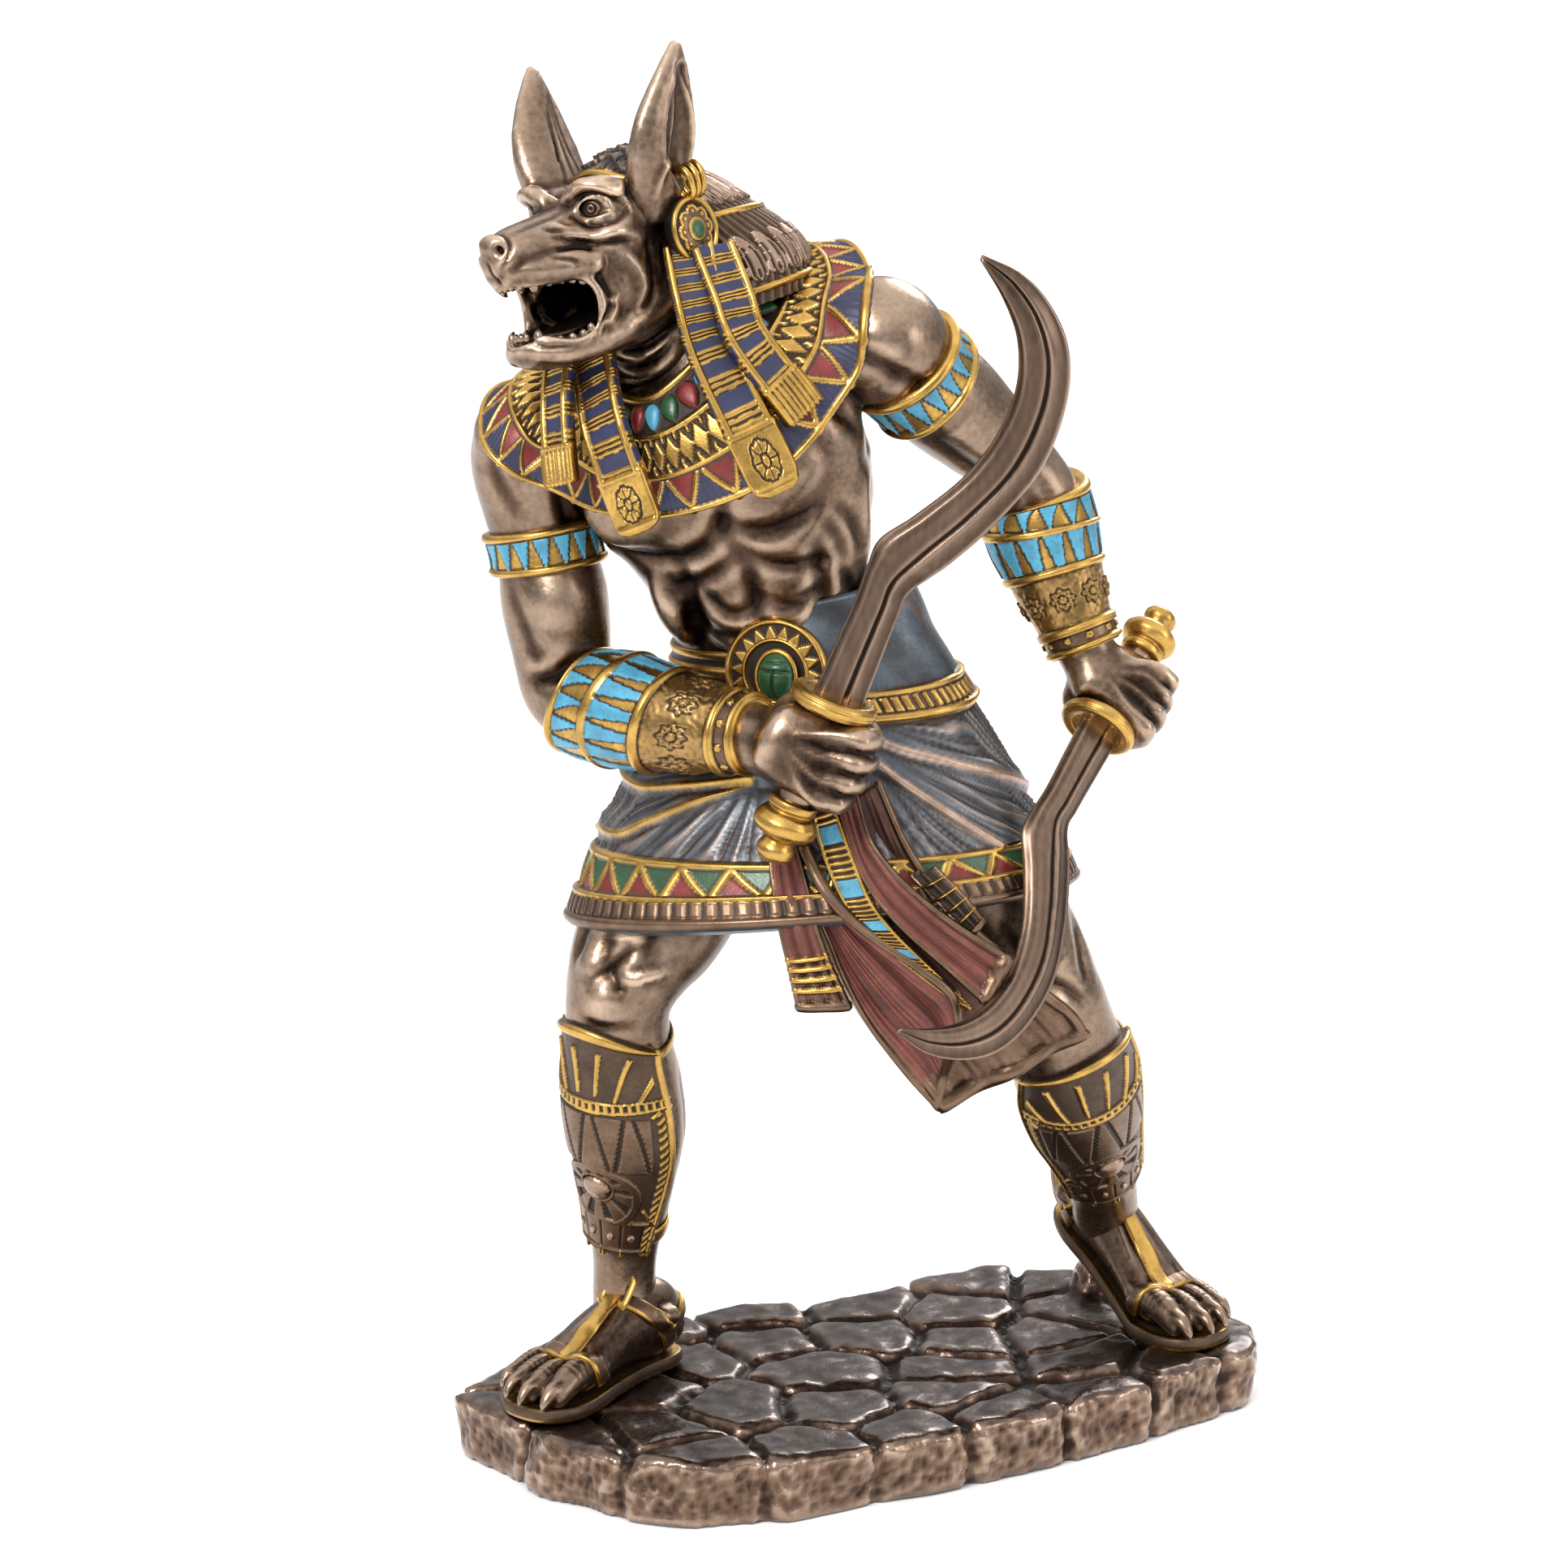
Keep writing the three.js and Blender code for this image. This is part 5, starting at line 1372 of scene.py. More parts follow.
@dataclass(frozen=True)
class JackalHead:
    """The head and neck, in a head frame of forward, left and up."""

    voxel: float = 0.45
    at: Triple = (-44, -5, 247)
    turn: float = 45.0
    nod: float = 6.0
    roll: float = 13.0
    ear_ahead: float = 3.4
    muzzle: Rows = (
        (4, 0, -2, 12, 11.6), (10, 0, -1.4, 11.8, 10), (15, 0, -1.1, 11, 8), (20, 0, -1, 9.6, 6.4), (25, 0, -1, 8, 5.9),
        (30, 0, -1, 6.9, 5.6), (34, 0, -0.9, 6, 5.1), (37, 0, -0.4, 4.6, 4),
    )
    jaw_floor: Rows = (
        (4, 0, -17.6, 8.4, 7), (11, 0, -20, 8.4, 4.4), (18, 0, -21.2, 7.8, 2.9), (25, 0, -21.8, 6.6, 2.3),
        (31, 0, -21.6, 5, 2.1), (35, 0, -20.4, 3.6, 2),
    )
    jaw_side: Rows = (
        (5, 8.4, -14, 4.6, 5), (11, 9, -17.2, 3.8, 4.2), (18, 9.2, -19.2, 2.8, 3.2), (25, 8.6, -20.2, 2, 2.6),
        (30.5, 7, -20.2, 1.8, 2.5), (34.4, 4.2, -19, 1.8, 2.4), (36.2, 0.4, -18, 1.9, 2.2),
    )
    cheek: Rows = (
        (9.6, 7.4, 4, 7, 5), (12.4, 8.4, -2, 8.6, 4.6), (13.8, 9, -8, 8.8, 3.9), (13.4, 8.8, -13.4, 8, 3.7),
        (11, 7.6, -18, 6.6, 4.2),
    )
    ear: Rows = (
        (4.4, 11, 1, 6, 4.4), (4.2, 12.4, 5.6, 7.2, 4.4), (3.2, 14, 10.4, 8.3, 4.1), (2, 15.6, 15.6, 7.9, 3.5),
        (0.4, 17, 20.6, 6.2, 2.8), (-1.2, 18.2, 25.6, 3.8, 2), (-2.4, 18.9, 29.6, 1.5, 1.1),
    )
    ear_room: Rows = (
        (-0.2, 18, 3.4, 3, 3), (0.6, 18.6, 9, 4.6, 3.6), (-0.2, 19.6, 14.6, 4.8, 3.3), (-1.4, 20.2, 20, 3.7, 2.5),
        (-2.4, 20.4, 25.4, 1.9, 1.5),
    )
    mouth: Rows = (
        (9, 0, -12, 3.6, 2.8), (14, 0, -12.6, 6.2, 4.8), (20, 0, -13, 8.4, 6.2), (26, 0, -13.2, 8.4, 6.6),
        (32, 0, -12.6, 7, 5.8), (39, 0, -12, 6.6, 5.4),
    )
    neck: Rows = (
        (-37, 0, 204, 14, 12), (-37.5, -1.4, 213, 13.2, 12.6), (-38.6, -2.8, 221, 12.2, 12.6),
        (-40, -3, 230, 11.4, 12.4), (-41.5, -2, 240, 11, 13),
    )
    lip: Rows = (
        (36.8, 0.6, -5.2), (34.4, 4.4, -6.4), (30, 6.7, -7), (26.6, 8.5, -7.2), (24.4, 10.2, -8.8), (23.4, 11, -13),
        (25.4, 10.4, -17.8), (29.4, 8.6, -19.2), (33.4, 5.8, -17.6), (35.8, 2.6, -15.9), (36.3, 0.3, -15.6),
    )
    brow: Rows = (
        (18.6, 2.4, 5.4, 1.9, 1.9), (18.6, 5.6, 7.0, 2.2, 2), (16.4, 9, 7.8, 2.1, 1.9), (12.8, 11.4, 6.8, 1.7, 1.7),
    )
    mouth_corner: Rows = ((21.0, 10.0, -9.4, 2.6, 1.2), (20.7, 10.5, -13, 3.0, 1.2), (22.0, 10.1, -17, 2.8, 1.2))
    flews: Rows = (
        (36, 1.6, -3.4, 2.6, 2.6), (32.4, 4.2, -4.2, 3.2, 3), (28.6, 6, -4.8, 3.4, 3.1), (24.8, 7.8, -5.2, 3.3, 3.2),
        (21.6, 9.2, -6.2, 3.0, 3.2),
    )
    lids: tuple[Rows, Rows] = (
        ((19.9, 5.6, 4.5), (19.2, 7.8, 5.5), (17.6, 9.8, 5.1), (15.2, 11.2, 3.4)),
        ((19.9, 5.7, 3.2), (19.1, 8, 2.2), (17.4, 10, 2.2), (15.2, 11.2, 3)),
    )

    mirrored: tuple[Stroke, ...] = (
        Stroke(((19.5, 6.2, 8.8), (17.9, 10.3, 7.8), (14.7, 11.5, 5.8), (12.9, 12.3, 2.9)), 1.4, 1.5),
        Stroke(((19.9, 6.0, 5.8), (18.4, 8.6, 6.9), (16.2, 10.6, 6.4), (13.6, 12, 3.4)), 0.75, -1.5),
        Stroke(((19.8, 6.0, 4.1), (19.1, 7.4, 5.6), (18, 9, 6.1), (16.4, 10, 5), (16.1, 11.5, 2.7)), 0.55, 0.75),
        Stroke(((19.9, 6.1, 4), (19.6, 8.1, 2.7), (18.6, 10.2, 2.1), (16.3, 11.6, 2.2)), 0.5, 0.65),
        Stroke(((18.6, 8.6, 3.8),), 1.7, -2.2),
        Stroke(((21.6, 6.6, 3.2), (20.3, 9, 1.1), (17.7, 12.1, 0.7), (13.6, 12.5, 1.5)), 0.7, -0.8),
        Stroke(((26.4, 5.3, 3.2), (24.3, 7.8, 0.6), (20.6, 10.1, -1.3), (17.3, 12.6, -1.2), (11.4, 13, -3.7)),
               1.2, 0.8),
        Stroke(((27.7, 7, 0.7), (23.8, 8.3, -0.9), (20.3, 10.8, -2.4), (15.4, 12.8, -3.3)), 0.7, -0.7),
        Stroke(((28.4, 6, 2.6), (25.6, 7.4, 1.4), (22.6, 8.6, 0.2)), 0.6, -0.6),
        Stroke(((37.9, 2.9, 1.1),), 1.0, -1.8),
        Stroke(((35.4, 1.2, 3.6), (36.1, 4.1, 1.7), (37.4, 4.4, -0.3), (38.5, 2.9, -2.3)), 0.5, -0.7),
        Stroke(((27.4, 7.4, -1.8), (24, 8.4, -2.6), (22.4, 8.6, -6.4), (21.9, 10.6, -9.8), (21.2, 10.1, -13.6),
                (24.3, 11.7, -16.6), (26.9, 10.5, -19)), 0.8, -0.9),
        Stroke(((18.6, 12, -4.5), (15.4, 12.8, -7.4), (13.7, 12.7, -11.5), (14.5, 12.2, -15.4), (18.2, 11.9, -18.6)),
               1.8, 0.9),
        Stroke(((10.2, 12.8, -4.5), (10.1, 12.4, -9.7), (12.3, 12.4, -14.4), (16.7, 12.1, -18)), 1.2, -0.8),
        Stroke(((34, 3.4, 3), (28, 4, 4.6), (22, 4.6, 6)), 0.9, -0.4),
        Stroke(((30, 7.4, -3.4), (25.6, 9, -5)), 0.6, -0.5),
        Stroke(((0.8, 19.9, 23.7), (1.1, 17.2, 17.3), (2.9, 16.1, 11.7), (6.6, 17.1, 6.7), (8.1, 15.6, 3)), 0.8, 0.6),
        Stroke(((4, 14.4, 21), (6, 12.4, 14), (8, 11, 7)), 0.5, -0.45),
        Stroke(((3, 16.4, 22), (5, 13.4, 16), (8.4, 13, 9)), 0.4, -0.4),
        Stroke(((1.4, 16.4, 24), (4, 10.6, 14), (5.4, 9.6, 7)), 0.45, -0.4),
        Stroke(((0, 17.4, 26), (2, 10.4, 15), (2, 9, 8)), 0.45, -0.4),
        Stroke(((-1.6, 19.4, 25), (-3.6, 18, 17), (-5, 17.4, 9)), 0.6, 0.5),
        Stroke(((36, 3.6, -17.4), (34.6, 5.6, -18.8), (31, 8, -19.6)), 0.5, -0.4),
    )
    central: tuple[Stroke, ...] = (
        Stroke(((38.8, 0, -1), (38, 0, -3.4), (37, 0, -5.4)), 0.45, -0.7),
        Stroke(((22, 0, 8), (27, 0, 7), (33, 0, 5.4)), 0.8, -0.4),
        Stroke(((14, 0, 12), (18.6, 0, 9.6), (21, 0, 8)), 0.9, -0.9),
        Stroke(((33.4, 0, -24), (28, 0, -25), (20, 0, -25.4)), 1.0, -0.5),
        Stroke(((10, -2.4, -24.7), (8.6, 2.3, -24.9), (5.8, 6, -23.3), (2, 9, -21)), 0.9, -1.0),
        Stroke(((9.7, -4.9, -26.7), (9.1, 0.1, -28.3), (6.9, 4.4, -27.1), (4.2, 7, -24.3)), 0.9, -0.9),
        Stroke(((7, -6, -31), (7, 0, -32), (4.6, 5, -30.6), (2, 8, -28)), 0.9, -0.7),
    )
    teeth: Rows = (
        (33.2, 4.6, -6.3, -2.4, 1.1), (36.1, 1.5, -6.0, -1.3, 0.8), (35.4, 3.1, -6.2, -1.3, 0.75),
        (36.3, 0.2, -6.0, -1.2, 0.7), (30.6, 6.1, -6.8, -1.2, 0.95), (28.4, 7.1, -7.0, -1.2, 0.95),
        (26.4, 7.9, -7.5, -1.2, 0.95), (24.8, 8.8, -8.3, -1.1, 0.9), (34.3, 3.8, -17.2, 2.1, 1.05),
        (35.3, 1.5, -16.6, 1.2, 0.72), (35.5, 0.2, -16.5, 1.1, 0.7), (31.6, 6.6, -18.3, 1.2, 0.9),
        (29.6, 7.8, -18.4, 1.2, 0.9), (27.6, 8.7, -18.2, 1.1, 0.9), (26.0, 9.4, -17.4, 1.1, 0.85),
    )

    def matrix(self) -> Matrix:
        """The head frame in the stance frame."""
        turn = math.radians(self.turn)
        forward, left = Vector((-math.sin(turn), -math.cos(turn), 0)), Vector((math.cos(turn), -math.sin(turn), 0))
        turned = Matrix((forward, left, Vector((0, 0, 1)))).transposed()
        nod, roll = math.radians(self.nod), math.radians(self.roll)
        turned = turned @ Matrix.Rotation(nod, 3, "Y") @ Matrix.Rotation(roll, 3, "X")
        return Matrix.Translation(self.at) @ turned.to_4x4()

    def forms(self, mass: Sculpture) -> None:
        """Adds skull, muzzle, jaws, cheeks, ears and neck."""
        level = (0, 1, 0)
        mass.at = self.matrix()
        mass.ball((1, 0, -1), (13, 12, 12.4))
        mass.limb(self.muzzle, level, 0.05, 0.5)
        mass.limb(self.jaw_floor, level, 0.05, 0.5)
        mass.limb(self.mouth, level, 0.05, 0.3, hollow=True)
        mass.ball((37.0, 0, 1.0), (2.3, 4.0, 3.1))
        mass.ball((34.8, 0, -18.6), (2.7, 4.2, 3.6))
        for side in (1, -1):
            def flip(rows: Rows, ahead: float = 0.0) -> Rows:
                """The same stations on the figure's other side."""
                return [(x + ahead, side * y, z, *sizes) for x, y, z, *sizes in rows]

            ahead = self.ear_ahead if side < 0 else 0.0
            mass.limb(flip(self.jaw_side), level, 0.05, 0.5)
            mass.limb(flip(self.cheek), (1, 0, 0), 0.08, 0.5)
            mass.limb(flip([(*p, 0.9, 0.9) for p in self.lip]), level, 0.03, 0.4)
            mass.limb(flip(self.ear, ahead), (1, 0.1, 0.1), 0.04, 0.7)
            mass.limb(flip(self.ear_room, ahead), (1, 0.1, 0.1), 0.06, 0.6, hollow=True)
            mass.limb(flip(self.brow), level)
            mass.limb(flip(self.mouth_corner), (1, 0, 0))
            mass.ball((14.4, side * 10.2, -0.6), (5.4, 3, 3.2))
            mass.limb(flip(self.flews), level)
            for lid in self.lids:
                mass.limb(flip([(*p, 0.62, 0.62) for p in lid]), level, 0.03, 0.4)
            mass.ball((35.8, side * 1.9, -4.4), (2.2, 1.9, 2.2))
        mass.at = Matrix.Identity(4)
        mass.limb(self.neck, (0.93, -0.3, 0.2), 0.05, 0.3)

    def shadow(self, points: Array) -> Array:
        """How deep inside the mouth each point of the head frame lies."""
        rows = spline(self.mouth, np.clip((points[:, 0] - 9) / 30, 0, 1))
        wide, deep = (points[:, 1] - rows[:, 1]) / (rows[:, 3] + 0.7), (points[:, 2] - rows[:, 2]) / (rows[:, 4] + 0.7)
        return (np.hypot(wide, deep) < 1) * smooth(34, 24, points[:, 0])

    def build(self, finisher: Finisher, bronze: bpy.types.Material) -> None:
        """Makes the head, eyes, teeth and tongue."""
        matrix = self.matrix()
        mass = Sculpture("head", self.voxel)
        self.forms(mass)
        mass.fuse(3)
        both = [
            Stroke([(x, side * y, z) for x, y, z in stroke.path], stroke.reach, stroke.height)
            for stroke in self.mirrored for side in (1, -1)
        ]
        mass.carve((*both, *self.central), matrix)
        mass.grain(3.4, 0.07)
        points = read_points(mass.mesh)
        inverse = np.array(matrix.inverted())
        local = points @ inverse[:3, :3].T + inverse[:3, 3]
        # The head's share holds worn edges and patina, painted light and shade, and painted shade deep inside the
        # mouth.
        write_share(mass.mesh, "proud", wear_and_painted_light(mass.mesh, 12, 0.36) - 1.6 * self.shadow(local))
        finisher.piece("head", mass.mesh, bronze, "bronze")
        self.build_eyes(finisher, bronze)
        self.build_teeth(finisher, bronze)

    def build_eyes(self, finisher: Finisher, bronze: bpy.types.Material) -> None:
        """Makes the eyeballs with carved irises."""
        for side, name in ((1, "left"), (-1, "right")):
            gaze = Vector((0.86, 0.5 * side, 0.08))
            aimed = gaze.to_track_quat("Z", "Y").to_matrix().to_4x4()
            place = self.matrix() @ Matrix.Translation((16.7, 7.3 * side, 3.7)) @ aimed

            def ball(u: Array, v: Array) -> Array:
                """The eyeball about its line of sight."""
                off = np.pi * v
                reach = 2.3 * (1 - 0.07 * bump(0.46, 0.06, off) - 0.13 * bump(0, 0.16, off))
                way = np.stack([np.sin(off) * np.cos(TAU * u), np.sin(off) * np.sin(TAU * u), np.cos(off)], 1)
                return reach[:, None] * way

            mesh = bent_grid(f"{name}_eye", ball, 64, 96)
            mesh.transform(place)
            off = np.pi * read_share(mesh, "down")
            ring, pupil = 1.5 * bump(0.46, 0.1, off), 1.4 * bump(0, 0.2, off)
            write_share(mesh, "proud", 0.35 - ring - pupil - smooth(0.8, 1.3, off))
            finisher.piece(mesh.name, mesh, bronze, "bronze")

    def build_teeth(self, finisher: Finisher, bronze: bpy.types.Material) -> None:
        """Makes the teeth, and the tongue that lies in the lower jaw."""
        mass = Sculpture("teeth", 0.2)
        mass.at = self.matrix()
        for x, y, z, high, girth in self.teeth:
            for side in (1, -1):
                tip = (x - 0.25 * abs(high), side * (y - 0.1), z + high)
                middle = (x + 0.05, side * y, z + high * 0.5)
                mass.limb([(x, side * y, z - high * 0.25, girth, girth), (*middle, girth * 0.8, girth * 0.8),
                           (*tip, girth * 0.2, girth * 0.2)], (0, 1, 0), 0.06, 0.6)
        mass.fuse(1)
        points = read_points(mass.mesh)
        write_share(mass.mesh, "proud", np.full(len(points), 0.45))
        finisher.piece("teeth", mass.mesh, bronze, "bronze")
        mass = Sculpture("tongue", 0.3)
        mass.at = self.matrix()
        mass.limb(((9, 0, -16, 4.4, 1.8), (15, 0, -16.2, 5, 1.9), (21, 0, -17, 5, 1.7), (26.6, 0, -17.6, 4, 1.4),
                   (30, 0, -17.4, 2.6, 1.1)), (0, 1, 0), 0.08, 0.6)
        mass.fuse(2)
        mass.carve((Stroke(((10, 0, -13.6), (18, 0, -14.4), (27, 0, -15.6)), 0.6, -0.6),), self.matrix())
        write_share(mass.mesh, "proud", proudness(mass.mesh, 8, 0.4) * 0.6 - 0.35)
        finisher.piece("tongue", mass.mesh, bronze, "bronze")


# Headdress, lappets and collar

@dataclass(frozen=True)
class Headdress:
    """The cap between the ears and the banded cloth over the nape."""

    cloth: Trunk = Trunk((
        (-43.6, -2, 253.6, 9.6, 9, 42, 12), (-41, -0.4, 250, 13.4, 12, 40, 13), (-38.2, 1.2, 245.4, 16.4, 14.2, 36, 14),
        (-35.4, 2.4, 240.2, 19.6, 16, 32, 17), (-33.5, 3, 234, 22.8, 17.8, 27, 19), (-33, 2.6, 228, 24.6, 19, 24, 20),
        (-33, 2.6, 224, 25.4, 19.6, 24, 20),
    ))
    span: tuple[float, float] = (0.15, -0.64)
    petals: int = 22

    def drape(self, u: Array, v: Array) -> Array:
        """The cloth's skin from its left edge round the back to its right edge."""
        return self.cloth.wrap(self.span[0] + (self.span[1] - self.span[0]) * u, v)

    def build_cloth(self, finisher: Finisher, gilt: bpy.types.Material) -> None:
        """Makes the cloth over the nape."""
        cloth = Overlay("headdress", self.drape, 360, 156, Hue.BRONZE, 2.2, heart=(-38, 2, 235))
        relief, u, v = cloth.relief, cloth.u, cloth.v
        bend = v + 0.05 * np.cos(TAU * (u - 0.1) * 0.5)
        relief.height += 0.16 * np.sin(u * 300 + 1.6 * np.sin(bend * 14))
        relief.paint(v > -1, Hue.DARK, 0.45 - 0.35 * np.sin(u * 300 + 1.6 * np.sin(bend * 14)))
        for top, bottom, shift in ((0.08, 0.40, 0.0), (0.60, 0.88, 0.5)):
            t = (bend - top) / (bottom - top)
            p = np.abs(saw(u * self.petals + shift))
            half = 0.45 * np.sqrt(np.clip(1 - ((t - 0.7) / 0.7) ** 2, 0, 1)) * smooth(1.05, 0.8, t)
            petal = (t > 0) & (t < 1) & (p < half)
            relief.inlay(petal, Hue.PALE, 0.55)
            relief.paint(petal, Hue.BRONZE, 0.4)
            relief.inlay(petal & (np.abs(p - 0.55 * half) < 0.055) & (t > 0.25), Hue.DARK, 0.1)
            relief.inlay(petal & (np.hypot(p / 0.07, (t - 0.8) / 0.1) < 1), Hue.DARK, 0.1)
            relief.inlay((np.hypot((p - 0.5) / 0.07, (t - 0.72) / 0.1) < 1), Hue.PALE, 0.45)
        for line, half in ((0.445, 0.022), (0.92, 0.03)):
            relief.rail(bend - line, half, 0.75)
        relief.rail(np.minimum(u, 1 - u), 0.012, 0.6)
        cloth.finish(finisher, gilt, "gold", 8, 0.3)

    def build_cap(self, finisher: Finisher, gilt: bpy.types.Material, head: JackalHead) -> None:
        """Makes the cap of locks between the ears."""
        matrix = head.matrix()

        def skin(u: Array, v: Array) -> Array:
            """The cap over the skull."""
            side = np.radians(-62 + 124 * u)
            front = 47 + 9 * np.abs(2 * u - 1) ** 2 - 4 * np.cos(TAU * u)
            lift = np.radians(front + (150 - front) * v)
            local = np.stack([
                0.6 + 13.7 * np.cos(side) * np.cos(lift), 12.8 * np.sin(side),
                -1 + 13.1 * np.cos(side) * np.sin(lift),
            ], 1)
            return moved(matrix, local)

        cap = Overlay("cap", skin, 150, 130, Hue.SLATE, 2.0, heart=tuple(matrix.translation))
        relief, u, v = cap.relief, cap.u, cap.v
        relief.paint(u > -1, Hue.DARK, 0.8)
        rows = v * 7 + 0.35 * np.sin(u * 19)
        lock = saw(u * 9 + 0.5 * (np.floor(rows) % 2))
        fall = np.mod(rows, 1)
        relief.height += 0.95 * (1 - fall) * np.sqrt(np.clip(1 - (2 * lock) ** 2, 0, 1)) + 0.10 * np.sin(u * 150)
        relief.paint(relief.height > 0.55, Hue.BRONZE, 0.8)
        relief.rail(v, 0.045, 0.9)
        cap.finish(finisher, gilt, "bronze", 5, 0.25)

    def build_discs(self, finisher: Finisher, gilt: bpy.types.Material, head: JackalHead) -> None:
        """Makes the flower discs and rings under the ears."""
        matrix = head.matrix()
        for side, name in ((1, "left"), (-1, "right")):
            ahead = 0 if side > 0 else head.ear_ahead * 0.6
            centre = Vector((2.0 + ahead, side * 17.0, -4.8))

            def face(u: Array, v: Array, centre: Vector = centre, side: int = side) -> Array:
                """The disc's face, from its middle outwards."""
                angle, radius = TAU * u, 5.7 * v
                local = np.stack([
                    centre.x + radius * np.cos(angle), centre.y + side * (0.5 - 0.6 * v**2),
                    centre.z + radius * 1.12 * np.sin(angle),
                ], 1)
                return moved(matrix, local)

            inside = matrix @ (centre - Vector((0, side * 6, 0)))
            disc = Overlay(f"{name}_ear_disc", face, 144, 44, Hue.DARK, 2.6, True, tuple(inside))
            relief, u, v = disc.relief, disc.u, disc.v
            lobe = 0.62 + 0.13 * np.abs(np.cos(4 * TAU * u))
            flower = v < lobe
            relief.inlay(flower, Hue.GOLD, 0.5)
            relief.inlay(flower & (v < lobe - 0.10) & (v > 0.36), Hue.BRONZE, 0.25)
            eyes = np.hypot((v - 0.54) / 0.06, saw(8 * u) / 0.16) < 1
            relief.inlay(eyes, Hue.GOLD, 0.55)
            relief.inlay(v < 0.36, Hue.GOLD, 0.6)
            gem = v < 0.27
            relief.paint(gem, Hue.GREEN)
            relief.height = np.where(gem, 0.65 + 0.4 * np.sqrt(np.clip(1 - (v / 0.27) ** 2, 0, 1)), relief.height)
            relief.rail(v - 0.91, 0.09, 0.75)
            disc.finish(finisher, gilt, "gold", 5, 0.2)
            for k in range(3):
                middle = Vector((-1.7 + 1.55 * k + ahead, side * 16.6, 4.2 - 0.2 * k))

                def ring(u: Array, v: Array, middle: Vector = middle, k: int = k) -> Array:
                    """One ring through the ear's edge."""
                    around, tube = TAU * u, TAU * v
                    reach = 2.9 + 0.78 * np.cos(tube)
                    local = np.stack([
                        middle.x + 0.62 * np.sin(tube) + 0.25 * (k - 1) * np.sin(around),
                        middle.y + reach * 0.72 * np.cos(around), middle.z + reach * np.sin(around),
                    ], 1)
                    return moved(matrix, local)

                mesh = bent_grid(f"{name}_ear_ring_{k + 1}", ring, 60, 20)
                plain_piece(finisher, mesh.name, mesh, Hue.GOLD, gilt, 4, 0.3)

    def build(self, finisher: Finisher, gilt: bpy.types.Material, head: JackalHead) -> None:
        """Makes the headdress."""
        self.build_cloth(finisher, gilt)
        self.build_cap(finisher, gilt, head)
        self.build_discs(finisher, gilt, head)


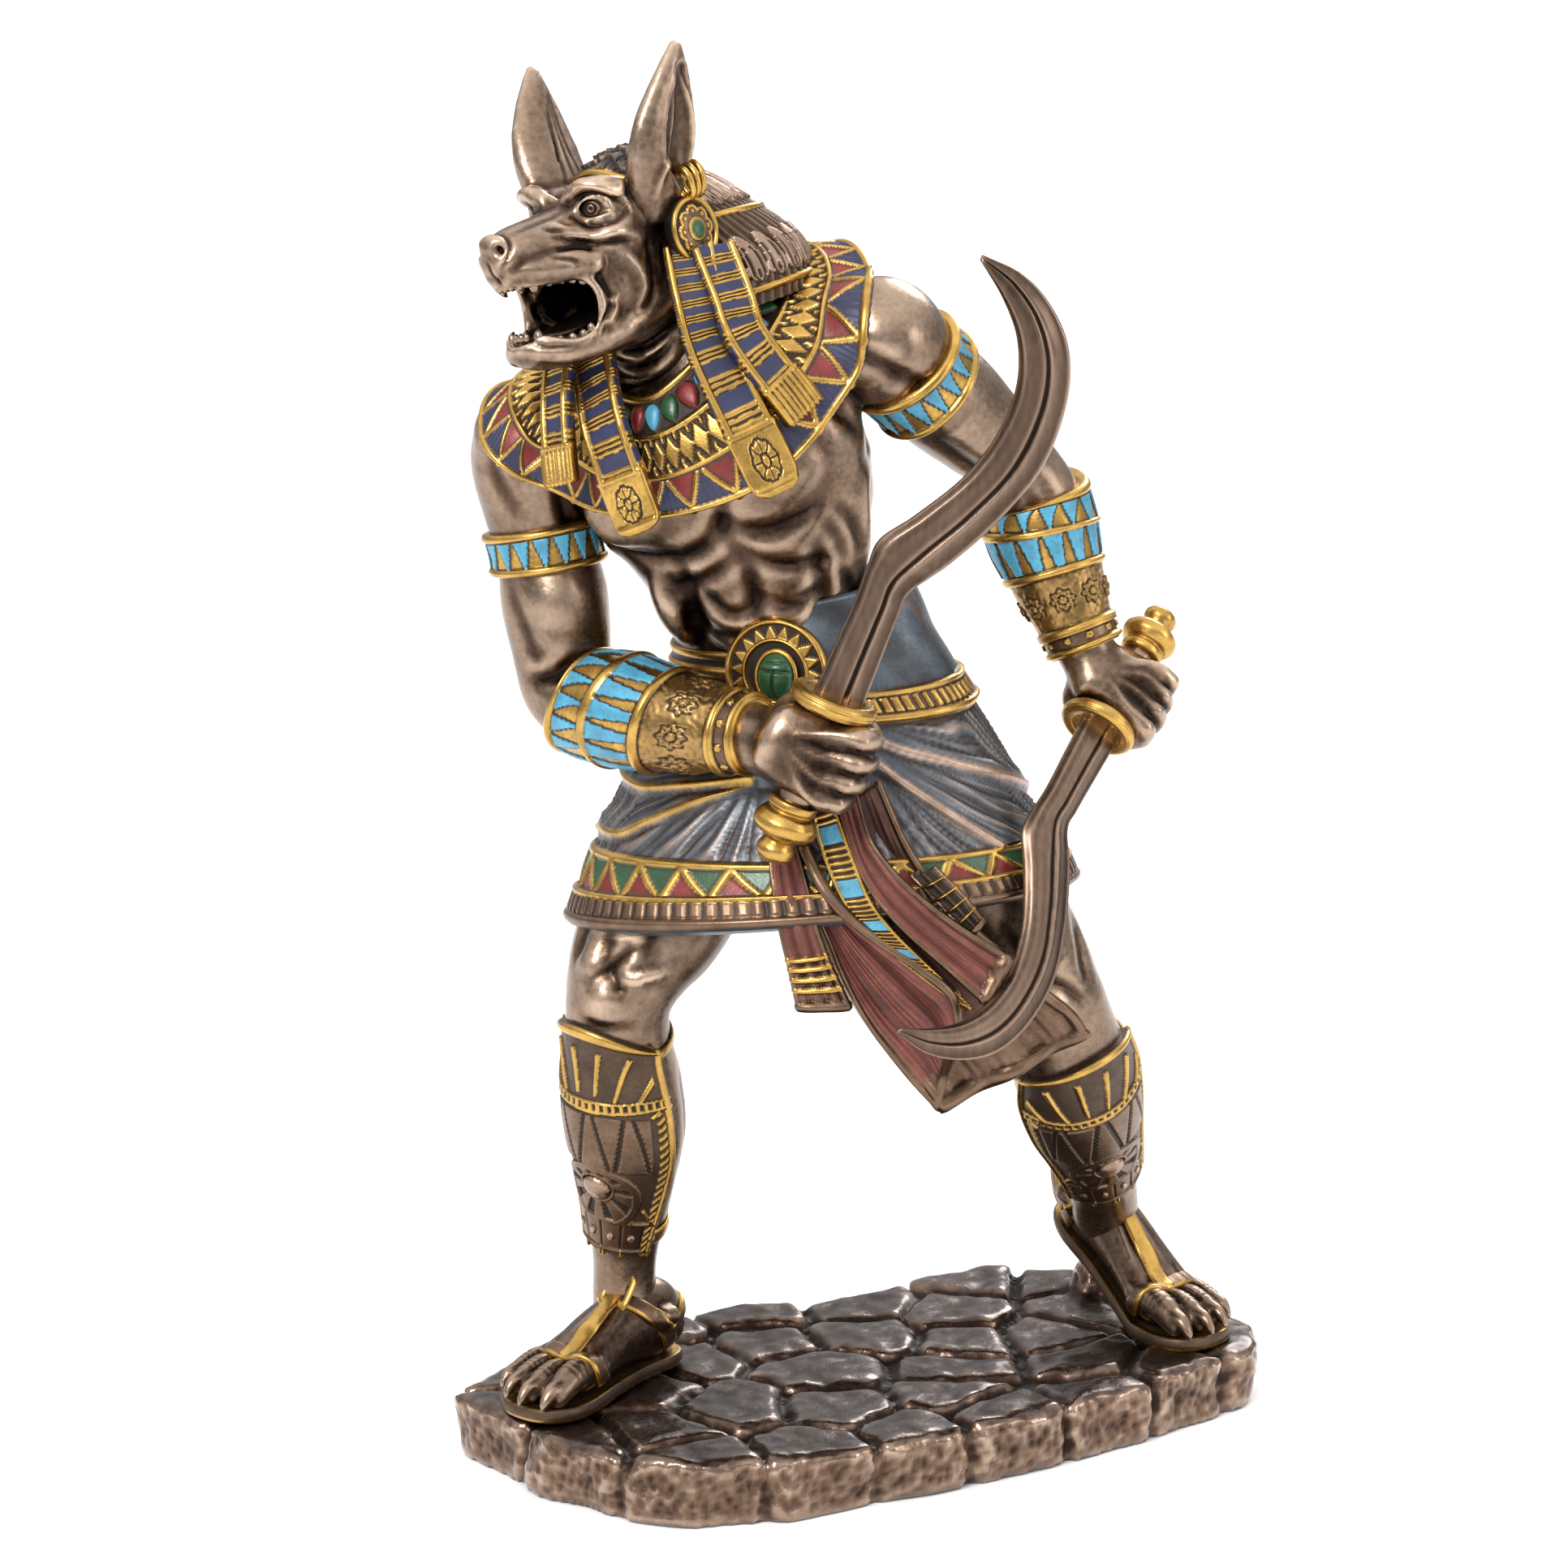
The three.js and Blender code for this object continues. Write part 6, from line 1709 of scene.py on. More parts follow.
@dataclass(frozen=True)
class Collar:
    """The broad collar: drops, a row of lozenges and a band of triangles between gold lines."""

    inner: Rows = (
        (-41.5, -20.5, 214.5), (-31, -17.5, 223), (-24, -7, 231), (-30, 7, 233), (-44, 8.5, 229), (-52, -1, 222.5),
        (-51, -13.5, 216),
    )
    outer: Rows = (
        (-38, -31, 191), (-17, -30, 200.5), (-1.5, -22, 218.5), (1, -7, 233.5), (-5, 7, 239), (-22, 17.5, 229),
        (-46, 18.5, 216), (-65, 8, 210), (-74.5, -5, 204.5), (-68, -18.5, 196.5), (-54, -27, 192),
    )
    heart: Triple = (-34, -5, 205)
    proud: float = 3.2
    lift: float = 0.9
    most: float = 4.5
    table_size: tuple[int, int] = (96, 14)
    triangles: int = 26
    lozenges: int = 56
    drops: int = 30

    def table(self, skin: BVHTree) -> Array:
        """Points of the collar's skin, laid over the chest, in rows from the neck outwards."""
        columns, rows = self.table_size
        u = np.repeat(np.arange(columns) / columns, rows)
        v = np.tile(np.linspace(0, 1, rows), columns)
        place = ring_spline(self.inner, u) * (1 - v)[:, None] + ring_spline(self.outer, u) * v[:, None]
        place += unit(place - np.asarray(self.heart, float)) * (self.proud * np.sin(np.pi * v))[:, None]
        for _ in range(4):
            place = off_skin(skin, place, self.lift, self.most)
            grid = place.reshape(columns, rows, 3)
            grid = (np.roll(grid, 1, 0) + np.roll(grid, -1, 0) + 2 * grid) / 4
            grid[:, 1:-1] = (grid[:, :-2] + 2 * grid[:, 1:-1] + grid[:, 2:]) / 4
            place = grid.reshape(-1, 3)
        return place.reshape(columns, rows, 3)

    @staticmethod
    def from_table(table: Array, u: Array, v: Array) -> Array:
        """The skin between the table's points."""
        columns, rows = table.shape[:2]
        x, y = np.mod(u, 1) * columns, v * (rows - 1)
        j = np.minimum(y.astype(int), rows - 2)
        t = (y - j)[:, None]
        i = np.floor(x).astype(int)
        s = (x - i)[:, None]

        def column(k: Array) -> Array:
            """Points on one of the table's columns."""
            k = np.mod(k, columns)
            rungs = np.maximum(j - 1, 0), j, j + 1, np.minimum(j + 2, rows - 1)
            return between(*(table[k, rung] for rung in rungs), t)

        return between(*(column(i + k) for k in range(-1, 3)), s)

    def paint(self, relief: Relief, u: Array, v: Array) -> None:
        """Lays the bands of ornament on."""
        relief.paint(v < 0.62, Hue.DARK)
        ripple = 1 + 0.12 * np.sin(u * 37)
        p = saw(u * self.drops)
        t = (v - 0.165) / 0.095
        drop = (p / (0.42 * np.clip(1.0 - 0.4 * t, 0.2, 1.2))) ** 2 + t**2
        order = np.mod(np.round(u * self.drops), 3)
        for turn, hue in enumerate((Hue.TEAL, Hue.GREEN, Hue.RED)):
            relief.inlay((drop < 1) & (order == turn), hue, 0.3)
        relief.height += np.where(drop < 1, 0.6 * np.sqrt(np.clip(1 - drop, 0, 1)), 0)
        p = saw(u * self.lozenges)
        t = (v - 0.445) / 0.125
        relief.inlay((np.abs(p) / (0.46 * ripple) + np.abs(t) < 1) & (np.abs(t) < 0.92), Hue.GOLD, 0.55)
        tip = (np.abs(p) > 0.36 + 0.2 * np.abs(np.abs(t) - 1)) & (np.abs(t) > 0.6) & (np.abs(t) < 1)
        relief.inlay(tip, Hue.GOLD, 0.45)
        band = v > 0.63
        t = np.clip((v - 0.63) / 0.31, 0, 1)
        p = np.abs(saw(u * self.triangles + 0.5))
        edge = p - 0.44 * (1 - t)
        relief.inlay(band & (edge >= 0), Hue.BLUE, 0.0)
        relief.height += np.where(band & (edge >= 0), 0.13 * np.sin(u * TAU * self.triangles * 7), 0)
        relief.inlay(band & (edge < 0), Hue.RED, -0.12)
        relief.rail(np.where(band, edge, 1) * 0.16, 0.011, 0.42)
        for line, half in ((0.028, 0.03), (0.30, 0.022), (0.60, 0.022), (0.965, 0.034)):
            relief.rail(v - line, half, 0.75)

    def build(self, finisher: Finisher, gilt: bpy.types.Material, skin: BVHTree) -> BVHTree:
        """Makes the collar.

        Args:
            finisher: Takes the piece.
            gilt: Its finish.
            skin: The trunk that it lies on.

        Returns:
            The collar's own skin, to lay the lappets on.
        """
        table = self.table(skin)
        collar = Overlay("collar", lambda u, v: self.from_table(table, u, v), 620, 86, Hue.BLUE, 1.8, True, self.heart)
        self.paint(collar.relief, collar.u, collar.v)
        laid = skin_tree(collar.mesh)
        collar.finish(finisher, gilt, "gold", 5, 0.22)
        return laid


@dataclass(frozen=True)
class Lappet:
    """A banded strap of the headdress that hangs on the chest, ending in a rosette plate or a fringe."""

    name: str
    line: Rows
    half: float
    fringed: bool
    heart: Triple = (-34, -3, 208)
    period: float = 4.6
    thick: float = 1.9

    def build(self, finisher: Finisher, gilt: bpy.types.Material, skins: Sequence[BVHTree]) -> None:
        """Makes the strap, laid over the collar and chest."""
        rows, columns = 16, 5
        down = np.repeat(np.linspace(0, 1, rows), columns)
        across = np.tile(np.linspace(-1, 1, columns), rows)
        middle = spline(self.line, down)
        heart = np.asarray(self.heart, float)
        tangent = unit(spline(self.line, np.clip(down + 0.03, 0, 1)) - spline(self.line, np.clip(down - 0.03, 0, 1)))
        out = unit(middle - heart)
        side = unit(np.cross(tangent, out))
        place = middle + side * (across * self.half)[:, None]
        reach = np.linalg.norm(place - heart, axis=1)
        way = unit(place - heart)
        for skin in skins:
            laid = laid_on(skin, place, np.tile(heart, (len(place), 1)), np.full(len(place), 0.5), 9)
            reach = np.maximum(reach, np.minimum(np.linalg.norm(laid - heart, axis=1), reach + 6))
        grid = reach.reshape(rows, columns)
        grid = np.tile(grid.mean(1, keepdims=True), (1, columns)) * 0.5 + grid * 0.5
        for _ in range(2):
            grid[1:-1] = (grid[:-2] + 2 * grid[1:-1] + grid[2:]) / 4
        table = (heart + way * (grid.reshape(-1) + 0.5)[:, None]).reshape(rows, columns, 3)
        length = float(np.linalg.norm(np.diff(spline(self.line, np.linspace(0, 1, 40)), axis=0), axis=1).sum())
        padded = np.concatenate([table] * 2, axis=1)

        def skin_at(u: Array, v: Array) -> Array:
            """The strap's face: across, then down."""
            end = 1 if self.fringed else np.sqrt(np.clip(1 - ((v - 0.955) / 0.045).clip(0) ** 2 * 0.75, 0, 1))
            share = 0.5 + (u - 0.5) * end
            y = v * (rows - 1)
            j = np.minimum(y.astype(int), rows - 2)
            t = (y - j)[:, None]
            x = share * (columns - 1)
            i = np.minimum(x.astype(int), columns - 2)
            s = (x - i)[:, None]
            near = padded[j, i] * (1 - s) + padded[j, i + 1] * s
            far = padded[j + 1, i] * (1 - s) + padded[j + 1, i + 1] * s
            return near * (1 - t) + far * t

        strap = Overlay(self.name, skin_at, 56, int(length * 5), Hue.DARK, self.thick, heart=self.heart)
        relief, u, v = strap.relief, strap.u, strap.v
        along, x = v * length, (u - 0.5) * 2 * self.half
        stop = length - (5.2 if self.fringed else 7.4)
        body = along < stop
        beat = np.mod(along, self.period)
        wobble = 0.04 * np.sin(x * 1.7 + along)
        relief.inlay(body & (beat < 2.2), Hue.BLUE, 0.12)
        for start in (2.5, 3.35, 4.2):
            relief.rail(np.where(body, beat + wobble - start, FAR_OFF), 0.29, 0.45)
        relief.rail(np.abs(x) - (self.half - 0.72), 0.72, 0.85)
        if self.fringed:
            fringe = along >= stop
            relief.inlay(fringe, Hue.GOLD, 0.55)
            relief.height += np.where(fringe, 0.26 * np.sign(np.sin(x * 5.2)), 0)
            relief.rail(along - stop, 0.45, 0.85)
        else:
            plate = along >= stop
            relief.inlay(plate, Hue.GOLD, 0.55)
            across_plate, down_plate = x, along - (stop + 3.6)
            radius, angle = np.hypot(across_plate, down_plate), np.arctan2(down_plate, across_plate)
            bloom = 2.3 + 0.25 * np.abs(np.cos(4 * angle))
            relief.height = np.where(plate & (radius < bloom), 0.8, relief.height)
            slit = (np.abs(np.sin(4 * angle)) * radius < 0.5) & (radius > 0.9)
            relief.inlay(plate & (radius < bloom) & slit, Hue.DARK, 0.45)
            relief.inlay(plate & ((np.abs(radius - bloom) < 0.2) | (np.abs(radius - 0.8) < 0.17)), Hue.DARK, 0.3)
            relief.rail(along - (length - 0.7), 0.7, 0.9)
            relief.rail(along - stop, 0.5, 0.8)
        strap.finish(finisher, gilt, "gold", 5, 0.22)


LAPPETS = (
    Lappet(
        "short_lappet_left", ((-29.5, -19.5, 242), (-26, -24, 234), (-22.5, -27, 226), (-12.4, -27.5, 212.6)),
        4.3, True,
    ),
    Lappet(
        "long_lappet_left", ((-34, -19.5, 242), (-32, -25, 233), (-28.5, -28, 222), (-17, -34, 199)), 4.7, False,
    ),
    Lappet(
        "short_lappet_right", ((-57, -13, 228), (-58, -18.5, 220), (-58.6, -23.5, 212), (-57.6, -28, 199.4)), 3.7, True,
    ),
    Lappet(
        "long_lappet_right", ((-53, -15, 228), (-51.6, -21, 219), (-49.4, -28.5, 209), (-42.8, -33, 191.5)), 4.7, False,
    ),
)


# Bands on the arms

@dataclass(frozen=True)
class ArmBand:
    """A gilded band round an arm with turquoise leaves."""

    name: str
    arm: Limb
    start: float
    end: float
    leaves: int
    slant: float = 0.0
    slant_from: float = 0.0

    def skin(self, u: Array, v: Array) -> Array:
        """The band's face round the arm."""
        lean = self.slant * np.cos(TAU * (u - self.slant_from)) * (1 - v)
        return self.arm.wrap(u, self.start + (self.end - self.start) * v + lean, 1.15)

    def overlay(self, columns: int = 240, rows: int = 54) -> Overlay:
        """Starts the band."""
        middle = self.arm.section(np.array([(self.start + self.end) / 2]))[0][0]
        return Overlay(self.name, self.skin, columns, rows, Hue.GOLD, 2.0, True, tuple(middle))

    def leafed(self, band: Overlay, top: float, bottom: float, down: float = 1.0) -> None:
        """Lays a row of turquoise leaves, broad at the top and pointed below."""
        relief, u = band.relief, band.u
        t = (band.v - top) / (bottom - top)
        inside = (t > 0) & (t < 1)
        p = np.abs(saw(u * self.leaves))
        leaf = p < 0.43 * (1 - down * 0.8 * np.clip(t, 0, 1))
        relief.inlay(inside & leaf, Hue.TEAL, 0.42)
        edge = inside & (np.abs(p - 0.43 * (1 - down * 0.8 * np.clip(t, 0, 1))) < 0.035)
        relief.inlay(edge, Hue.DARK, 0.05)

    def build(self, finisher: Finisher, gilt: bpy.types.Material) -> None:
        """Makes an upper-arm band."""
        band = self.overlay()
        self.leafed(band, 0.2, 0.84)
        for line in (0.08, 0.9):
            band.relief.rail(band.v - line, 0.09, 0.8)
        band.finish(finisher, gilt, "gold")


@dataclass(frozen=True)
class Bracer(ArmBand):
    """A long band on the forearm: two rows of leaves, hammered gold with flowers, and a studded rim."""

    def build(self, finisher: Finisher, gilt: bpy.types.Material) -> None:
        """Makes the bracer."""
        band = self.overlay(240, 140)
        relief, u, v = band.relief, band.u, band.v
        self.leafed(band, 0.05, 0.245)
        self.leafed(band, 0.29, 0.485, 0.6)
        plain = (v > 0.53) & (v < 0.8)
        points = read_points(band.mesh)
        relief.paint(plain, Hue.BRONZE, 0.5)
        relief.height += np.where(plain, 0.14 * speckle(points, 1.1, 4.0, 1), 0)
        x, y = saw(u * 8) * 6.5, (v - 0.665) * 42
        radius, angle = np.hypot(x, y), np.arctan2(y, x)
        bloom = 2.3 + 0.35 * np.cos(8 * angle)
        petals = 0.45 - 0.3 * (np.abs(np.sin(4 * angle)) < 0.3)
        relief.height = np.where(radius < bloom, petals, relief.height)
        relief.inlay((np.abs(radius - bloom) < 0.22) | (np.abs(radius - 0.9) < 0.16), Hue.DARK, -0.2)
        relief.height = np.where(radius < 0.75, 0.7, relief.height)
        studs = np.hypot(saw(u * 10) * 52 / 10, (v - 0.895) * 42) < 0.85
        relief.inlay((v > 0.84) & (v < 0.95), Hue.BRONZE, 0.1)
        relief.inlay(studs, Hue.GOLD, 0.6)
        rails = (0.022, 0.026), (0.268, 0.024), (0.51, 0.024), (0.825, 0.02), (0.85, 0.014), (0.965, 0.024)
        for line, half in rails:
            relief.rail(v - line, half, 0.85)
        band.finish(finisher, gilt, "gold")


BANDS = (
    ArmBand("right_armlet", RIGHT_ARM, 0.222, 0.305, 17),
    ArmBand("left_armlet", LEFT_ARM, 0.165, 0.25, 18),
    Bracer("right_bracer", RIGHT_ARM, 0.625, 0.985, 15, 0.03, 0.1),
    Bracer("left_bracer", LEFT_ARM, 0.585, 0.985, 14, 0.02, 0.1),
)


# Belt, kilt and apron

@dataclass(frozen=True)
class Kilt:
    """The belt, the pleated kilt and its patterned hem."""

    rings: Trunk = Trunk((
        (-15.6, 1, 171, 23.6, 15.4, 20, 10, 0), (-14.2, 1, 166.4, 24.6, 16.4, 20, 8, 0),
        (-13.0, 1, 162, 25.8, 17.6, 21, 5.6, 0), (-11.6, 1, 157.6, 27.6, 18.6, 20, 4, 0),
        (-10.6, 1, 153.6, 29.4, 19.4, 20, 3, 0), (-9.6, 0.8, 148, 32, 21.4, 17, 2, 0),
        (-8.8, 0, 141, 35.4, 24.6, 14, 1, 0), (-8.6, -0.8, 136, 37.6, 26.4, 11, 1, 1),
        (-8.6, -1.4, 131, 40, 28, 8, 1, 2), (-8.6, -2.2, 125.5, 43, 29.4, 5, 2, 4),
        (-8.6, -3, 120, 46, 30.6, 2, 3.4, 6), (-8.6, -3.4, 115.4, 47.6, 31.8, -1, 4.2, 7.4),
        (-8.6, -4, 110.4, 49.6, 33.4, -3, 4.2, 8),
    ))
    belt_end: float = 0.36
    knots: tuple[tuple[float, float], tuple[float, float]] = ((0.272, 0.47), (0.18, 0.41))
    girth: float = 235.0
    drop: float = 62.0
    left_folds: tuple[Rows, ...] = (
        ((-56, 4, 125), (-52, -14, 127.9), (-44.2, -19, 132), (-35, -24, 137.2), (-24.8, -28, 142.6)),
        ((-51, 4, 136), (-48.1, -12, 137.6), (-41.1, -19, 139.4), (-33.5, -24, 141.1), (-24.4, -28, 143.4)),
    )
    right_folds: tuple[Rows, ...] = (
        ((0.3, -29, 151), (8.6, -27, 147.4), (20.1, -20, 141.6), (31, -10, 137), (36, 4, 134)),
        ((-0.1, -29, 147.1), (8.6, -28, 139.9), (17.7, -25, 132), (29.4, -18, 120.7), (36, -10, 117)),
    )

    def skin(self, u: Array, v: Array) -> Array:
        """The cloth's face."""
        return self.rings.wrap(u, v)

    def pleats(self, u: Array, v: Array) -> tuple[Array, Array]:
        """Heights of the pleats that fan out from the knots, and how pale their crests are."""
        left = saw(u - 0.226) > 0
        side = np.where(left, self.knots[0][0], self.knots[1][0])
        level = np.where(left, self.knots[0][1], self.knots[1][1])
        x, y = np.abs(saw(u - side) * self.girth), (v - level) * self.drop + 2
        reach = np.hypot(x, y)
        phase = np.arctan2(x, y + 0.12 * x) + np.maximum(x - 34, 0) / 34
        wander = 0.10 * np.sin(reach / 6.1 + 9 * phase) + 0.06 * np.sin(reach / 2.7 + 23 * phase)
        broad = saw(phase * 5.1 + wander + 0.2)
        fine = saw(phase * 14.3 + 1.6 * wander)
        thread = saw(phase * 41 + 3 * wander)
        height = 0.95 * (0.5 - 2 * np.abs(broad)) + 0.42 * (0.5 - 2 * np.abs(fine)) + 0.12 * np.cos(TAU * thread)
        fade = smooth(3, 26, reach)
        return height * fade, (0.75 * bump(0, 0.1, broad) + 0.55 * bump(0, 0.12, fine)) * fade

    def build_kilt(self, finisher: Finisher, cloth: bpy.types.Material) -> None:
        """Makes belt, kilt and hem in one skin."""
        kilt = Overlay("kilt", self.skin, 456, 150, Hue.SLATE, 2.4, True, (-10, 0, 140))
        relief, u, v = kilt.relief, kilt.u, kilt.v
        height, crest = self.pleats(u, v)
        skirt = (v > self.belt_end) & (v < 0.795)
        relief.height += np.where(v > self.belt_end - 0.3, height * smooth(0.8, 0.74, v), 0)
        relief.paint(skirt, Hue.PALE, 0.5 * np.clip(crest, 0, 1))
        relief.paint(skirt, Hue.DARK, 0.55 * smooth(0.0, -0.7, height))
        for paths, hue in ((self.left_folds, Hue.GOLD), (self.right_folds, Hue.PALE)):
            for path in paths:
                far, above = kilt.trace(path)
                level = float(relief.height[far < 1].mean())
                relief.height += (level - relief.height) * smooth(3.2, 1.0, far) * (v < 0.78)
                relief.height += 1.2 * smooth(-0.7, 0.3, above) * smooth(6, 1, far) * (v < 0.78)
                crest = bump(0, 0.9, far) * (v < 0.79)
                relief.height = np.where(crest > 0.02, np.maximum(relief.height, level + 1.6 * crest), relief.height)
                relief.paint(crest > 0.1, hue, 0.9 * smooth(0.25, 0.75, crest))
        self.belt(relief, u, v, smooth(0.235, 0.19, u) * smooth(-0.3, 0.0, u) + smooth(0.80, 0.84, u))
        self.hem(relief, u, v)
        kilt.finish(finisher, cloth, "kilt_cloth", 7, 0.4)

    def belt(self, relief: Relief, u: Array, v: Array, cloth: Array) -> None:
        """The dark belt with gold lines, and its studded strip where the cloth rises over it."""
        on = v < self.belt_end
        open_belt = on & (cloth < 0.5)
        t = v / self.belt_end
        relief.inlay(open_belt, Hue.DARK, 0.0)
        for line in (0.10, 0.28, 0.46, 0.64, 0.82, 0.95):
            relief.rail(np.where(open_belt, t - line, 1), 0.05, 0.55)
        wrapped = on & (cloth >= 0.5)
        fold = np.sin(t * 3.4 + u * 27 + 0.7 * np.sin(t * 4))
        relief.height = np.where(wrapped, 1.2 + 0.65 * fold, relief.height)
        relief.paint(wrapped, Hue.SLATE)
        relief.paint(wrapped, Hue.PALE, 0.3 * smooth(0.6, 1, fold))
        relief.paint(wrapped, Hue.DARK, 0.5 * smooth(-0.4, -1, fold))
        strip = (v > 0.315) & (v < 0.385) & (cloth >= 0.5)
        relief.inlay(strip, Hue.BRONZE, 1.5)
        relief.inlay(strip & (np.abs(saw(u * 74)) < 0.3) & (np.abs(v - 0.35) < 0.021), Hue.GOLD, 1.9)
        for line in (0.315, 0.385):
            relief.rail(np.where(cloth >= 0.5, v - line, 1), 0.011, 2.3)

    def hem(self, relief: Relief, u: Array, v: Array) -> None:
        """Gold lines, triangles in green and red, and bronze studs over a lip."""
        band = (v > 0.80) & (v < 0.905)
        t = np.clip((v - 0.80) / 0.105, 0, 1)
        p = np.abs(saw(u * 26)) * 2
        relief.inlay(band, Hue.GREEN, 0.25)
        relief.inlay(band & (t > p), Hue.RED, 0.25)
        relief.rail(np.where(band, (t - p) * 0.06, 1), 0.012, 0.75)
        studs = (v >= 0.905) & (v < 0.975)
        relief.inlay(studs, Hue.DARK, 1.0)
        relief.inlay(studs & (np.abs(saw(u * 92)) < 0.36) & (v > 0.918) & (v < 0.965), Hue.BRONZE, 1.5)
        rails = (0.795, 0.011, 0.9, Hue.GOLD), (0.905, 0.012, 1.7, Hue.GOLD), (0.98, 0.018, 1.7, Hue.BRONZE)
        for line, half, high, hue in rails:
            relief.rail(v - line, half, high, hue)

    def build_buckle(self, finisher: Finisher, gilt: bpy.types.Material) -> None:
        """Makes the round buckle with its beetle stone."""
        turn = Matrix.Rotation(math.radians(-21), 4, "Z") @ Matrix.Rotation(math.radians(-5), 4, "X")
        matrix = Matrix.Translation((-16.8, -19.6, 160.4)) @ turn

        def face(u: Array, v: Array) -> Array:
            """The buckle's face, from its middle outwards."""
            radius = 10.2 * v
            return moved(matrix, np.stack([
                radius * np.cos(TAU * u), -1.6 - 0.8 * (1 - v**2), radius * np.sin(TAU * u),
            ], 1))

        buckle = Overlay("buckle", face, 200, 70, Hue.DARK, 2.6, True, tuple(matrix @ Vector((0, 6, 0))))
        relief, u, v = buckle.relief, buckle.u, buckle.v
        band = (v > 0.66) & (v < 0.9)
        p = np.abs(saw(u * 18)) * 2
        relief.inlay(band & ((v - 0.66) / 0.24 < 1 - p), Hue.GOLD, 0.5)
        for line, half in ((0.62, 0.045), (0.955, 0.05)):
            relief.rail(v - line, half, 0.9)
        buckle.finish(finisher, gilt, "gold")

        def rim(u: Array, v: Array) -> Array:
            """The rail round the stone."""
            reach = 1 + 0.12 * np.cos(TAU * v)
            x, z = 0.6 + 4.0 * reach * np.cos(TAU * u), -0.6 + 5.0 * reach * np.sin(TAU * u)
            return moved(matrix, np.stack([x, -3.3 - 0.75 * np.sin(TAU * v), z], 1))

        plain_piece(finisher, "beetle_rim", bent_grid("beetle_rim", rim, 96, 20), Hue.GOLD, gilt, 4, 0.2)

        def beetle(u: Array, v: Array) -> Array:
            """The stone, cut as a beetle."""
            angle, lift = TAU * u, np.pi * v
            x, z = np.sin(lift) * np.cos(angle), np.sin(lift) * np.sin(angle)
            groove = 0.22 * bump(0, 0.07, x) * (z < 0.25) + 0.26 * bump(0.28, 0.06, z) + 0.2 * bump(0.62, 0.05, z)
            depth = np.cos(lift) * (1 - groove * (np.cos(lift) > 0))
            return moved(matrix, np.stack([0.6 + 3.7 * x, -3.0 - 3.0 * depth, -0.6 + 4.7 * z], 1))

        plain_piece(finisher, "beetle_stone", bent_grid("beetle_stone", beetle, 96, 90), Hue.GREEN, gilt, 6, 0.2)


@dataclass(frozen=True)
class ClothFold:
    """A hanging cloth between a left and a right edge, with rolled edges and folds that run down it."""

    name: str
    left: Rows
    right: Rows
    hue: Hue
    swell: float = 1.2
    folds: float = 1.5
    depth: float = 0.8
    bands: tuple[float, ...] = ()
    rim: Hue = Hue.BRONZE
    tail: Hue | None = None

    def skin(self, u: Array, v: Array) -> Array:
        """The cloth's face."""
        a, b = spline(self.left, v), spline(self.right, v)
        place = a + (b - a) * u[:, None]
        wave = np.sin(TAU * self.folds * u + 1.3 * np.sin(2.2 * v) + 0.6) * (0.35 + 0.65 * v)
        place[:, 1] -= self.swell * np.sin(np.pi * u) ** 0.8 + self.depth * wave
        return place

    def build(self, finisher: Finisher, cloth: bpy.types.Material) -> None:
        """Makes the cloth."""
        sheet = Overlay(self.name, self.skin, 80, 120, self.hue, 1.5, heart=(-4, 30, 110))
        relief, u, v = sheet.relief, sheet.u, sheet.v
        crease = np.sin(TAU * (u + 0.04 * np.sin(v * 5 + 3 * u)) * (self.folds + 1.6) + 1.2 * v)
        thread = np.sin(u * 95 + 2.5 * np.sin(v * 4))
        relief.height += 0.32 * crease + 0.05 * thread
        relief.paint(self.face_of(u), Hue.BRONZE, 0.35 * smooth(0.3, 1, crease) + 0.08 * smooth(0, 1, thread))
        relief.paint(self.face_of(u), Hue.DARK, 0.5 * smooth(-0.2, -1, crease))
        if self.tail:
            relief.paint(v > 0.66, self.tail, 0.8 * smooth(0.66, 0.8, v))
        edge = np.minimum(u, 1 - u) * (1 + 0.2 * np.sin(v * 23))
        relief.rail(edge, 0.05, 0.8, self.rim)
        relief.rail(1 - v, 0.035, 1.1, self.rim)
        for band in self.bands:
            relief.rail(v - band, 0.019, 1.0)
        sheet.finish(finisher, cloth, "apron_cloth", 7, 0.3)

    @staticmethod
    def face_of(u: Array) -> Array:
        """The cloth between its rolled edges."""
        return (u > 0.04) & (u < 0.96)


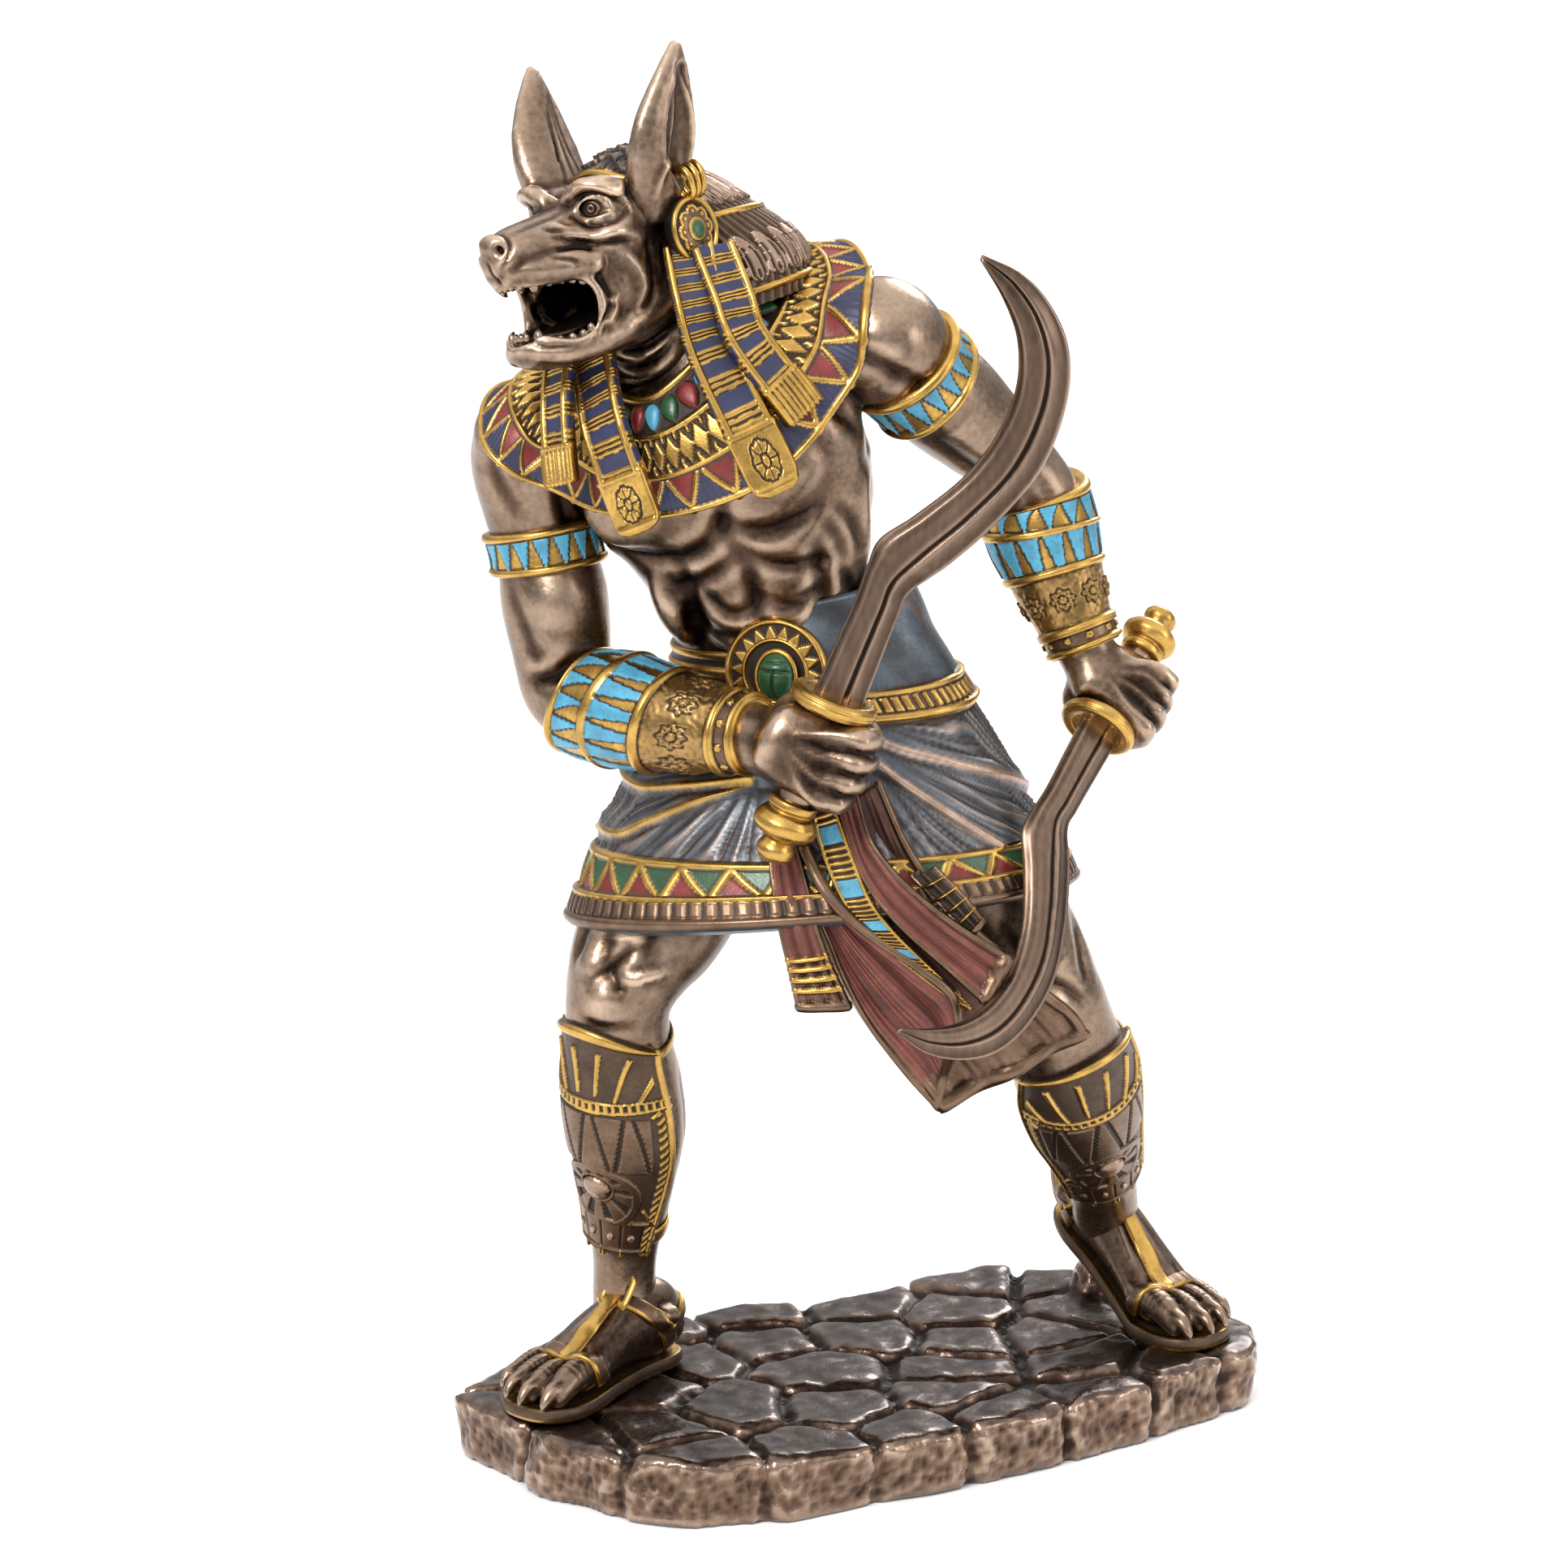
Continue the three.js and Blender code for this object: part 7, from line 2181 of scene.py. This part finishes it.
FOLDS = (
    ClothFold("sash", ((-18.4, -31, 127.5), (-17.7, -34, 120.5), (-16.3, -36, 113.3), (-14.7, -37, 106.5),
                       (-13, -37, 98.7)),
              ((-13.9, -32, 128.5), (-11.8, -35, 121.6), (-10, -37, 114.3), (-7.6, -38, 107.6), (-3.8, -37, 98.8)),
              Hue.WINE, 1.6, 0.9, 0.5, (0.70, 0.765, 0.83, 0.895), Hue.BRONZE, Hue.BRONZE),
    ClothFold("apron_left", ((-14.7, -31, 128.2), (-11.3, -34, 119.7), (-7.5, -35, 111.4), (-4.1, -35, 102.8),
                             (1.2, -33, 92.7), (7.7, -31, 83.4), (13.5, -29, 76.2)),
              ((-12.6, -33, 129.2), (-8.7, -37, 122.1), (-3.5, -39, 116.6), (3.3, -41, 112), (10, -42, 107.6),
               (16.2, -42, 102.1), (17.4, -39.6, 92.4)),
              Hue.WINE, -1.6, 1.1, 1.1),
    ClothFold("apron_right", ((-5.3, -31, 136.8), (-1.6, -35, 126.2), (2.5, -38, 119.9), (7.8, -40, 114.4),
                              (15.3, -41, 107.7), (22.4, -41, 101.1)),
              ((-2.8, -30, 139.6), (-0.1, -34, 131.4), (4.4, -37, 125.6), (10.4, -38.5, 120.1), (17.5, -39, 114.9),
               (26.9, -39, 108.8)),
              Hue.WINE, 1.6, 1.0, 0.9),
    ClothFold("apron_under", ((-12, -29, 131), (-9, -31, 119.7), (-5, -32.6, 111.4), (-1, -32, 102.8), (3, -31, 92.7),
                              (8.7, -30, 84.4), (14.6, -29, 76)),
              ((2, -29, 141), (8, -31, 128), (17, -32.6, 116), (26, -32.6, 108), (33, -31, 101), (39, -29, 95.6),
               (42.3, -26, 90.2)),
              Hue.MAROON, 1.0, 2.0, 1.3, (), Hue.BRONZE, Hue.BRONZE),
    ClothFold("sash_end", ((8.6, -33.6, 123.8), (11.2, -35, 121.6), (14.2, -36.4, 118.7), (16.8, -37.6, 116.3),
                           (19.8, -38, 114.1)),
              ((12.6, -33.6, 125), (14.9, -35, 123), (17.5, -36.4, 120.7), (19.4, -37.6, 118.6), (21.4, -38, 116)),
              Hue.DARK, 1.3, 0.8, 0.2, (0.2, 0.4, 0.6, 0.8)),
)


@dataclass(frozen=True)
class BeadStrip:
    """The beaded strip down the middle of the apron."""

    left: Rows = (
        (-10.6, -32, 134.9), (-8.3, -35.5, 126.8), (-4.6, -38.5, 119.1), (-0.5, -40.5, 114.6), (4, -42, 111),
        (9.2, -42.5, 107), (15.3, -42, 102.4),
    )
    right: Rows = (
        (-6.3, -32, 136.4), (-2.9, -35.5, 127.8), (0.6, -38.5, 119.8), (4.8, -40.5, 114.4), (9.6, -42, 109.7),
        (14.9, -42.5, 104.6), (19.8, -42, 99.4),
    )

    def face(self, u: Array, v: Array) -> Array:
        """The strip's face."""
        a, b = spline(self.left, v), spline(self.right, v)
        place = a + (b - a) * u[:, None]
        place[:, 1] -= 0.6 * np.sin(np.pi * u) - 0.8
        return place

    def build(self, finisher: Finisher, gilt: bpy.types.Material) -> None:
        """Makes the strip."""
        strip = Overlay("bead_strip", self.face, 44, 260, Hue.DARK, 1.6, heart=(0, 0, 120))
        relief, u, v = strip.relief, strip.u, strip.v
        beat = np.mod(v * 5.2 + 0.75, 1)
        relief.inlay(beat < 0.33, Hue.TEAL, 0.25)
        for line in (0.42, 0.55, 0.68, 0.81, 0.93):
            relief.rail(beat - line, 0.035, 0.45)
        relief.rail(np.abs(u - 0.5) - 0.43, 0.07, 0.6)
        strip.finish(finisher, gilt, "gold", 5, 0.2)


# Greaves and sandalled feet

@dataclass(frozen=True)
class Greave:
    """A shin plate with a fan, a studded band, cells, and a boss with rays."""

    name: str
    leg: Limb
    start: float
    end: float
    front: float
    half: float = 0.225
    inner: int = 1

    def skin(self, u: Array, v: Array) -> Array:
        """The plate's face."""
        narrow = 1 - 0.16 * smooth(0.5, 1, v)
        side = (u - 0.5) * 2
        top = 0.10 * np.abs(side) ** 2 * (1 - v)
        return self.leg.wrap(
            self.front + side * self.half * narrow * self.inner, self.start + (self.end - self.start) * (v + top), 1.0,
        )

    def build(self, finisher: Finisher, gilt: bpy.types.Material) -> None:
        """Makes the plate and the straps behind it."""
        middle = self.leg.section(np.array([(self.start + self.end) / 2]))[0][0]
        plate = Overlay(self.name, self.skin, 150, 240, Hue.BRONZE, 1.8, heart=tuple(middle))
        relief, u, v = plate.relief, plate.u, plate.v
        x, y = (u - 0.5) * 27, v * 51
        relief.paint(v > -1, Hue.DARK, 0.6)
        spread, off = np.arctan2(x, 27 - y), np.hypot(x, 27 - y)
        stroke = np.abs(saw(spread / 0.215 + 0.5)) * 0.215 * off
        fan = (y > 3.2) & (off > 14.6) & (np.abs(x) < 11.4)
        relief.rail(np.where(fan, stroke * 22 / off, FAR_OFF), 0.5, 0.6)
        arc = y - (14.8 - 0.012 * x**2)
        relief.inlay(np.abs(arc) < 1.2, Hue.GOLD, 0.5)
        relief.inlay((np.abs(arc + 0.15) < 0.62) & (np.abs(saw(x / 1.25)) < 0.26), Hue.DARK, 0.1)
        cells = (y > 16.6) & (y < 29) & (np.abs(x) < 9.6)
        lean = saw(x / 6.4)
        zig = np.abs(np.abs(lean) * 6.4 - (0.7 + (y - 16.6) * 0.16))
        relief.inlay(cells, Hue.BRONZE, 0.42)
        relief.inlay(cells & (zig < 0.34), Hue.DARK, -0.1)
        arch = np.hypot(x / 1.05, (y - 36.5)) - 7.2
        lower = (y > 24) & (y < 42)
        relief.inlay(lower & (np.abs(arch) < 0.75), Hue.BRONZE, 0.55)
        inside = (arch < -0.75) & lower
        angle = np.arctan2(x, y - 34.2)
        relief.inlay(inside, Hue.DARK, -0.1)
        relief.inlay(inside & (np.abs(saw(angle / TAU * 10)) < 0.3), Hue.BRONZE, 0.4)
        boss = np.hypot(x, y - 34.2)
        relief.inlay(boss < 3.5, Hue.BRONZE, 0.55)
        dome = 0.5 + 1.1 * np.sqrt(np.clip(1 - (boss / 2.6) ** 2, 0, 1))
        relief.height = np.where(boss < 2.6, dome, relief.height)
        relief.paint(boss < 2.6, Hue.PALE, 0.5)
        relief.height = np.where(np.abs(boss - 2.75) < 0.2, 0.0, relief.height)
        foot = y > 42.4
        relief.inlay(foot & (y < 49.4), Hue.BRONZE, 0.15)
        relief.inlay(foot & (np.abs(saw(x / 5.2)) * 5.2 < 0.34) & (y < 49.4), Hue.DARK, -0.15)
        relief.inlay(foot & (np.hypot(saw(x / 5.2 + 0.5) * 5.2, y - 46) < 0.8), Hue.PALE, 0.6)
        for line in (0.825, 0.972):
            relief.rail(v - line, 0.009, 0.5, Hue.BRONZE)
        hatch = np.abs(np.abs(x) - 11.4) < 0.75
        relief.inlay(hatch & (np.abs(saw((y + np.abs(x)) / 1.9)) < 0.27) & (y > 15), Hue.GOLD, 0.45)
        relief.rail(np.abs(x) - 12.9, 0.55, 0.8)
        relief.rail(v - 0.016, 0.016, 0.8)
        plate.finish(finisher, gilt, "gold", 5, 0.24)
        for k, (along, wide) in enumerate(((0.14, 0.012), (0.93, 0.018))):
            def strap(u: Array, v: Array, along: float = along, wide: float = wide) -> Array:
                """A strap right round the leg."""
                place = self.start + (self.end - self.start) * along
                lift = 0.2 + 0.5 * np.sin(TAU * v)
                return self.leg.wrap(u, place + wide * np.cos(TAU * v), lift)

            mesh = bent_grid(f"{self.name}_strap_{k + 1}", strap, 90, 16)
            plain_piece(finisher, mesh.name, mesh, Hue.GOLD, gilt, 5, 0.3)


@dataclass(frozen=True)
class SandalledFoot:
    """A clawed foot on a sandal, with the heel at the origin and the toes ahead along -y."""

    name: str
    heel: tuple[float, float]
    turn: float
    lift: float
    mirror: int
    length: float = 41.0
    foot: Rows = (
        (0, 3.4, 7, 5.2, 5.4), (0, -1, 9.4, 6.2, 8.8), (-0.4, -9, 9.2, 6.3, 7.6), (-0.8, -17, 7.8, 7.2, 5.8),
        (-0.6, -24.5, 6.2, 8.4, 4.2), (0, -30, 5.2, 8.6, 3.2),
    )
    toes: Rows = (
        (5.9, -32.5, 3.1, 1.15), (1.0, -34.6, 2.35, 1.0), (-3.6, -33.6, 2.2, 0.92), (-7.4, -30.6, 2.0, 0.84),
    )
    sole: Rows = (
        (-5.4, 2), (-3.6, 5.2), (0, 6.2), (3.6, 5.2), (5.6, 1), (5.6, -8), (7.2, -18), (9.6, -28), (9.8, -35),
        (6.6, -40), (1, -41.2), (-5, -39.6), (-9, -35), (-10, -28.6), (-8, -20), (-6.2, -10),
    )

    def bend(self, points: Array) -> Array:
        """Lifts the heel."""
        rise = self.lift * np.maximum(0, 1 + points[:, 1] / (self.length * 0.62)) ** 1.15
        return points + np.stack([np.zeros(len(points)), np.zeros(len(points)), rise], 1)

    def matrix(self) -> Matrix:
        """The foot's frame in the stance frame."""
        return (
            Matrix.Translation((*self.heel, BASE_TOP - 0.2)) @ Matrix.Rotation(math.radians(-self.turn), 4, "Z")
            @ Matrix.Diagonal((self.mirror, 1, 1, 1))
        )

    def build_foot(self, finisher: Finisher, bronze: bpy.types.Material) -> BVHTree:
        """Makes the foot with its toes and claws and returns its skin in the foot's own frame."""
        mass = Sculpture(f"{self.name}_foot", 0.46)
        mass.bend = self.bend
        mass.limb(self.foot, (1, 0, 0), 0.08, 0.5)
        for x, y, radius, size in self.toes:
            mass.limb((
                (x * 0.86, y + 9.5, 6.4, radius * 0.9, radius * 0.9), (x * 0.95, y + 4.5, 7.2, radius, radius),
                (x, y + 1, 7.0 * size**0.3, radius * 1.02, radius),
                (x * 1.03, y - 2.6 * size, 5.6, radius * 0.92, radius * 0.86),
                (x * 1.05, y - 4.4 * size, 4.4, radius * 0.8, radius * 0.72),
            ), (1, 0, 0), 0.06, 0.7)
            mass.limb((
                (x * 1.04, y - 2.6 * size, 6.8, radius * 0.62, radius * 0.5),
                (x * 1.05, y - 5.2 * size, 6.0, radius * 0.56, radius * 0.5),
                (x * 1.05, y - 7.0 * size, 4.2, radius * 0.36, radius * 0.34),
                (x * 1.05, y - 7.6 * size, 2.9, radius * 0.12, radius * 0.12),
            ), (1, 0, 0), 0.05, 0.4)
        mass.limb(((5.6, -4, 12, 2.0, 2.2), (6.0, -1, 11.6, 2.2, 2.4)), (0, 0, 1))
        mass.limb(((-5.6, -3, 11, 2.0, 2.2), (-6.0, 0, 10.6, 2.2, 2.4)), (0, 0, 1))
        mass.fuse(2)
        strokes = []
        for (x1, y1, *_), (x2, y2, *_) in zip(self.toes, self.toes[1:]):
            x, y = (x1 + x2) / 2, (y1 + y2) / 2
            strokes.append(Stroke(((x * 0.8, y + 10, 9.5), (x, y + 4, 8), (x, y - 1, 6)), 0.7, -0.7))
        for x, y, radius, size in self.toes:
            for step in (-0.2, 1.0, 2.2):
                wrinkle = (x - radius * 0.8, y + step, 7.4), (x, y + step - 0.3, 9.2), (x + radius * 0.8, y + step, 7.4)
                strokes.append(Stroke(wrinkle, 0.32, -0.22))
            strokes.append(Stroke(((x * 0.35, y + 22, 15), (x * 0.7, y + 12, 11)), 0.9, 0.4))
        bent = [Stroke(tuple(map(tuple, self.bend(np.asarray(s.path, float)))), s.reach, s.height) for s in strokes]
        mass.carve(bent)
        tree = skin_tree(mass.mesh)
        self.set_down(mass.mesh)
        mass.mesh.update()
        finisher.bronze(mass.mesh, bronze, 8, 0.4)
        return tree

    def build_sandal(self, finisher: Finisher, gilt: bpy.types.Material, tree: BVHTree) -> None:
        """Makes the sole and straps."""
        def sole(u: Array, v: Array) -> Array:
            """The sole's skin: its underside, its edge and its top."""
            rim = ring_spline([(*p, 0) for p in self.sole], u)
            top = v > 0.62
            reach = np.where(v < 0.38, v / 0.38, np.where(top, (1 - v) / 0.38, 1.0))
            level = np.where(v < 0.38, 0.0, np.where(top, SOLE_THICK, (v - 0.38) / 0.24 * SOLE_THICK))
            swell = 0.35 * np.sin(np.pi * np.clip((v - 0.38) / 0.24, 0, 1))
            middle = np.stack([np.zeros(len(u)), np.clip(rim[:, 1], -31, -3), np.zeros(len(u))], 1)
            place = middle + (rim - middle) * (reach * 0.985)[:, None] + unit(rim - middle) * swell[:, None]
            place[:, 2] = level
            return self.bend(place)

        mesh = bent_grid(f"{self.name}_sole", sole, 140, 42)
        v = read_share(mesh, "down")
        relief = Relief(len(v), Hue.BRONZE)
        relief.paint(v > -1, Hue.DARK, 0.5)
        relief.paint((np.abs(v - 0.66) < 0.035) | (np.abs(v - 0.42) < 0.02), Hue.GOLD)
        self.hand_over(finisher, mesh, relief, gilt)
        straps = (
            ("toe_strap", ((9.6, -24, 3), (8.6, -26.5, 8), (3, -28, 10.6), (-3.6, -26.4, 9.6), (-9, -22, 4)), 1.8),
            ("long_strap", ((1.6, -29, 10), (0.8, -20, 13.4), (0, -13.4, 16.6), (0, -9, 18.4)), 1.8),
            ("ankle_strap", ((6.6, 0, 4), (6.8, -4, 10), (4.8, -9, 15.6), (0, -11, 17.6), (-4.8, -9, 15.4),
                             (-6.8, -4, 10), (-6.4, 0, 4)), 1.9),
            ("heel_strap", ((6.6, -2, 8), (5.6, 4, 12), (0, 8, 13), (-5.6, 4, 12), (-6.6, -2, 8)), 1.2),
        )
        for name, path, half in straps:
            laid = self.bend(np.asarray(path, float))
            mesh = ribbon(f"{self.name}_{name}", tree, laid, half, 0.7, 0.15)
            u = read_share(mesh, "across")
            relief = Relief(len(u), Hue.BRONZE)
            relief.paint(np.abs(np.cos(TAU * u)) > (0.0 if name == "long_strap" else 0.5), Hue.GOLD)
            self.hand_over(finisher, mesh, relief, gilt)

        def buckle(u: Array, v: Array) -> Array:
            """The square ring where the straps meet."""
            corner = 3.0 * (np.abs(np.cos(TAU * u)) ** 6 + np.abs(np.sin(TAU * u)) ** 6) ** (-1 / 6)
            reach = corner + 0.8 * np.cos(TAU * v)
            place = np.stack([reach * np.cos(TAU * u), -10.6 + 0.6 * reach * np.sin(TAU * u),
                              17.8 + 0.8 * reach * np.sin(TAU * u) + 0.8 * np.sin(TAU * v)], 1)
            return self.bend(place)

        mesh = bent_grid(f"{self.name}_strap_ring", buckle, 72, 16)
        self.hand_over(finisher, mesh, Relief(len(mesh.vertices), Hue.GOLD), gilt)

    def set_down(self, mesh: bpy.types.Mesh) -> None:
        """Moves a mesh from the foot's frame to the stance frame, with its faces outwards."""
        mesh.transform(self.matrix())
        if self.mirror < 0:
            mesh.flip_normals()

    def hand_over(self, finisher: Finisher, mesh: bpy.types.Mesh, relief: Relief, gilt: bpy.types.Material) -> None:
        """Dresses a mesh, places it and makes it a piece."""
        dress(mesh, relief, 5, 0.25)
        self.set_down(mesh)
        finisher.piece(mesh.name, mesh, gilt, "gold")

    def build(self, finisher: Finisher, bronze: bpy.types.Material, gilt: bpy.types.Material) -> None:
        """Makes the foot and its sandal."""
        self.build_sandal(finisher, gilt, self.build_foot(finisher, bronze))


GREAVES = (
    Greave("right_greave", RIGHT_LEG, 0.385, 0.865, 0.345),
    Greave("left_greave", LEFT_LEG, 0.42, 0.845, 0.185, 0.225, -1),
)
FEET = (
    SandalledFoot("right", (-42.5, -0.5), 38, 0, 1), SandalledFoot("left", (45.5, 41), -37, 12.6, -1),
)


# The studio

@dataclass(frozen=True)
class Studio:
    """A pale floor, soft lights and the camera."""

    elevation: float = 15.0
    azimuth: float = -27.0
    distance: float = 1300.0
    right_offset: float = -16.0
    near_offset: float = 27.0
    height: float = 140.0
    lens: float = 156.2
    sensor: float = 36.0

    def camera(self) -> None:
        """Places the camera at the photograph's angle."""
        azimuth, elevation = math.radians(self.azimuth), math.radians(self.elevation)
        right = Vector((math.cos(azimuth), math.sin(azimuth), 0))
        near = Vector((math.sin(azimuth), -math.cos(azimuth), 0))
        target = right * self.right_offset + near * self.near_offset + Vector((0, 0, self.height))
        back = near * math.cos(elevation) + Vector((0, 0, math.sin(elevation)))
        data = bpy.data.cameras.new("camera")
        data.lens, data.sensor_width = self.lens, self.sensor
        data.clip_start, data.clip_end = 0.05, 20
        camera = bpy.data.objects.new("camera", data)
        camera.location = (target + back * self.distance) * MM
        camera.rotation_euler = back.to_track_quat("Z", "Y").to_euler()
        bpy.context.scene.collection.objects.link(camera)
        bpy.context.scene.camera = camera

    def softbox(self, name: str, place: Triple, width: float, power: float, warmth: Triple = (1, 1, 1)) -> None:
        """Hangs a soft light that faces the figure.

        Args:
            name: Its name.
            place: Where it hangs, in metres.
            width: Its side in metres.
            power: Its power in watts.
            warmth: Its colour.
        """
        data = bpy.data.lights.new(name, "AREA")
        data.shape, data.size, data.energy, data.color = "SQUARE", width, power, warmth
        light = bpy.data.objects.new(name, data)
        light.location = place
        aim = Vector(place) - Vector((0, 0, 0.14))
        light.rotation_euler = aim.to_track_quat("Z", "Y").to_euler()
        bpy.context.scene.collection.objects.link(light)

    def floor(self) -> None:
        """Lays the pale floor."""
        bm = bmesh.new()
        bmesh.ops.create_grid(bm, x_segments=8, y_segments=8, size=6)
        mesh = bpy.data.meshes.new("floor")
        bm.to_mesh(mesh)
        bm.free()
        floor = bpy.data.objects.new("floor", mesh)
        floor.location = (0, 0, -0.0002)
        bpy.context.scene.collection.objects.link(floor)
        shader = Shader("floor")
        tint = shader.ramp(shader.noise(60.0, 2.0), [(0.3, (0.90, 0.90, 0.90)), (0.7, (0.93, 0.93, 0.93))])
        mesh.materials.append(shader.finish(Base_Color=tint, Roughness=0.8, Specular_IOR_Level=0.2))

    def build(self) -> None:
        """Sets the studio up."""
        self.camera()
        self.floor()
        self.softbox("key", (-1.1, -0.75, 1.2), 0.55, 19)
        self.softbox("fill", (0.9, -1.1, 0.5), 0.6, 4)
        self.softbox("rim", (1.0, 0.9, 0.9), 0.6, 9)
        self.sky()
        bpy.context.scene.view_settings.view_transform = "Standard"

    def sky(self) -> None:
        """Surrounds the studio with soft light that is bright overhead and dim near the floor."""
        world = bpy.data.worlds.new("studio")
        world.use_nodes = True
        tree = world.node_tree
        place = tree.nodes.new("ShaderNodeTexCoord")
        split = tree.nodes.new("ShaderNodeSeparateXYZ")
        ramp = tree.nodes.new("ShaderNodeValToRGB")
        bar = ramp.color_ramp.elements
        bar[0].position, bar[1].position = 0.02, 0.75
        bar[0].color, bar[1].color = (0.16, 0.16, 0.165, 1), (1, 1, 1, 1)
        tree.links.new(place.outputs["Generated"], split.inputs[0])
        tree.links.new(split.outputs["Z"], ramp.inputs[0])
        background = tree.nodes["Background"]
        tree.links.new(ramp.outputs[0], background.inputs["Color"])
        background.inputs["Strength"].default_value = 1.5
        bpy.context.scene.world = world


def main() -> None:
    """Builds the figurine and its studio."""
    logging.basicConfig(level=logging.INFO, format="%(message)s")
    Studio().build()
    finisher = Finisher()
    bronze = BronzeFinish("bronze").make()
    blade = BronzeFinish(
        "blade_bronze", body=(0.098, 0.064, 0.045), worn=(0.36, 0.25, 0.185), rough=0.32, grain=0.25,
        brushed=(1, 1, 0.25),
    ).make()
    dark = BronzeFinish("foot_bronze", body=(0.060, 0.037, 0.025), worn=(0.44, 0.31, 0.22)).make()
    gilt = InlaidFinish("gilt").make()
    cloth = InlaidFinish("kilt_cloth").make()
    apron = InlaidFinish("apron_cloth").make()
    CobbledBase().build(finisher)
    body = Body()
    for sword in body.swords:
        sword.build(finisher, blade, gilt)
    trunk = body.build_trunk()
    skin = skin_tree(trunk.mesh)
    finisher.bronze(trunk.mesh, bronze, 14, 0.5, "figure", body.hands)
    finisher.bronze(body.build_legs().mesh, bronze, 14, 0.5)
    head = JackalHead()
    head.build(finisher, bronze)
    Headdress().build(finisher, gilt, head)
    collar = Collar().build(finisher, gilt, skin)
    for lappet in LAPPETS:
        lappet.build(finisher, gilt, (skin, collar))
    for band in BANDS:
        band.build(finisher, gilt)
    for greave in GREAVES:
        greave.build(finisher, gilt)
    for foot in FEET:
        foot.build(finisher, dark, gilt)
    kilt = Kilt()
    kilt.build_kilt(finisher, cloth)
    kilt.build_buckle(finisher, gilt)
    for fold in FOLDS:
        fold.build(finisher, apron)
    BeadStrip().build(finisher, gilt)


if __name__ == "__main__":
    main()
